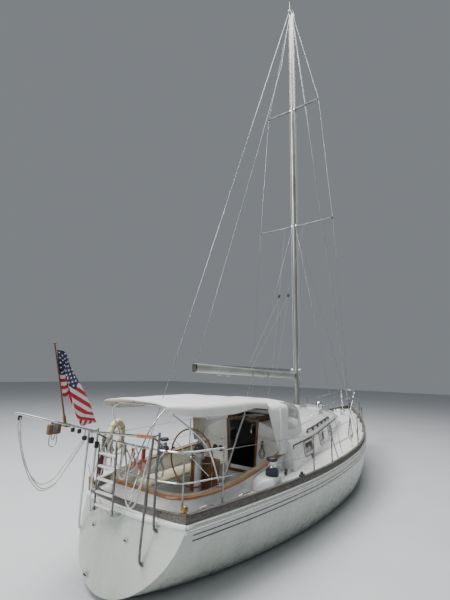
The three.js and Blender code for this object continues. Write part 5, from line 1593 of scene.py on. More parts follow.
def hatch_plate(steps, r, top=False):
    """Rounded square rings of the fore hatch, one at each (inset, height), closed below."""
    kit = Kit()
    rows = []
    for inset, z in steps:
        side = HATCH_SIDE - 2 * inset
        rows.append([Vector((HATCH_X + a, b, HATCH_Z + z)) for a, b in rounded_rect(side, side, r)])
    kit.grid(rows, wrap=True, ends=top)
    return kit if top else kit.cap(rows[0])


def hatches():
    """Sliding hatch, its battens, runners and hood, then the fore hatch."""
    kit = Kit()
    kit.box((-1.690, -0.384, 1.8155), (-0.931, 0.384, 1.8448), 0.011, 3)
    kit.box((-1.690, -0.324, 1.7895), (-1.664, 0.324, 1.817), 0.005, 2)
    kit.piece("sliding_hatch_lid", "gelcoat", "companion_hatch", replaces=["sliding_hatch"])
    wood = Kit()
    for y in (-0.22, 0.0, 0.22):
        wood.box((-1.62, y - 0.02, 1.8449), (-1.02, y + 0.02, 1.8510), 0.002, 1)
    wood.piece("sliding_hatch_battens", "varnish", "companion_hatch")
    runners = Kit()
    for side in SIDES:
        runners.box_on(side, (-2.328, 0.342, 1.692), (-0.872, 0.378, 1.806), 0.008, 2)
    runners.piece("hatch_runners", "dark_teak")
    hood = Kit()
    rows = []
    for x in (-1.579, -1.574, -1.50, -1.2, -0.96, -0.88, -0.85, -0.841):
        drop = {-1.579: 0.004, -1.574: 0.0, -0.88: 0.006, -0.85: 0.022, -0.841: 0.045}.get(x, 0.0)
        row = []
        for k in range(21):
            t = -1 + k / 10
            y = 0.434 * t
            side = ease((abs(t) - 0.90) / 0.10) * 0.022
            z = 1.8785 - drop - side - 0.006 * t * t
            row.append(Vector((x, y, z)))
        low = roof_z(x, 0.434) + 0.002
        row = [Vector((x, -0.4345, low))] + row + [Vector((x, 0.4345, low))]
        rows.append(row)
    front = rows[-1]
    rows.append([Vector((p.x, p.y, min(p.z, roof_z(p.x, p.y) + 0.002))) for p in front])
    hood.grid(rows)
    obj = hood.piece("hatch_hood", "gelcoat", replaces=["sea_hood"])
    thicken(obj, 0.006, 40)
    fore_hatch()


def fore_hatch():
    """Its coaming, and the lid's frame, lens and fittings, which turn with it."""
    rim = Kit()
    for x0, x1, y0, y1 in (
        (1.672, 1.700, -0.258, 0.258), (2.160, 2.188, -0.258, 0.258), (1.672, 2.188, -0.258, -0.230),
        (1.672, 2.188, 0.230, 0.258),
    ):
        rim.box((x0, y0, 1.50), (x1, y1, HATCH_Z - 0.0012), 0.004, 2)
    rim.piece("fore_hatch_coaming", "gelcoat")
    lid = hatch_plate(((0.0, 0.0002), (0.0, 0.018), (0.006, 0.026), (0.03, 0.0285), (0.045, 0.0285)), 0.05)
    lid.piece("fore_hatch_frame", "grey_plastic", "fore_hatch", replaces=["fore_hatch"], slot="gelcoat")
    lens = hatch_plate(((0.044, 0.022), (0.044, 0.0296), (0.052, 0.0308)), 0.03, top=True)
    lens.piece("fore_hatch_lens", "lens", "fore_hatch")
    hinge = Kit()
    for y in (-0.18, 0.18):
        hinge.rod((2.206, y - 0.03, HATCH_Z + 0.008), (2.206, y + 0.03, HATCH_Z + 0.008), 0.006)
        hinge.box((1.70, y - 0.02, HATCH_Z + 0.026), (1.735, y + 0.02, HATCH_Z + 0.0315), 0.002, 1)
    hinge.piece("fore_hatch_fittings", "chrome", "fore_hatch")


def dorades():
    for side, name in NAMED_SIDES:
        x, y = 1.05, side * 0.33
        z = roof_z(x, y)
        box = Kit().post(x, y, 0.149, 0.084, z - 0.07, z + 0.0745, 0.014, 3)
        box.lathe(
            [(0.0, 0.05), (0.056, 0.05), (0.056, 0.078), (0.047, 0.084), (0, 0.084)], (x, y, z), sides=24,
        )
        box.piece("dorade_box_" + name, "gelcoat", replaces=["dorade_vent_" + name])
        line = ((0, 0.08), (0, 0.13), (0.006, 0.165), (0.026, 0.184), (0.058, 0.186), (0.079, 0.186))
        neck = [Vector((x + a, y, z + up)) for a, up in line]
        radii = [0.045, 0.045, 0.058, 0.076, 0.090, 0.0945]
        rows = []
        for i, p in enumerate(neck):
            a = neck[max(i - 1, 0)]
            b = neck[min(i + 1, len(neck) - 1)]
            t = (b - a).normalized()
            s = Vector((0, 1, 0))
            u = t.cross(s).normalized()
            rows.append([p + (s * cos(c) + u * sin(c)) * radii[i] for c in circle(24)])
        cowl = Kit().grid(rows, wrap=True)
        obj = cowl.piece("dorade_cowl_" + name, "chrome", smooth=60)
        modifier(obj, "SOLIDIFY", thickness=0.004, offset=-1)
        modifier(obj, "SUBSURF", levels=1, render_levels=1)
        apply_modifiers(obj)
        shade(obj, 60)


# Helm

WHEEL = Vector((-3.91, 0, 1.28))
WHEEL_R = 0.43


def helm():
    rim = Kit()
    pts = [WHEEL + Vector((0, WHEEL_R * sin(a), WHEEL_R * cos(a))) for a in circle(72)]
    rim.tube(pts, 0.0135, 12, closed=True)
    rim.piece("wheel_rim", "varnish_up", "helm", replaces=["steering_wheel"], smooth=60)
    spokes = Kit()
    for a in circle(6):
        out = Vector((0, sin(a), cos(a)))
        spokes.rod(WHEEL + out * 0.03, WHEEL + out * (WHEEL_R - 0.006), 0.0068, 0.0055)
    spokes.lathe(
        [
            (0, -0.002), (0.030, 0.0), (0.042, 0.010), (0.042, 0.028), (0.032, 0.040), (0.032, 0.090),
            (0, 0.092),
        ],
        WHEEL - Vector((0.035, 0, 0)), (1, 0, 0), 28,
    )
    spokes.piece("wheel_spokes", "steel", "helm", smooth=50)
    knob = Kit()
    for k in range(5):
        at = WHEEL + vertical(WHEEL_R) + Vector((0, (k - 2) * 0.012, 0))
        ring = [at + Vector((0.019 * cos(a), 0, 0.019 * sin(a))) for a in circle(14)]
        knob.tube(ring, 0.005, 6, closed=True)
    knob.piece("wheel_king_spoke_knot", "rope_white", "helm", smooth=60, slot="varnished_teak")


PEDESTAL_X, COMPASS_Z = -3.72, 1.330


def pedestal():
    x = PEDESTAL_X
    kit = Kit()
    kit.lathe(
        [
            (0, 0.001), (0.118, 0.001), (0.118, 0.010), (0.100, 0.024), (0.068, 0.075), (0.058, 0.14),
            (0.055, 0.74), (0.062, 0.775), (0.084, 0.81), (0.088, 0.835), (0.086, 0.8795), (0, 0.8795),
        ],
        (x, 0, SOLE_Z), sides=36,
    )
    kit.box((x - 0.10, -0.062, SOLE_Z + 0.02), (x - 0.05, 0.062, 0.72), 0.012, 3)
    kit.piece("pedestal_column", "white_plastic", replaces=["pedestal"], smooth=50, slot="gelcoat")
    compass()
    pedestal_guard()
    folded_table()


def compass():
    x = PEDESTAL_X
    bowl = Kit().lathe(
        [(0, 0.0), (0.090, 0.0), (0.092, 0.03), (0.090, 0.062), (0.083, 0.068), (0, 0.068)],
        (x, 0, COMPASS_Z), sides=36,
    )
    bowl.piece("compass_bowl", "black_plastic", smooth=50)
    dome = Kit().lathe(
        [(0.078, 0.060), (0.078, 0.070), (0.072, 0.095), (0.055, 0.120), (0.030, 0.134), (0.0, 0.138)],
        (x, 0, COMPASS_Z), sides=36,
    )
    dome.piece("compass_dome", "lens", smooth=70)


def pedestal_guard():
    """The tube round the pedestal, with the throttle and gear levers."""
    x = PEDESTAL_X
    guard = Kit()
    half = [(0.150, 0.170, SOLE_Z + 0.002), (0.150, 0.170, 1.10), (0.130, 0.160, 1.38), (0.110, 0.09, 1.50)]
    pts = [(x + a, y, z) for a, y, z in half] + [(x + a, -y, z) for a, y, z in half[::-1]]
    guard.tube(smooth_path(pts, 90), 0.0127, 12)
    for side in SIDES:
        guard.rod((x, side * 0.06, 1.16), (x + 0.146, side * 0.168, 1.16), 0.008)
        guard.lathe(
            [(0, 0), (0.034, 0), (0.034, 0.004), (0.016, 0.012), (0.016, 0.03), (0, 0.03)],
            (x + 0.150, side * 0.170, SOLE_Z + 0.001),
        )
        # Throttle and gear levers.
        guard.tube(
            smooth_path(
                [
                    (x, side * 0.060, 1.235), (x, side * 0.100, 1.24), (x + 0.01, side * 0.112, 1.30),
                    (x + 0.02, side * 0.112, 1.352),
                ],
                16,
            ),
            0.006,
        )
    guard.piece("pedestal_guard", "steel", smooth=60)
    for name, look, y in (("throttle_knob", "red_plastic", 0.112), ("gear_knob", "black_plastic", -0.112)):
        Kit().ball((x + 0.02, y, 1.356), 0.016).piece(name, look, smooth=60)


def folded_table():
    """A drop-leaf table, folded against the guard, and the clips that hold it."""
    x = PEDESTAL_X
    wood = Kit()
    for y0, y1 in ((-0.30, -0.005), (0.005, 0.30)):
        wood.box((x + 0.166, y0, 0.66), (x + 0.186, y1, 1.24), 0.007, 2)
    wood.box((x + 0.188, -0.26, 0.70), (x + 0.206, 0.26, 1.20), 0.006, 2)
    wood.piece("folded_table", "varnish_up")
    clips = Kit()
    for side in SIDES:
        for z in (0.80, 1.08):
            ring = [(x + 0.150 + 0.017 * cos(a), side * 0.170 + 0.017 * sin(a), z) for a in circle(16)]
            clips.tube(ring, 0.005, 8, closed=True)
    clips.piece("table_clips", "steel", smooth=60)


def winches():
    for side, name in NAMED_SIDES:
        x, y, z = WINCH_AT
        at = (x, side * y, z)
        body = "winch_drum_" + name
        skirt = [
            (0, 0.0), (0.1035, 0.0), (0.1035, 0.052), (0.100, 0.070), (0.090, 0.090), (0.066, 0.106),
            (0.060, 0.112), (0, 0.112),
        ]
        Kit().lathe(skirt, at, sides=40).piece(
            "winch_skirt_" + name, "navy_cloth", body, replaces=["winch_" + name], smooth=45,
        )
        drum = Kit()
        drum.lathe(
            [
                (0, 0.105), (0.061, 0.105), (0.055, 0.125), (0.052, 0.155), (0.058, 0.182), (0.068, 0.198),
                (0, 0.198),
            ],
            at, sides=40,
        )
        for a in circle(20):
            p = Vector((at[0] + 0.0545 * cos(a), at[1] + 0.0545 * sin(a), z + 0.115))
            drum.rod(p, p + vertical(0.07), 0.004, sides=6)
        drum.piece("winch_barrel_" + name, "chrome", body, smooth=45)
        top = Kit()
        top.lathe(
            [
                (0, 0.197), (0.070, 0.197), (0.084, 0.206), (0.087, 0.216), (0.086, 0.232), (0.078, 0.246),
                (0.050, 0.254), (0.024, 0.257), (0.020, 0.252), (0, 0.250),
            ],
            at, sides=40,
        )
        top.box(
            (at[0] + 0.045, at[1] - 0.014, z + 0.224), (at[0] + 0.098, at[1] + 0.014, z + 0.246), 0.004, 2,
        )
        top.piece("winch_top_" + name, "black_plastic", body, smooth=45)


# Mast, boom and standing rigging

MAST_X, MAST_TOP = 0.42, 14.70
SPREADERS = ((6.90, 1.12), (10.91, 0.84))
SHROUD_Y = 1.39
BACKSTAY = (Vector((0.25, 0, 14.69)), Vector((-5.13, 0, 0.942)))


def ellipse_ring(x, y, z, along, across, count=28):
    pts = []
    for a in circle(count):
        pts.append(Vector((x + along / 2 * cos(a), y + across / 2 * sin(a), z)))
    return pts


def mast():
    kit = Kit()
    base = roof_z(MAST_X, 0)
    rows = [
        ellipse_ring(MAST_X, 0, z, 0.188 * s, 0.130 * s)
        for z, s in ((base + 0.035, 1), (5.0, 1), (10.0, 1), (13.6, 0.97), (14.69, 0.86))
    ]
    kit.grid(rows, wrap=True, ends=True)
    # Sail track down the aft face.
    kit.box((MAST_X - 0.106, -0.010, 2.95), (MAST_X - 0.090, 0.010, 14.2), 0.002, 1)
    kit.piece("mast_tube", "spar", replaces=["mast"])
    foot = Kit()
    rows = [
        ellipse_ring(MAST_X, 0, z, a, b)
        for z, a, b in (
            (base - 0.01, 0.29, 0.20),
            (base + 0.012, 0.29, 0.20),
            (base + 0.018, 0.25, 0.175),
            (base + 0.075, 0.215, 0.155),
            (base + 0.085, 0.19, 0.132),
        )
    ]
    foot.grid(rows, wrap=True)
    foot.piece("mast_boot", "white_plastic", slot="spar")
    mast_fittings()
    halyards()
    spreaders()
    masthead()


def mast_fittings():
    """Winches, spreader brackets, steaming light, tangs for the lower shrouds and cleats."""
    steel = Kit()
    for side in SIDES:
        at = (MAST_X - 0.02, side * 0.062, 2.75)
        steel.lathe(
            [
                (0.036, 0), (0.036, 0.012), (0.029, 0.026), (0.026, 0.05), (0.033, 0.066), (0.033, 0.078),
                (0, 0.08),
            ],
            at, (0, side, 0), 20,
        )
        for z, _ in SPREADERS:
            steel.box(
                (MAST_X - 0.06, side * 0.060 - 0.012, z - 0.05),
                (MAST_X + 0.05, side * 0.060 + 0.012, z + 0.05), 0.006,
            )
    steel.lathe(
        [(0.026, 0), (0.026, 0.03), (0.03, 0.04), (0, 0.042)], (MAST_X + 0.09, 0, 7.35), (1, 0, 0), 16,
    )
    steel.box((MAST_X + 0.085, -0.03, 7.30), (MAST_X + 0.14, 0.03, 7.325), 0.006)
    for x in (MAST_X - 0.04, MAST_X + 0.04):
        for side in SIDES:
            steel.post(x, side * 0.066, 0.014, 0.003, 6.70, 6.84, 0.002, 1)
    for side in SIDES:
        for z in (2.35, 2.55):
            cleat(steel, Vector((MAST_X, side * 0.066, z)), vertical(1), Vector((0, side, 0)), 0.13)
    steel.piece("mast_fittings", "steel")


def halyards():
    """Four lines down the mast, each standing off it a little at mid-height."""
    lines = Kit()
    for dx, dy, top, low in (
        (0.03, 0.076, 14.4, 2.6), (-0.03, 0.078, 14.2, 2.45), (0.04, -0.076, 14.35, 2.55),
        (-0.05, -0.074, 13.9, 2.4),
    ):
        pts = []
        for i in range(25):
            t = i / 24
            z = lerp(top, low, t)
            out = 0.012 * sin(pi * t)
            pts.append((MAST_X + dx + out * 0.4, dy + copysign(out, dy), z))
        lines.tube(pts, 0.0055, 6)
    lines.piece("halyards", "rope_white", smooth=60)


def cleat(kit, at, along, up, long):
    """A horn cleat: two feet and a bar with drooping horns."""
    for s in (-1, 1):
        foot = at + along * (s * long * 0.16)
        kit.rod(foot, foot + up * (long * 0.16), long * 0.055, long * 0.045, 8)
    pts = [
        at + along * (s * long * 0.5) + up * (long * h)
        for s, h in (
            (-1, 0.15), (-0.75, 0.185), (-0.35, 0.20), (0, 0.205), (0.35, 0.20), (0.75, 0.185), (1, 0.15),
        )
    ]
    kit.tube(pts, long * 0.055, 8, taper=plump(0.55, 0.45, 0.02, 0.5))


def spreaders():
    for (z, half), name in zip(SPREADERS, ("spreaders_lower", "spreaders_upper")):
        kit = Kit()
        for side in SIDES:
            rows = []
            for t, w, h in (
                (0, 0.11, 0.034), (0.08, 0.10, 0.032), (0.9, 0.062, 0.022), (0.985, 0.058, 0.020),
                (1.0, 0.045, 0.014),
            ):
                y = side * lerp(0.062, half - 0.003, t)
                rows.append(
                    [
                        Vector((MAST_X - 0.01 * t + w / 2 * cos(a), y, z + 0.018 * t + h / 2 * sin(a)))
                        for a in circle(16)
                    ]
                )
            kit.grid(rows, wrap=True, ends=True)
        kit.piece(name + "_foil", "spar", replaces=[name], smooth=50)
        boots = Kit()
        for side in SIDES:
            boots.ball((MAST_X - 0.01, side * (half - 0.006), z + 0.018), 0.030, (1.0, 0.7, 0.8), 12, 8)
        boots.piece(name + "_boots", "rubber", smooth=60)


def masthead():
    x, z = MAST_X, MAST_TOP + 0.001
    plate = Kit()
    plate.box((x - 0.188, -0.042, z + 0.0005), (x + 0.185, 0.042, z + 0.0535), 0.008)
    plate.piece("masthead_crane", "spar", replaces=["masthead_gear"], slot="stainless")
    steel = Kit()
    steel.rod((x - 0.06, 0.03, z + 0.05), (x - 0.06, 0.03, z + 0.558), 0.004, 0.002, 8)
    steel.lathe(
        [(0, 0), (0.014, 0), (0.014, 0.07), (0.006, 0.08), (0, 0.08)], (x - 0.06, 0.03, z + 0.05), sides=14,
    )
    steel.rod((x + 0.13, -0.02, z + 0.05), (x + 0.13, -0.02, z + 0.262), 0.0055, sides=8)
    steel.rod((x + 0.03, -0.02, z + 0.252), (x + 0.295, -0.02, z + 0.252), 0.003, sides=8)
    sheave = [(0, -0.006), (0.03, -0.006), (0.022, 0), (0.03, 0.006), (0, 0.006)]
    for y in (-0.02, 0.02):
        for dx in (-0.165, 0.155):
            steel.lathe(sheave, (x + dx, y, z + 0.026), (0, 1, 0), 18)
    steel.piece("masthead_instruments", "steel")
    vane = Kit()
    vane.box((x + 0.035, -0.0215, z + 0.236), (x + 0.115, -0.0185, z + 0.266), 0.001, 1)
    for k in range(3):
        a = 2 * pi * k / 3 + 0.4
        cup = Vector((x + 0.13 + 0.045 * cos(a), -0.02 + 0.02 * sin(a), z + 0.222))
        vane.rod((x + 0.13, -0.02, z + 0.222), cup, 0.002, sides=6)
        vane.ball(cup, 0.012, sides=10, rings=6)
    vane.piece("masthead_vane", "black_plastic", smooth=50, slot="stainless")
    lamp = Kit()
    lamp.lathe(
        [(0, 0), (0.036, 0), (0.038, 0.02), (0.038, 0.06), (0.026, 0.078), (0, 0.08)],
        (x + 0.03, 0, z + 0.053), sides=20,
    )
    lamp.piece("masthead_light", "white_plastic", smooth=50, slot="stainless")


def turnbuckle(kit, foot, head, scale=1.0):
    """Toggle, screw body and studs along the lowest 0.43 m of a stay, from its foot upwards."""
    foot, head = Vector(foot), Vector(head)
    along = (head - foot).normalized()
    at = lambda d: foot + along * d * scale
    kit.rod(at(0.0), at(0.05), 0.011 * scale, 0.009 * scale, 10)
    kit.rod(at(0.045), at(0.10), 0.0055 * scale, sides=8)
    kit.tube(
        [at(0.095), at(0.105), at(0.13), at(0.235), at(0.26), at(0.27)], 0.011 * scale, 10,
        taper=ending(0.75, both=True),
    )
    kit.rod(at(0.265), at(0.32), 0.0055 * scale, sides=8)
    kit.tube([at(0.315), at(0.325), at(0.40), at(0.43)], 0.0075 * scale, 10, taper=ending(0.6))


def standing_rigging():
    screws = Kit()
    plates = Kit()
    back = Kit()
    head, foot = BACKSTAY
    back.rod(head, foot, 0.0050, sides=8)
    back.piece("backstay_wire", "wire", replaces=["backstay"], smooth=60)
    turnbuckle(screws, foot, head, 1.15)
    plates.box((-5.155, -0.012, 0.925), (-5.105, 0.012, 0.955), 0.003)
    for side, name in NAMED_SIDES:
        base = Vector((0.33, side * SHROUD_Y, deck_top(0.33, SHROUD_Y) + 0.004))
        tips = [Vector((MAST_X - 0.01, side * (half + 0.012), z + 0.016)) for z, half in SPREADERS]
        top = Vector((MAST_X, side * 0.078, MAST_TOP - 0.12))
        kit = Kit()
        for a, b in zip([top, tips[1], tips[0]], [tips[1], tips[0], base]):
            kit.rod(a, b, 0.0050, sides=8)
        kit.piece("cap_shroud_wire_" + name, "wire", replaces=["cap_shroud_" + name], smooth=60)
        turnbuckle(screws, base, tips[0])
        chainplate(plates, base)
        lowers = Kit()
        for x, reach in ((1.08, 0.04), (-0.43, -0.04)):
            end = Vector((x, side * (SHROUD_Y - 0.02), deck_top(x, SHROUD_Y) + 0.004))
            top = Vector((MAST_X + reach, side * 0.074, 6.76))
            lowers.rod(top, end, 0.0045, sides=8)
            turnbuckle(screws, end, top, 0.95)
            chainplate(plates, end)
        lowers.piece("lower_shroud_wires_" + name, "wire", smooth=60)
    screws.piece("rigging_screws", "chrome")
    plates.piece("chainplates", "steel")
    forestay()


def chainplate(kit, at):
    x, y, z = at
    kit.post(x, y, 0.045, 0.020, z - 0.006, z - 0.001, 0.002, 1)
    kit.post(x, y, 0.018, 0.004, z - 0.004, z + 0.03, 0.002, 1)


def forestay():
    head = Vector((MAST_X + 0.15, 0, MAST_TOP - 0.06))
    foot = Vector((5.33, 0, deck_top(5.33, 0) + 0.14))
    along = (head - foot).normalized()
    length = (head - foot).length
    profile = [
        (0.0055, 0.0), (0.0055, 0.010), (0.088, 0.0103), (0.088, 0.0116), (0.044, 0.0119), (0.047, 0.0140),
        (0.044, 0.0163), (0.088, 0.0166), (0.088, 0.0180), (0.030, 0.0184), (0.020, 0.0230),
        (0.0165, 0.0240), (0.0165, 0.985), (0.0055, 0.9853), (0.0055, 1.0),
    ]
    kit = Kit().lathe([(0, 0)] + [(r, s * length) for r, s in profile] + [(0, length)], foot, along, 24)
    kit.piece("furling_stay", "spar", replaces=["forestay_furler"], smooth=35)
    line = Kit()
    for k in range(6):
        d = length * (0.0123 + 0.0006 * k)
        centre = foot + along * d
        s = along.cross(Vector((0, 1, 0))).normalized()
        ring = [centre + (Vector((0, 1, 0)) * cos(a) + s * sin(a)) * 0.049 for a in circle(24)]
        line.tube(ring, 0.004, 6, closed=True)
    line.piece("furling_line_on_drum", "rope_blue", smooth=60)
    tack = Kit()
    pad = deck_top(5.33, 0)
    tack.rod((5.33, 0, pad + 0.001), foot, 0.012, 0.010, 12)
    tack.box((5.27, -0.022, pad - 0.004), (5.39, 0.022, pad + 0.006), 0.003)
    tack.piece("forestay_tack", "steel")


BOOM_PIN = Vector((0.255, 0, 2.59))
BOOM_AFT, BOOM_HIGH, BOOM_WIDE = (-3.94, 2.69), 0.15, 0.096
# (share of the boom's half-width, drop below its middle) along one bail.
BAIL = ((-1, 0), (-1, 0.06), (-0.6, 0.098), (0, 0.108), (0.6, 0.098), (1, 0.06), (1, 0))


def boom_z(x):
    return lerp(BOOM_PIN.z, BOOM_AFT[1], (x - BOOM_PIN.x) / (BOOM_AFT[0] - BOOM_PIN.x))


def boom():
    def ring(x, s=1.0):
        pts = []
        for a in circle(28):
            y = s * BOOM_WIDE / 2 * copysign(abs(cos(a)) ** 0.8, cos(a))
            up = s * BOOM_HIGH / 2 * copysign(abs(sin(a)) ** 0.85, sin(a))
            pts.append(Vector((x, y, boom_z(x) + up)))
        return pts

    kit = Kit().grid([ring(x) for x in (0.18, -1.2, -2.6, -3.925)], wrap=True, ends=True)
    kit.piece("boom_tube", "boom", "boom", replaces=["boom"])
    caps = Kit()
    caps.grid(
        [ring(-3.905, 0.99), ring(-3.905, 1.0), ring(-3.935, 1.0), ring(-3.9395, 0.93)], wrap=True,
        ends=True,
    )
    caps.grid([ring(0.185, 0.97), ring(0.15, 0.99), ring(0.15, 0.9)], wrap=True)
    caps.box((0.165, -0.017, 2.545), (0.245, 0.017, 2.635), 0.005)
    caps.lathe([(0.0135, -0.053), (0.026, -0.053), (0.026, 0.053), (0.0135, 0.053)], BOOM_PIN, sides=20)
    caps.piece("boom_fittings", "dark_steel", "boom")
    gooseneck()
    bails = Kit()
    for x in (-3.20, -2.9, -1.6):
        pts = [(x, y * (BOOM_WIDE / 2 + 0.006), boom_z(x) - drop) for y, drop in BAIL]
        bails.tube(smooth_path(pts, 20), 0.004, 8)
    bails.box((-3.70, -0.012, boom_z(-3.7) + 0.070), (-0.1, 0.012, boom_z(-1.9) + 0.062), 0.003, 1)
    bails.piece("boom_bails", "steel", "boom", smooth=50)
    boom_lashings()
    running_rigging()


def gooseneck():
    """The pin that the boom turns on and its two plates at the mast, which stay with the hull."""
    pin = Kit()
    pin.lathe(
        [
            (0, -0.075), (0.017, -0.075), (0.017, -0.068), (0.0115, -0.066), (0.0115, 0.066),
            (0.017, 0.068), (0.017, 0.075), (0, 0.075),
        ],
        BOOM_PIN, sides=20,
    )
    for z in (-0.066, 0.060):
        pin.box((0.240, -0.028, 2.59 + z), (0.33, 0.028, 2.59 + z + 0.006), 0.002, 1)
    pin.piece("gooseneck_pin", "steel")


def boom_lashings():
    """Two lashings of three turns each round the boom."""
    gear = Kit()
    for x in (-2.05, -1.35):
        z = boom_z(x)
        for k in range(3):
            ring = [
                (x + 0.012 * k + 0.01 * sin(2 * a), 0.060 * cos(a), z + 0.088 * sin(a)) for a in circle(20)
            ]
            gear.tube(ring, 0.006, 6, closed=True)
    gear.piece("boom_lashings", "rope_grey", "boom", smooth=60)


def block(kit, at, along, size=0.05):
    """A rigging block: two cheeks, a sheave and a strap."""
    at, along = Vector(at), Vector(along).normalized()
    turn = vertical(1).rotation_difference(along).to_matrix()
    for y in (-0.22, 0.22):
        kit.box(
            at + Vector((-size * 0.42, y * size - size * 0.05, -size * 0.62)),
            at + Vector((size * 0.42, y * size + size * 0.05, size * 0.62)), size * 0.12, 2, turn, at,
        )
    kit.lathe(
        [
            (0, -0.15 * size), (0.36 * size, -0.15 * size), (0.28 * size, 0), (0.36 * size, 0.15 * size),
            (0, 0.15 * size),
        ],
        at, turn @ Vector((0, 1, 0)), 16,
    )
    kit.rod(at + along * size * 0.55, at + along * size * 0.95, size * 0.09, sides=8)


def running_rigging():
    lift = Kit().tube(
        [
            BACKSTAY[0] + Vector((0.05, 0, -0.01)), Vector((-0.4, 0, 11.9)), Vector((-1.9, 0, 7.9)),
            Vector((-3.88, 0, boom_z(-3.88) + 0.09)),
        ],
        0.0032, 6,
    )
    obj = lift.piece("topping_lift", "wire", None, smooth=60)
    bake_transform(obj)
    blocks = Kit()
    jacks = Kit()
    for side in SIDES:
        top = Vector((MAST_X - 0.01, side * 0.30, SPREADERS[0][0] - 0.005))
        at = Vector((-0.38, side * 0.13, 4.65))
        jacks.rod(top, at + vertical(0.04), 0.003, sides=6)
        for x in (-0.95, -2.2):
            jacks.rod(at - vertical(0.04), (x, side * 0.052, boom_z(x) - 0.02), 0.003, sides=6)
        block(blocks, at, (0.3, 0, 1), 0.07)
    obj = jacks.piece("lazy_jacks", "rope_grey", None, smooth=60)
    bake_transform(obj)
    obj = blocks.piece("lazy_jack_blocks", "black_plastic", None)
    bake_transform(obj)


# Free lines

# (x, z) of one bight of the davit fall, from the arm's tip to the stern frame.
FALL_LINE = (
    (-6.268, 2.030),
    (-6.215, 1.720),
    (-6.120, 1.460),
    (-6.010, 1.265),
    (-5.875, 1.145),
    (-5.720, 1.175),
    (-5.600, 1.310),
    (-5.470, 1.480),
    (-5.352, 1.650),
)
FALL_BIGHTS = ((0.752, 0.0), (0.780, 0.030), (0.808, -0.040))
FALL_TURN = 0.014
STERN_LINE = (
    (-5.283, 0.712, 1.330),
    (-5.280, 0.640, 1.200),
    (-5.278, 0.510, 1.030),
    (-5.276, 0.350, 0.895),
    (-5.276, 0.160, 0.800),
    (-5.276, 0.010, 0.808),
    (-5.272, -0.140, 0.965),
    (-5.245, -0.260, 1.160),
    (-5.205, -0.340, 1.330),
    (-5.160, -0.440, 1.480),
    (-5.118, -0.560, 1.628),
)
FALL_R, STERN_R, BIGHT_R, HANK_R = 0.006, 0.007, 0.0085, 0.0045
# How far the pin that a hank hangs by lies under the middle of its top turn.
PIN_DROP = HANK_R + 0.0042


def fall_route():
    points = []
    last = len(FALL_LINE) - 1
    for i, (y, drop) in enumerate(FALL_BIGHTS):
        bight = [Vector((x, y, z - drop * sin(k / last * pi))) for k, (x, z) in enumerate(FALL_LINE)]
        if i > 0:
            bight[0 if i % 2 == 0 else last].z -= FALL_TURN
        points += bight if i % 2 == 0 else bight[::-1]
    return smooth_path(points, 420)


def line_length(points):
    return sum((b - a).length for a, b in zip(points, points[1:]))


def laid_rope(kit, points, r, lay=0.05, sides=12):
    """A three-strand rope along points: a lobed section that turns once in each lay."""
    run = 0.0
    rows = []
    for i, (side, up, _) in enumerate(frames_along(points)):
        if i:
            run += (points[i] - points[i - 1]).length
        turn = 2 * pi * run / lay
        ring = []
        for a in circle(sides):
            lobe = 0.94 + 0.06 * cos(3 * (a - turn))
            ring.append(points[i] + (side * cos(a) + up * sin(a)) * (r * lobe))
        rows.append(ring)
    return kit.grid(rows, wrap=True, ends=True)


def free_line(name, points, r, look, replaces=()):
    kit = Kit()
    laid_rope(kit, points, r)
    obj = kit.piece(name, look, replaces=replaces, smooth=60, weld=1e-6, slot="rope")
    line_length(points)
    return obj


def hank_route(top, drop, wide, loops=4, wraps=4):
    """One hank in a single run: loops hung side by side, turns round their neck, then the tail.

    The loops hang across y and step along x, so no turn lies in another."""
    step = 2 * HANK_R * 1.14
    neck = 0.0070
    pts = []
    for k in range(loops):
        x = (k - (loops - 1) / 2) * step
        long = drop * (0.92 + 0.08 * sin(2.1 * k + 0.6))
        out = wide * (0.82 + 0.18 * cos(1.7 * k))
        lean = 0.010 * sin(2.9 * k)
        half = (
            (0.009, 0.004), (0.0125, 0.016), (0.0095, 0.036), (neck, 0.055),
            (neck, min(0.100, long * 0.42)), (out * 0.42, min(0.135, long * 0.52)),
            (out * 0.80, long * 0.58), (out, long * 0.72), (out * 0.86, long * 0.88),
            (out * 0.42, long * 0.98),
        )
        shift = lambda down: lean * ease(clamp((down - 0.11) / 0.12, 0, 1))
        pts.append((x - step / 2 if k else x, 0, 0))
        pts += [(x, y + shift(d), -d) for y, d in half]
        pts.append((x, shift(long), -long))
        pts += [(x, shift(d) - y, -d) for y, d in half[::-1]]
    far = (loops + 1) / 2 * step
    pts += [(far - step / 2, 0, 0), (far, 0.010, -0.006), (far, 0.0125, -0.020), (far, 0.006, -0.040)]
    wide_x, wide_y = far, neck + step * 1.06
    around = 12
    for i in range(around * wraps + around // 2 + 1):
        a = 2 * pi * i / around
        c, s = cos(a), sin(a)
        pts.append(
            (
                copysign(abs(c) ** 0.55, c) * wide_x,
                copysign(abs(s) ** 0.55, s) * wide_y,
                -0.052 - step * 1.02 * i / around,
            )
        )
    low = pts[-1][2]
    pts += [
        (-far - d, y, low - h)
        for d, y, h in ((0, -0.006, 0.012), (0.001, -0.008, 0.040), (0.003, -0.004, 0.085))
    ]
    return smooth_path([Vector(top) + Vector(p) for p in pts], 620)


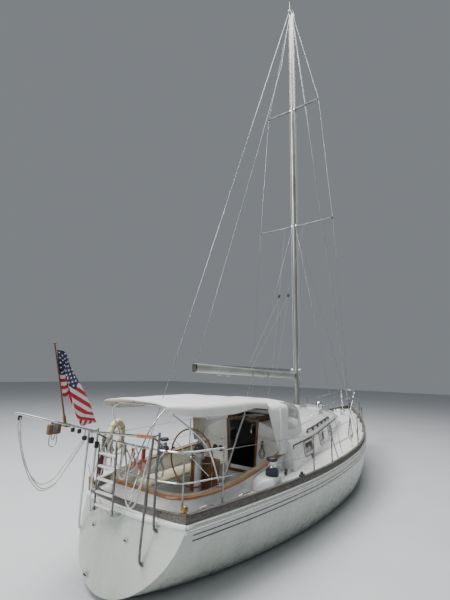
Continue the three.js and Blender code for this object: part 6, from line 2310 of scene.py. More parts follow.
def free_lines():
    route = fall_route()
    free_line("davit_fall_rope", route, FALL_R, "rope_white", ["davit_fall"])
    route = smooth_path(STERN_LINE, 240)
    free_line("stern_rope", route, STERN_R, "rope_white", ["stern_line"])
    top = Vector((-2.402, -0.46, 1.372))
    route = hank_route(top, 0.305, 0.062)
    free_line("bulkhead_hank", route, HANK_R, "rope_grey", ["hank_on_bulkhead"])
    pin = Kit()
    z = top.z - PIN_DROP
    pin.tube(
        [
            (BULK_AFT + 0.002, top.y, z), (-2.428, top.y, z), (-2.436, top.y, z + 0.006),
            (-2.438, top.y, z + 0.016),
        ],
        0.0035, 10,
    )
    pin.lathe([(0, 0), (0.016, 0), (0.016, 0.003), (0, 0.004)], (BULK_AFT, top.y, z), (-1, 0, 0), 16)
    pin.piece("bulkhead_hank_hook", "steel")
    top = Vector((-5.140, -0.02, 1.612))
    route = hank_route(top, 0.236, 0.054, wraps=3)
    free_line("pushpit_hank", route, HANK_R, "rope_orange", ["hank_on_pushpit"])
    hanger = Kit()
    z = top.z - PIN_DROP
    hanger.rod((-5.172, top.y, z), (-5.108, top.y, z), 0.0033, sides=10)
    hanger.piece("pushpit_hank_toggle", "varnish")
    strap = Kit()
    loop = [(-5.172, top.y, z), (-5.160, top.y, 1.642), (-5.153, top.y, 1.658), (-5.140, top.y, 1.6665)]
    loop += [(-5.127, top.y, 1.658), (-5.120, top.y, 1.642), (-5.108, top.y, z)]
    strap.tube(smooth_path(loop, 24), 0.003, 8)
    strap.piece("pushpit_hank_strap", "navy_cloth")


COILS = (
    ("stern_coil_white", (-5.118, 0.500, 1.628), 0.390, 0.075, "rope_white"),
    ("stern_coil_grey", (-5.072, 0.705, 1.626), 0.360, 0.070, "rope_grey"),
    ("stern_coil_red", (-5.140, -0.215, 1.628), 0.270, 0.062, "rope_red"),
    ("stern_coil_dark", (-4.935, 0.830, 1.627), 0.330, 0.060, "rope_dark"),
    ("stern_coil_long", (-5.142, 0.150, 1.628), 0.440, 0.080, "rope_white"),
    ("stern_coil_short", (-5.118, -0.500, 1.628), 0.310, 0.070, "rope_grey"),
    ("shroud_coil_starboard", (0.345, -1.366, 1.640), 0.500, 0.052, "rope_dark"),
    ("shroud_coil_port", (0.345, 1.366, 1.640), 0.500, 0.052, "rope_dark"),
)


BIGHTS = (
    (
        "stern_bight_starboard",
        (
            (-5.150, -0.080, 1.668), (-5.235, -0.075, 1.40), (-5.295, -0.110, 1.12),
            (-5.308, -0.155, 1.025), (-5.312, -0.225, 0.985), (-5.308, -0.295, 1.03),
            (-5.290, -0.335, 1.13), (-5.215, -0.352, 1.45), (-5.140, -0.340, 1.668),
        ),
    ),
    (
        "stern_bight_middle",
        (
            (-5.150, 0.425, 1.668), (-5.240, 0.425, 1.40), (-5.298, 0.430, 1.17), (-5.309, 0.455, 1.09),
            (-5.312, 0.505, 1.05), (-5.307, 0.556, 1.09), (-5.290, 0.580, 1.18), (-5.215, 0.578, 1.42),
            (-5.112, 0.568, 1.668),
        ),
    ),
    (
        "stern_bight_inner",
        (
            (-5.090, 0.630, 1.668), (-5.020, 0.560, 1.45), (-4.985, 0.430, 1.28), (-4.985, 0.250, 1.24),
            (-5.000, 0.080, 1.33), (-5.050, -0.020, 1.50), (-5.148, -0.045, 1.668),
        ),
    ),
)


def coils():
    """Bights of rope over the stern rail, and lines made up in hanks on it and on the cap shrouds."""
    for name, points in BIGHTS:
        free_line(name, smooth_path(points, 150), BIGHT_R, "rope_white")
    straps = Kit()
    for name, at, drop, wide, look in COILS:
        top = Vector(at)
        free_line(name, hank_route(top, drop, wide), HANK_R, look)
        z = top.z - PIN_DROP
        straps.rod((top.x - 0.032, top.y, z), (top.x + 0.032, top.y, z), 0.0033, sides=10)
        loop = [
            (-0.032, 0), (-0.020, 0.030), (-0.011, 0.043), (0, 0.047), (0.011, 0.043), (0.020, 0.030),
            (0.032, 0),
        ]
        straps.tube(smooth_path([(top.x + dx, top.y, z + dz) for dx, dz in loop], 24), 0.003, 8)
    straps.piece("coil_straps", "navy_cloth")


# Pulpit, pushpit and guard rails

RAIL_R, MID_R = 0.013, 0.010
PUSHPIT = ((-4.47, 1.010), (-5.01, 0.80), (-5.105, 0.60), (-5.14, 0.33))
PUSHPIT_TOP, PUSHPIT_MID = 1.650, 1.300
STANCHIONS = (-2.26, -1.47, 0.45, 2.15, 3.35)
GATE_BRACE = (-1.47, -1.09, 0.55)
WIRE_HIGH = (0.66, 0.33)


def rail_foot(x, inset, side=PORT):
    half = half_breadth(x) - inset
    return on_deck(x, side * half)


def base_plate(kit, at, r=0.034, thick=0.006):
    """The round foot of a post, with its collar and three screws."""
    at = at - vertical(0.001)
    kit.lathe(
        [(0, 0), (r, 0), (r, thick * 0.6), (r - 0.004, thick), (0.019, thick), (0.017, 0.035), (0, 0.035)],
        at, sides=20,
    )
    for k in range(3):
        a = 2 * pi * k / 3 + 0.5
        p = at + Vector((cos(a), sin(a), 0)) * (r * 0.76) + vertical(thick * 0.9)
        kit.lathe([(0, 0), (0.0045, 0), (0.0035, 0.0022), (0, 0.0026)], p, sides=8)


def up_at(foot, high):
    return Vector((foot.x, foot.y * 0.97, sheer(foot.x) + high))


def pulpit():
    kit = Kit()
    aft, fore = rail_foot(3.95, 0.075), rail_foot(4.70, 0.075)
    side = [
        up_at(aft, 0.66), up_at(fore, 0.70), Vector((5.33, 0.26, sheer(5.33) + 0.70)),
        Vector((5.56, 0.13, sheer(5.40) + 0.70)),
    ]
    kit.tube(smooth_path(side + mirrored(side), 90), RAIL_R, 14)
    toe = rail_foot(5.02, 0.125)
    for s in SIDES:
        flip = lambda p: Vector((p.x, s * p.y, p.z))
        for foot, high in ((aft, 0.66), (fore, 0.70)):
            kit.rod(flip(foot), flip(up_at(foot, high)), RAIL_R, sides=14)
            base_plate(kit, flip(foot))
        kit.rod(flip(toe + vertical(0.004)), flip(side[2]), RAIL_R, sides=14)
        base_plate(kit, flip(toe), 0.030)
        kit.rod(flip(up_at(aft, 0.34)), flip(up_at(fore, 0.36)), MID_R, sides=12)
        for foot in (aft, fore):
            kit.ball(flip(up_at(foot, 0.34 if foot is aft else 0.36)), 0.0155, sides=14, rings=8)
    kit.piece("pulpit_tubes", "steel", replaces=["bow_pulpit"], smooth=50)
    side_lights()


def side_lights():
    """The red and green lamps on the pulpit, under one dark hood each."""
    lights = Kit()
    for s, look in ((PORT, "red_plastic"), (STARBOARD, "green_plastic")):
        p = Vector((5.43, s * 0.20, sheer(5.33) + 0.655))
        Kit().box(p - Vector((0.028, 0.018, 0.022)), p + Vector((0.028, 0.018, 0.022)), 0.008).piece(
            "side_light_port" if s == PORT else "side_light_starboard", look, slot="glass",
        )
        lights.box(p + Vector((-0.034, -0.022, 0.022)), p + Vector((0.034, 0.022, 0.034)), 0.004)
    lights.piece("side_light_hoods", "black_plastic")


def pushpit():
    kit = Kit()
    for z, r in ((PUSHPIT_TOP, RAIL_R), (PUSHPIT_MID, MID_R)):
        side = [Vector((x, y, z)) for x, y in PUSHPIT]
        kit.tube(smooth_path(side + mirrored(side), 110), r, 14)
    posts = Kit()
    for x, y in PUSHPIT:
        if abs(y - 0.60) < 1e-6:
            continue
        for s in SIDES:
            foot = on_deck(x, s * y)
            posts.rod(foot, (x, s * y, PUSHPIT_TOP), 0.0125, sides=14)
            base_plate(posts, foot)
            kit.ball((x, s * y, PUSHPIT_MID), 0.0155, sides=14, rings=8)
            kit.ball((x, s * y, PUSHPIT_TOP), 0.0150, sides=14, rings=8)
    kit.piece("pushpit_tubes", "steel", replaces=["pushpit"], smooth=50)
    posts.piece("pushpit_posts", "post_steel", smooth=50)


def side_rails():
    for side, name in NAMED_SIDES:
        posts = Kit()
        caps = Kit()
        tops, mids = [], []
        for x in STANCHIONS:
            foot = rail_foot(x, 0.075, side)
            head = foot + vertical(WIRE_HIGH[0] + 0.012)
            posts.tube(
                [foot, foot + vertical(0.3), head - vertical(0.006), head - vertical(0.001)], 0.0125, 14,
                taper=ending(0.7),
            )
            base_plate(posts, foot, 0.036, 0.008)
            posts.lathe(
                [(0.0126, 0), (0.0195, 0.003), (0.0195, 0.052), (0.0126, 0.056)], foot + vertical(0.005),
                sides=16,
            )
            tops.append(foot + vertical(WIRE_HIGH[0]))
            mids.append(foot + vertical(WIRE_HIGH[1]))
            for z in WIRE_HIGH:
                caps.ball(foot + vertical(z), 0.0085, (1.6, 1.0, 1.0), 10, 6)
        post_x, foot_x, high = GATE_BRACE
        post, foot = rail_foot(post_x, 0.075, side), rail_foot(foot_x, 0.075, side)
        posts.tube([post + vertical(high), foot + vertical(0.002)], 0.0105, 12)
        base_plate(posts, foot, 0.030, 0.006)
        posts.piece("stanchions_" + name, "post_steel", replaces=["side_rail_" + name], smooth=45)
        caps.piece("stanchion_ferrules_" + name, "grey_plastic", slot="stainless")
        wires = Kit()
        wire_runs = ((tops, 1.630, 0.60), (mids, 1.300, 0.30))
        aft_x, aft_y = PUSHPIT[0][0] + 0.04, PUSHPIT[0][1] + 0.019
        bow = rail_foot(3.905, 0.078, side)
        for line, aft_z, fore_z in wire_runs:
            run = [Vector((aft_x, side * aft_y, aft_z))] + line + [bow + vertical(fore_z)]
            for a, b in zip(run, run[1:]):
                wires.rod(a, b, 0.0035, sides=8)
        wires.piece("guard_wires_" + name, "wire", smooth=60)
        screws = Kit()
        for line, aft_z, fore_z in wire_runs:
            for end, to in (
                (Vector((aft_x, side * aft_y, aft_z)), line[0]), (bow + vertical(fore_z), line[-1]),
            ):
                along = (to - end).normalized()
                screws.tube([end, end + along * 0.01, end + along * 0.11, end + along * 0.12], 0.0068, 10)
                screws.rod(end - along * 0.03, end, 0.0035, sides=8)
        screws.piece("guard_wire_screws_" + name, "chrome")


# Stern frame, davit arms, staff, flag, ladder

FRAME_LEGS = (
    ((-0.500, 0.470), (-5.290, -0.530, 1.850)),
    ((-0.570, 0.790), (-5.230, -0.570, 1.880)),
    ((0.760, 0.500), (-5.290, 0.760, 1.765)),
    ((0.640, 0.720), (-5.230, 0.640, 1.800)),
)
BAR_ENDS = (Vector((-5.290, -0.545, 1.832)), Vector((-5.290, 0.775, 1.747)))
ARM_ENDS = (Vector((-5.285, 0, 1.768)), Vector((-6.340, 0, 2.085)))
ARM_Y = (0.760, 0.610)
STAFF = (Vector((-5.715, 0.700, 1.917)), Vector((-6.000, 0.700, 2.960)))


def on_bar(y):
    a, b = BAR_ENDS
    return a.lerp(b, (y - a.y) / (b.y - a.y))


def on_arm(x, y):
    a, b = ARM_ENDS
    p = a.lerp(b, (x - a.x) / (b.x - a.x))
    return Vector((p.x, y, p.z))


def transom_point(y, z, out=0.0):
    return Vector((transom_x(y, z) - out, y, z))


def stern_frame():
    # dark takes the darker steel as painted shade: the starboard legs and the cross rods; bright takes the rest.
    dark = Kit()
    bright = Kit()
    for (y, z), top in FRAME_LEGS:
        foot = transom_point(y, z)
        mid = foot.lerp(Vector(top), 0.42) + Vector((-0.035, 0, 0))
        # Starboard legs in painted shade, port legs bright.
        kit = dark if y < 0 else bright
        kit.tube(smooth_path([foot, foot + Vector((-0.025, 0, 0.012)), mid, Vector(top)], 24), 0.0150, 14)
        normal = Vector((-1, 0, -0.33)).normalized()
        kit.lathe(
            [(0, 0), (0.034, 0), (0.034, 0.006), (0.026, 0.010), (0.016, 0.012), (0, 0.012)],
            foot + Vector((0.002, 0, 0)), normal, 20,
        )
    bright.rod(*BAR_ENDS, 0.0150, sides=14)
    tops = [Vector(top) - vertical(0.018) for _, top in FRAME_LEGS]
    for a, b, y in ((tops[1], tops[0], -0.530), (tops[3], tops[2], 0.600)):
        dark.rod(a, b, 0.012, sides=12)
        dark.rod(on_bar(y), (-5.105, copysign(0.60, y), PUSHPIT_TOP), 0.012, sides=12)
    for y in ARM_Y:
        a, b = on_arm(ARM_ENDS[0].x, y), on_arm(ARM_ENDS[1].x, y)
        tip = b + (a - b).normalized() * 0.004
        bright.tube([a, a.lerp(b, 0.5), tip, b], 0.0140, 14, taper=ending(0.7))
    for x in (-6.250, STAFF[0].x):
        bright.rod(on_arm(x, ARM_Y[1]), on_arm(x, ARM_Y[0]), 0.012, sides=12)
    bright.piece("stern_frame_bright", "steel", replaces=["stern_frame"], smooth=50)
    dark.piece("stern_frame_painted_shade", "dark_steel", smooth=50)
    stern_bar_grip()
    staff_socket()
    stern_blocks()


def stern_bar_grip():
    grip = Kit()
    a, b = on_bar(-0.540), on_bar(-0.240)
    grip.tube([a.lerp(b, t) for t in (0, 0.02, 0.5, 0.98, 1)], 0.021, 14, taper=ending(0.75, both=True))
    grip.piece("stern_bar_grip", "varnish")


def staff_socket():
    socket = Kit()
    along = (STAFF[1] - STAFF[0]).normalized()
    socket.lathe(
        [(0.0122, 0.0), (0.020, 0.0), (0.020, 0.10), (0.017, 0.105), (0.0122, 0.105)],
        STAFF[0] - along * 0.012, along, 20,
    )
    socket.box((-5.746, 0.602, 1.871), (-5.684, 0.769, 1.911), 0.006)
    socket.piece("staff_socket", "bronze")


def stern_blocks():
    """Three small blocks that the davit fall runs through and two larger ones, hung from the frame."""
    blocks = Kit()
    for at in ((-5.352, 0.752, 1.672), (-5.352, 0.785, 1.668), (-6.262, 0.780, 2.018)):
        block(blocks, at, (0.02, 0, 1), 0.045)
        blocks.rod(Vector(at) + vertical(0.02), on_arm(at[0], 0.760), 0.003, sides=6)
    for y, z in ((0.690, 1.64), (0.560, 1.60)):
        block(blocks, (-5.288, y, z), (0.05, 0, 1), 0.065)
        blocks.rod((-5.288, y, z + 0.05), on_bar(y), 0.003, sides=6)
    blocks.piece("stern_blocks", "black_plastic")


def staff_and_flag():
    along = (STAFF[1] - STAFF[0]).normalized()
    pole = Kit()
    pole.tube(
        [STAFF[0].lerp(STAFF[1], t) for t in (0, 0.4, 0.97)], 0.012, 16, taper=lambda t: lerp(1.0, 0.78, t),
    )
    pole.ball(STAFF[1] - along * 0.020, 0.019, (1, 1, 1), 18, 12)
    pole.piece("staff_pole", "dark_red_wood", replaces=["flag_staff"], smooth=60)
    flag()


FLAG_HOIST, FLAG_FLY, FLAG_TURN = 0.66, 1.25, radians(33)
FLAG_TOP = Vector((-5.968, 0.700, 2.880))


def flag_point(across, down):
    """Where a point of the limp flag hangs; across runs from the hoist, down from the top edge."""
    staff = (STAFF[0] - STAFF[1]).normalized()
    held = FLAG_TOP + staff * (0.02 + down * 0.95) + Vector((0.99, 0, -0.08)) * across
    held.y += 0.010 * sin(across * 26 + down * 5)
    along = across * cos(FLAG_TURN) + down * sin(FLAG_TURN)
    out = down * cos(FLAG_TURN) - across * sin(FLAG_TURN)
    wide = 0.10 + 0.15 * ease(clamp(along, 0, 1))
    folded = wide / pi * asin(0.985 * sin(pi * out / wide))
    layer = abs(out) / wide
    low = min(along, 1.0) + max(along - 1.0, 0) * 0.55
    way, side = Vector((0.494, 0, -0.869)), Vector((-0.869, 0, -0.494))
    hung = FLAG_TOP + way * low + side * (folded - 0.02)
    hung.y = 0.655 + 0.030 * max(layer - 0.5, 0) + (0.012 if out < 0 else 0.0) * min(layer, 1)
    hung.y += 0.012 * sin(along * 7 + out * 9)
    return held.lerp(hung, ease(clamp((across - 0.03) / 0.26, 0, 1)))


def flag():
    """The ensign, hanging limp in folds from its staff: thirteen stripes and a blue canton."""
    stripes, along, canton = 13, 64, 26
    rows = [
        [flag_point(FLAG_FLY * j / along, FLAG_HOIST * i / (stripes * 4)) for j in range(along + 1)]
        for i in range(stripes * 4 + 1)
    ]
    obj = Kit().grid(rows).piece(
        "flag_cloth", ["flag_red", "flag_white", "flag_blue"], replaces=["flag"], smooth=70, weld=1e-7,
    )
    for k, face in enumerate(obj.data.polygons):
        i, j = divmod(k, along)
        face.material_index = 2 if i < 7 * 4 and j < canton else (i // 4) % 2
    thicken(obj, 0.0016, 70, offset=0)
    stars = Kit()
    for row in range(9):
        for col in range(6 - row % 2):
            x = (1 + 2 * col + row % 2) * FLAG_FLY * 0.4 / 12
            y = (1 + row) * FLAG_HOIST * 7 / 13 / 10
            for lift in (-0.0022, 0.0022):
                ring = []
                for k in range(10):
                    r = 0.019 if k % 2 == 0 else 0.0085
                    a = pi * k / 5
                    dx, dy = r * sin(a), -r * cos(a)
                    here = flag_point(x + dx, y + dy)
                    u = flag_point(x + dx + 0.004, y + dy) - here
                    v = flag_point(x + dx, y + dy + 0.004) - here
                    ring.append(here + u.cross(v).normalized() * lift)
                stars.cap(ring)
    star = stars.piece("flag_stars", "flag_white", smooth=30)
    hem = Kit()
    line = [r[0] for r in rows]
    hem.tube(line[::4], 0.006, 8)
    band = hem.piece("flag_heading", "canvas_trim", slot="flag_cloth")


LADDER = {"x": -5.350, "low": 0.850, "high": 1.640, "ys": (0.040, 0.400), "lean": 0.015}


def ladder():
    rails = Kit()
    for y in LADDER["ys"]:
        a = Vector((LADDER["x"], y, LADDER["low"]))
        b = Vector((LADDER["x"] - LADDER["lean"], y, LADDER["high"]))
        rails.tube([a, a.lerp(b, 0.5), b.lerp(a, 0.006), b], 0.012, 14, taper=ending(0.7))
        rails.lathe([(0, -0.0145), (0.0145, -0.0145), (0.0145, 0.0145), (0, 0.0145)], a, (0, 1, 0), 16)
    for k in range(5):
        z = LADDER["low"] + 0.060 + 0.155 * k
        rails.rod((-5.351, 0.046, z), (-5.351, 0.394, z), 0.0075, sides=10)
    rails.piece("ladder_rails", "dark_steel", "ladder", replaces=["boarding_ladder"], smooth=50)
    treads = Kit()
    for k in range(5):
        z = LADDER["low"] + 0.060 + 0.155 * k
        treads.box((-5.372, 0.053, z - 0.011), (-5.328, 0.387, z + 0.013), 0.006)
    treads.piece("ladder_treads", "canvas_trim", "ladder", slot="stainless")
    cheeks = Kit()
    for y in (0.018, 0.422):
        cheeks.box((-5.366, y - 0.004, 0.834), (transom_x(y, 0.85) + 0.006, y + 0.004, 0.866), 0.002, 1)
    pin = [(0, -0.010), (0.010, -0.010), (0.010, -0.006), (0.0075, -0.005), (0.0075, 0.005), (0, 0.005)]
    for y, way in ((0.018, 1), (0.422, -1)):
        cheeks.lathe(pin, (-5.350, y, 0.850), (0, way, 0), 14)
    cheeks.piece("ladder_cheeks", "steel")


# Canvas: bimini, spray hood, cushions

# x, half-width, height where the cloth ends, height at the middle.
BIMINI = (
    (-5.190, 0.620, 2.130, 2.225),
    (-4.700, 0.800, 2.040, 2.250),
    (-4.000, 0.850, 2.030, 2.250),
    (-3.310, 0.850, 2.070, 2.210),
    (-2.925, 0.850, 2.060, 2.180),
)
DODGER = (
    (-2.900, 0.860, 1.990, 2.150),
    (-2.640, 0.960, 1.260, 2.150),
    (-1.990, 0.950, 1.260, 2.130),
    (-1.680, 0.910, 1.300, 2.060),
    (-1.420, 0.850, 1.400, 1.780),
)
CLOTH = 0.0016
TUBE = 0.012


def canopy_row(table, x, count):
    """Points across a canopy at x, from starboard edge over the crown to port edge."""
    half, foot, top = (smooth_row(table, x, k) for k in (1, 2, 3))
    drop = top - foot
    fall = 0.09 if drop > 0.25 else min(0.04 + 0.05 * ease((drop - 0.1) / 0.15), 0.09)
    fine = [Vector((x, half * s, top - fall * s**3)) for s in (0, 0.2, 0.4, 0.6, 0.75, 0.86)]
    round_low = min(0.09, (drop - fall) * 0.45)
    fine.append(Vector((x, half * 0.955, top - fall * 0.80 - 0.12 * round_low)))
    fine.append(Vector((x, half * 0.992, top - fall - 0.40 * round_low)))
    fine.append(Vector((x, half, top - fall - round_low)))
    if drop - fall - round_low > 0.2:
        fine.append(Vector((x, half * 0.998, lerp(top - fall - round_low, foot, 0.5))))
    fine.append(Vector((x, half, foot)))
    side = smooth_path(fine, count)
    return mirrored(side) + side[1:]


def soft(p, k=1.0):
    """A small smooth wander of cloth, the same at every run."""
    return k * (
        sin(p.x * 7.3 + 2.1 * sin(p.y * 5.1)) * 0.5
        + sin(p.y * 11.7 + 1.7 * sin(p.x * 4.3 + 0.6)) * 0.3
        + sin((p.x + p.y) * 19.0 + p.z * 7.0) * 0.2
    )


def cloth_rows(table, xs, count, supports, sag, ripple):
    rows = []
    for x in xs:
        row = canopy_row(table, x, count)
        near = min(abs(x - s) for s in supports)
        low = sag * ease(clamp(near / 0.35, 0, 1))
        half = smooth_row(table, x, 1)
        out = []
        for p in row:
            flat = 1 - clamp(abs(p.y) / half, 0, 1) ** 3
            wander = soft(p, ripple) * ease(clamp(near / 0.12, 0, 1))
            out.append(
                Vector((p.x, p.y * (1 - 0.5 * abs(wander)), p.z - low * flat + wander * (0.4 + 0.6 * flat)))
            )
        rows.append(out)
    return rows


def sheet_piece(name, kit, rows, looks, replaces):
    """A cloth piece with its own thickness."""
    obj = kit.piece(name, looks, replaces=replaces, smooth=60)
    thicken(obj, CLOTH, 60, offset=0)
    across = sum(line_length(r) for r in rows) / len(rows)
    mid = len(rows[0]) // 2
    along = line_length([r[mid] for r in rows])
    return obj


def hoop(foot, top_x, top_half, top):
    x, half, z = foot
    side = [Vector((x, half, z)), Vector((lerp(x, top_x, 0.5), half, lerp(z, top, 0.55)))]
    shoulder = [Vector((top_x, top_half, top - 0.09)), Vector((top_x, top_half - 0.12, top - 0.02))]
    left = side + shoulder
    return smooth_path(left + [Vector((top_x, 0, top))] + mirrored(left), 110)


def bimini():
    xs = spaced(-5.188, -2.926, 0.035)
    rows = cloth_rows(BIMINI, xs, 26, (-5.19, -5.04, -3.56, -2.925), 0.022, 0.006)
    kit = Kit().grid(rows)
    hems = Kit()
    for line in (rows[0], rows[-1], [r[0] for r in rows], [r[-1] for r in rows]):
        hems.tube(line, 0.0055, 8)
    seams = Kit()
    for x in (-4.46, -3.90, -3.30):
        lift = [p + vertical(0.0014) for p in rows[nearest(xs, x)]]
        tape = ((-0.012, -0.001), (-0.011, 0.0008), (0.011, 0.0008), (0.012, -0.001))
        seams.grid([[p + Vector((dx, 0, dz)) for p in lift] for dx, dz in tape])
    roll = Kit()
    for k, (r, dz, y0, y1) in enumerate(((0.024, -0.012, 0.60, 0.02), (0.013, -0.002, 0.04, -0.60))):
        pts = []
        for i in range(31):
            y = lerp(y0, y1, i / 30)
            crown = 2.225 - 0.04 * (abs(y) / 0.62) ** 3
            pts.append((-5.170 + 0.004 * sin(9 * y), y, crown + dz + 0.003 * sin(14 * y)))
        (roll if k == 0 else hems).tube(pts, r, 14, taper=plump(0.55, 0.45, 0.03, 0.35))
    hem = hems.piece("bimini_hems", "canvas_trim", smooth=60)
    seam = seams.piece("bimini_seams", "canvas_trim", smooth=60)
    rolled = roll.piece("bimini_rolled_flap", "tan_canvas", smooth=60)
    sheet_piece("bimini_cloth", kit, rows, "canvas", ["bimini"])


def canopy_frames():
    kit = Kit()
    kit.tube(hoop((-4.350, 0.872, 1.150), -5.040, 0.590, 2.170), TUBE, 14)
    kit.tube(hoop((-4.290, 0.872, 1.150), -3.560, 0.770, 2.170), TUBE, 14)
    for s in SIDES:
        for x in (-4.350, -4.290):
            kit.ball((x, s * 0.872, 1.150), 0.0155, sides=14, rings=8)
        kit.box_on(s, (-4.370, 0.850, 1.130), (-4.270, 0.894, 1.145), 0.004)
        for x in (-4.350, -4.290):
            for y in (0.853, 0.887):
                kit.post(x, s * (y + 0.002), 0.014, 0.002, 1.140, 1.170, 0.001, 1)
    kit.piece("bimini_hoops", "steel", replaces=["bimini_frame"], smooth=50)
    kit = Kit()
    kit.tube(hoop((-2.560, 0.880, 1.250), -2.740, 0.820, 2.085), TUBE, 14)
    for s in SIDES:
        kit.lathe(
            [(0, 0), (0.028, 0), (0.028, 0.005), (0.016, 0.009), (0.0145, 0.03), (0, 0.03)],
            (-2.560, s * 0.880, coaming_z(-2.56) + 0.028), sides=18,
        )
    kit.piece("dodger_hoop", "steel", replaces=["dodger_frame"], smooth=50)


HOOD = (-1.585, 0.440, 1.8815)


def surface_under(x, y):
    """Height of the coachroof or of the hatch's hood under a point, or -1 away from both."""
    if x < -2.335 or abs(y) > trunk_half(x) - 0.02:
        return -1.0
    z = roof_z(x, abs(y))
    if x > HOOD[0] and abs(y) < HOOD[1]:
        z = max(z, HOOD[2])
    return z + 0.005


def dodger():
    xs = spaced(-2.898, -2.640, 0.03)[:-1] + spaced(-2.640, -1.680, 0.03)[:-1] + spaced(
        -1.680, -1.422, 0.022,
    )
    raw = cloth_rows(DODGER, xs, 34, (-2.90, -2.64, -1.99, -1.68, -1.42), 0.012, 0.004)
    rows = []
    for row in raw:
        out = []
        for p in row:
            out.append(Vector((p.x, p.y, max(p.z, surface_under(p.x, p.y)))))
        rows.append(out)
    kit = Kit().grid(rows)
    binding = Kit()
    for line in (rows[0], rows[-1], [r[0] for r in rows], [r[-1] for r in rows]):
        binding.tube(line, 0.006, 8)
    mid = len(rows[0]) // 2
    panes = []
    for side in SIDES:
        high, low = (mid + side * 15, mid + side * 27)
        panes.append((nearest(xs, -2.30), nearest(xs, -1.74), min(high, low), max(high, low)))
    for a, b in ((-21, -9), (-7, 7), (9, 21)):
        panes.append((nearest(xs, -1.655), nearest(xs, -1.475), mid + a, mid + b))
    for i0, i1, j0, j1 in panes:
        edge = [rows[i0][j] for j in range(j0, j1 + 1)] + [rows[i][j1] for i in range(i0 + 1, i1 + 1)]
        edge += [
            rows[i1][j] for j in range(j1 - 1, j0 - 1, -1)
        ] + [rows[i][j0] for i in range(i1 - 1, i0, -1)]
        binding.tube(edge, 0.0052, 8, closed=True)
    hem = binding.piece("dodger_bindings", "canvas_trim", smooth=60)
    # Slack cloth hangs in three folds down each side, behind the window.
    flap = Kit()
    for side in SIDES:
        for k, (r, dx) in enumerate(((0.022, -2.655), (0.017, -2.625), (0.013, -2.603))):
            line = []
            for i in range(25):
                z = lerp(2.03, 1.265 + 0.04 * k, i / 24)
                line.append((dx + 0.006 * sin(9 * z + k), side * (0.974 - 0.006 * k), z))
            flap.tube(line, r, 12, taper=plump(0.6, 0.4, 0.02, 0.4))
    folds = flap.piece("dodger_rolled_sides", "canvas", smooth=60)
    looks = ["canvas", "vinyl"]
    obj = sheet_piece(
        "dodger_cloth", kit, rows, looks, ["dodger"],
    )
    points = {}
    for pane in panes:
        i0, i1, j0, j1 = pane
        for i in range(i0, i1):
            for j in range(j0, j1):
                c = (rows[i][j] + rows[i + 1][j] + rows[i][j + 1] + rows[i + 1][j + 1]) / 4
                points[(round(c.x, 2), round(c.y, 2), round(c.z, 2))] = c
    centres = list(points.values())
    for poly in obj.data.polygons:
        c = poly.center
        if poly.area < 2e-5:
            continue
        if any((c - q).length < 0.004 for q in centres):
            poly.material_index = 1


CUSHION_X = (-4.370, -2.450)
CUSHION_Z = (0.864, 0.928)


def cushion_outline(side, shrink):
    """Half-seat outline with rounded corners: well side straight, coaming side curved."""
    xs = spaced(CUSHION_X[0] + shrink, CUSHION_X[1] - shrink, 0.04)
    outer = [(x, cockpit_half(x) - 0.130 - shrink) for x in xs]
    inner = [(x, WELL_HALF + shrink) for x in xs[::-1]]
    pts = outer + inner
    r = 0.045
    out = []
    for i, p in enumerate(pts):
        a, b = Vector(pts[i - 1]), Vector(pts[(i + 1) % len(pts)])
        q = Vector(p)
        u, w = (a - q).normalized(), (b - q).normalized()
        if u.dot(w) > -0.5:
            for k in range(7):
                t = k / 6
                s = (1 - t) ** 2
                m = 2 * t * (1 - t)
                out.append(tuple((q + u * r) * s + q * m + (q + w * r) * (t * t)))
        else:
            out.append(p)
    return [(x, side * y) for x, y in out]


PAD_FRAMES = 16
PAD_CLOTH = {
    "quality": 4,
    "mass": 0.3,
    "tension_stiffness": 12,
    "compression_stiffness": 6,
    "shear_stiffness": 4,
    "bending_stiffness": 0.4,
    "use_pressure": True,
    "uniform_pressure_force": 4,
    "vertex_group_mass": "base",
}


def padded_form(name, outline, low, high, rise):
    kit = Kit()
    n = len(outline)
    cx = sum(p[0] for p in outline) / n
    cy = sum(p[1] for p in outline) / n
    rows = []
    for inset, z in (
        (0.012, low), (0.0, low + 0.012), (0.0, high - 0.014), (0.005, high - 0.005), (0.016, high),
    ):
        ring = []
        for x, y in outline:
            d = Vector((cx - x, cy - y))
            ring.append(Vector((x, y, z)) + Vector((d.x, d.y, 0)).normalized() * inset)
        rows.append(ring)
    kit.grid(rows, wrap=True, ends=True)
    obj = kit.object("cutter")
    obj.name = name + "_work"
    modifier(obj, "REMESH", mode="VOXEL", voxel_size=0.010)
    apply_modifiers(obj)
    start = [v.co.copy() for v in obj.data.vertices]
    scene = bpy.context.scene
    group = obj.vertex_groups.new(name="base")
    under = [v.index for v in obj.data.vertices if v.co.z < low + 0.004]
    group.add(under, 1.0, "REPLACE")
    mod = obj.modifiers.new("puff", "CLOTH")
    for key, value in PAD_CLOTH.items():
        setattr(mod.settings, key, value)
    mod.settings.effector_weights.gravity = 0
    mod.collision_settings.use_collision = False
    mod.point_cache.frame_start = 1
    mod.point_cache.frame_end = PAD_FRAMES
    for f in range(1, PAD_FRAMES + 1):
        scene.frame_set(f)
    apply_modifiers(obj)
    scene.frame_set(1)
    for v, s in zip(obj.data.vertices, start):
        move = v.co - s
        if move.length > rise:
            v.co = s + move.normalized() * rise
    return obj


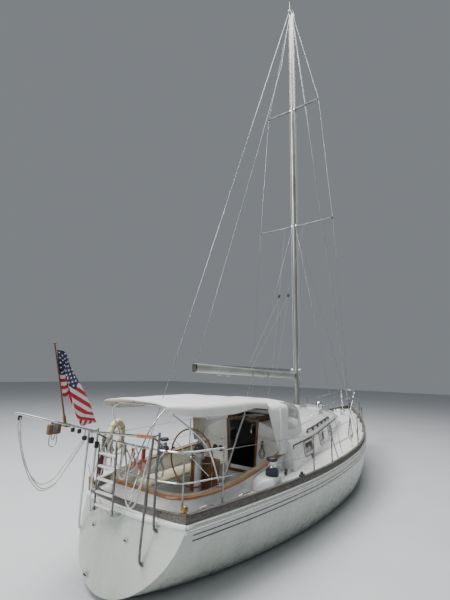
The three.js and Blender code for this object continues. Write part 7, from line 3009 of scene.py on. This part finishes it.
def cushions():
    for side, name in ((PORT, "cushion_port"), (STARBOARD, "cushion_starboard")):
        outline = cushion_outline(side, 0.012)
        obj = padded_form(name, outline, CUSHION_Z[0], CUSHION_Z[1] - 0.014, 0.014)
        obj.name = name + "_pad"
        obj.data.name = obj.name
        # Two cross seams press the cover in.
        seams_x = (-3.74, -3.10)
        for v in obj.data.vertices:
            top = clamp((v.co.z - 0.89) / 0.02, 0, 1)
            for x in seams_x:
                d = abs(v.co.x - x)
                v.co.z -= 0.013 * top * exp(-((d / 0.018) ** 2))
        obj.data.materials.clear()
        obj.data.materials.append(LOOK["cushion"])
        modifier(obj, "SUBSURF", levels=1, render_levels=1)
        apply_modifiers(obj)
        shade(obj, 80)
        finish_piece(obj, "hull", [name])
        piping = Kit()
        ring = []
        for x, y in cushion_outline(side, 0.010):
            ring.append((x, y, CUSHION_Z[1] - 0.020))
        piping.tube(even([Vector(p) for p in ring] + [Vector(ring[0])], 220)[:-1], 0.0042, 8, closed=True)
        piping.piece(name + "_piping", "canvas_trim", smooth=60, slot="cushion")


# Foredeck gear and small fittings


def windlass():
    z = deck_top(4.08, 0)
    kit = Kit()
    kit.box((3.952, -0.093, z - 0.02), (4.208, 0.093, z + 0.068), 0.016, 3)
    kit.box((3.997, -0.073, z + 0.052), (4.163, 0.073, z + 0.188), 0.030, 4)
    kit.piece("windlass_body", "gelcoat", replaces=["windlass"], smooth=50)
    drum = Kit()
    for s in SIDES:
        profile = [
            (0.030, 0.074), (0.058, 0.078), (0.061, 0.086), (0.046, 0.10), (0.040, 0.13), (0.046, 0.165),
            (0.061, 0.180), (0.058, 0.187), (0.020, 0.189), (0, 0.189),
        ]
        drum.lathe([(0, 0.070)] + profile, (4.08, 0, z + 0.11), (0, s, 0), 28)
    drum.piece("windlass_drums", "chrome")


def stemhead():
    """Two cheeks over the bow with a floor, a pin and the roller between them."""
    z = sheer(5.5) + DECK_THICK + RAIL_HIGH + 0.004
    kit = Kit()
    for s in SIDES:
        outline = [
            (5.382, z + 0.0), (5.62, z + 0.0), (5.638, z + 0.03), (5.634, z + 0.062), (5.61, z + 0.079),
            (5.57, z + 0.079), (5.50, z + 0.05), (5.40, z + 0.032), (5.382, z + 0.02),
        ]
        rows = [[Vector((x, s * y, zz)) for x, zz in outline] for y in (0.0345, 0.0435)]
        kit.grid(rows, wrap=True, ends=True)
    kit.box((5.202, -0.0415, z + 0.0005), (5.618, 0.0415, z + 0.011), 0.003)
    kit.rod((5.600, -0.046, z + 0.044), (5.600, 0.046, z + 0.044), 0.007, sides=12)
    kit.piece("stemhead_cheeks", "steel", replaces=["bow_roller"])
    wheel = Kit()
    wheel.lathe(
        [
            (0, -0.032), (0.029, -0.032), (0.021, -0.012), (0.018, 0), (0.021, 0.012), (0.029, 0.032),
            (0, 0.032),
        ],
        (5.600, 0, z + 0.044), (0, 1, 0), 24,
    )
    wheel.piece("stemhead_wheel", "black_plastic")


def deck_cleats():
    """Four cleats a side, each along the deck's edge."""
    cleats = Kit()
    for s in SIDES:
        for x, inset, long in (
            (4.45, 0.22, 0.26), (1.55, 0.20, 0.22), (-3.95, 0.19, 0.24), (-4.66, 0.17, 0.26),
        ):
            y = half_breadth(x) - inset
            slope = atan2(half_breadth(x + 0.2) - half_breadth(x - 0.2), 0.4)
            along = Vector((cos(slope), s * sin(slope), 0))
            cleat(cleats, on_deck(x, s * y, 0.002), along, vertical(1), long)
    cleats.piece("deck_cleats", "chrome", smooth=50)


def stern_fairleads():
    """A ring on a foot at each end of the aft toe rail."""
    leads = Kit()
    ring = [
        (0.022, -0.016), (0.036, -0.022), (0.046, -0.012), (0.046, 0.012), (0.036, 0.022), (0.022, 0.016),
        (0.018, 0), (0.022, -0.016),
    ]
    for s in SIDES:
        y = s * 0.895
        x = transom_x(y, TRANSOM_Z) + 0.024
        top = sheer(x) + DECK_THICK + RAIL_HIGH + 0.009
        leads.lathe(ring, (x, y, top + 0.052), (1, 0, 0), 28)
        leads.post(x, y, 0.018, 0.042, top, top + 0.013, 0.004)
    leads.piece("stern_fairleads", "bronze", smooth=50)


SHEET_LEADS = ((-2.65, 1.06), (-2.04, 1.05), (-1.32, 1.02))


def side_deck_gear():
    """Jib sheets led along the side decks, their blocks, and a car on each toe rail."""
    lines, blocks, cars, eyes = Kit(), Kit(), Kit(), Kit()
    for s in SIDES:
        run = [Vector((-3.235, s * 1.118, 1.262)), Vector((-2.95, s * 1.10, 1.165))]
        for x, y in SHEET_LEADS:
            z = deck_top(x, y)
            run.append(Vector((x, s * y, z + 0.056)))
            eyes.lathe(
                [(0, 0), (0.026, 0), (0.026, 0.004), (0.010, 0.010), (0, 0.012)], (x, s * y, z - 0.001),
                sides=16,
            )
            block(blocks, (x, s * y, z + 0.052), (0.05, 0, 1), 0.062)
        run.append(on_deck(0.10, s * 1.02, 0.020))
        run.append(on_deck(1.02, s * 1.10, 0.022))
        path = [run[0]]
        for a, b in zip(run, run[1:]):
            path += [a.lerp(b, t) - Vector((0, 0, 0.012 * sin(pi * t))) for t in (0.25, 0.5, 0.75, 1.0)]
        lines.tube(path, 0.0062, 8)
        x = -2.79
        y = half_breadth(x) - 0.024
        top = sheer(x) + DECK_THICK + RAIL_HIGH + 0.008
        cars.box((x - 0.065, s * y - 0.030, top), (x + 0.065, s * y + 0.024, top + 0.030), 0.007)
        cars.box((x - 0.030, s * y - 0.022, top + 0.028), (x + 0.030, s * y + 0.016, top + 0.066), 0.010)
    lines.piece("jib_sheets", "rope_white", smooth=60)
    blocks.piece("jib_sheet_blocks", "black_plastic")
    cars.piece("toe_rail_cars", "black_plastic")
    eyes.piece("jib_sheet_eyes", "steel")


def davit_blocks():
    """A wooden block with two loops under it and two small blocks, hung between the davit arms."""
    wood, steel = Kit(), Kit()
    x, y = -5.865, 0.685
    z = 1.768 + (-5.285 - x) * 0.3005
    wood.post(x, y, 0.085, 0.032, z - 0.150, z - 0.022, 0.018, 3)
    wood.piece("davit_block", "dark_teak")
    for half, low in ((0.045, 0.300), (0.020, 0.215)):
        loop = [
            (x - half, y, z - 0.148), (x - half, y, z - low + 0.03), (x, y, z - low),
            (x + half, y, z - low + 0.03), (x + half, y, z - 0.148),
        ]
        steel.tube(smooth_path(loop, 30), 0.0055, 8)
    for dy in (-0.036, 0.036):
        steel.post(x, y + dy, 0.030, 0.003, z - 0.120, z - 0.004, 0.002, 1)
    steel.piece("davit_block_loops", "post_steel")
    small = Kit()
    for bx in (-5.60, -5.50):
        bz = 1.768 + (-5.285 - bx) * 0.3005
        small.post(bx, y, 0.022, 0.020, bz - 0.075, bz - 0.018, 0.008, 2)
    small.piece("davit_small_blocks", "black_plastic")


def rail_bag():
    bag = Kit()
    pts = [Vector((-5.078, 0.735, 1.438)).lerp(Vector((-5.100, 0.665, 1.150)), t / 14) for t in range(15)]
    full = plump(0.35, 0.65, 0.04, 0.4)
    swell = lambda t: full(t) * (1 + 0.06 * sin(31 * t))
    bag.tube(pts, 0.046, 20, taper=swell)
    obj = bag.piece("rail_bag", "maroon", smooth=60)


def horseshoe_buoy():
    """An open ring of foam beside the port quarter of the pushpit, with four bands round it."""
    way = (Vector((-5.01, 0.80, 0)) - Vector((-4.47, 1.010, 0))).normalized()
    side = Vector((way.y, -way.x, 0))
    mid = Vector((-4.745, 0.903, 1.600)) - side * 0.045
    buoy = Kit()
    pts = []
    for k in range(31):
        a = radians(lerp(-62, 242, k / 30))
        pts.append(mid + way * (0.185 * cos(a)) + Vector((0, 0, 0.215 * sin(a))))
    buoy.tube(pts, 0.050, 20, taper=plump(0.45, 0.55, 0.035, 0.25))
    obj = buoy.piece("horseshoe_buoy", "cushion", smooth=60, slot="canvas")
    bands = Kit()
    for k in (4, 10, 20, 26):
        p, q = Vector(pts[k]), Vector(pts[k + 1])
        bands.rod(p, p.lerp(q, 0.9), 0.0515, sides=24)
    bands.piece("horseshoe_bands", "tan_canvas", smooth=50)


def transom_fittings():
    steel = Kit()
    holes = Kit()
    normal = Vector((-1, 0, -0.36)).normalized()
    for y, z, r in ((-0.19, 0.62, 0.030), (0.47, 0.62, 0.030), (0.30, 0.17, 0.040)):
        at = transom_point(y, z, 0.001)
        steel.lathe(
            [(0, 0), (r * 1.35, 0), (r * 1.35, 0.004), (r * 1.1, 0.010), (r, 0.010), (r * 0.95, 0.002)], at,
            normal, 24,
        )
        # A near-black disc in each outlet: painted shade inside the hole.
        holes.lathe([(0, 0), (r * 0.94, 0), (r * 0.94, 0.0035), (0, 0.004)], at, normal, 20)
    steel.piece("transom_outlets", "steel")
    holes.piece("transom_outlet_holes", "dark_void")


# The boat

for build in (
    camera, free_lines, coils, hull_piece, underwater, toe_rail, stern_moulding, rub_strake, deck_piece,
    non_skid, coachroof, roof_panels, windows, eyebrows, handrails, coaming, coaming_cap, bulkhead,
    bulkhead_fittings, hatches, dorades, helm, pedestal, winches, mast, standing_rigging, boom, pulpit,
    pushpit, side_rails, stern_frame, staff_and_flag, ladder, canopy_frames, bimini, dodger, cushions,
    windlass, stemhead, deck_cleats, stern_fairleads, side_deck_gear, transom_fittings, davit_blocks,
    rail_bag, horseshoe_buoy, stage_floor, lights,
):
    build()

box = lambda b: [list(map(float, p)) for p in b]
{"cad": box(CAD_BOX), "visual": box(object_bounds())}
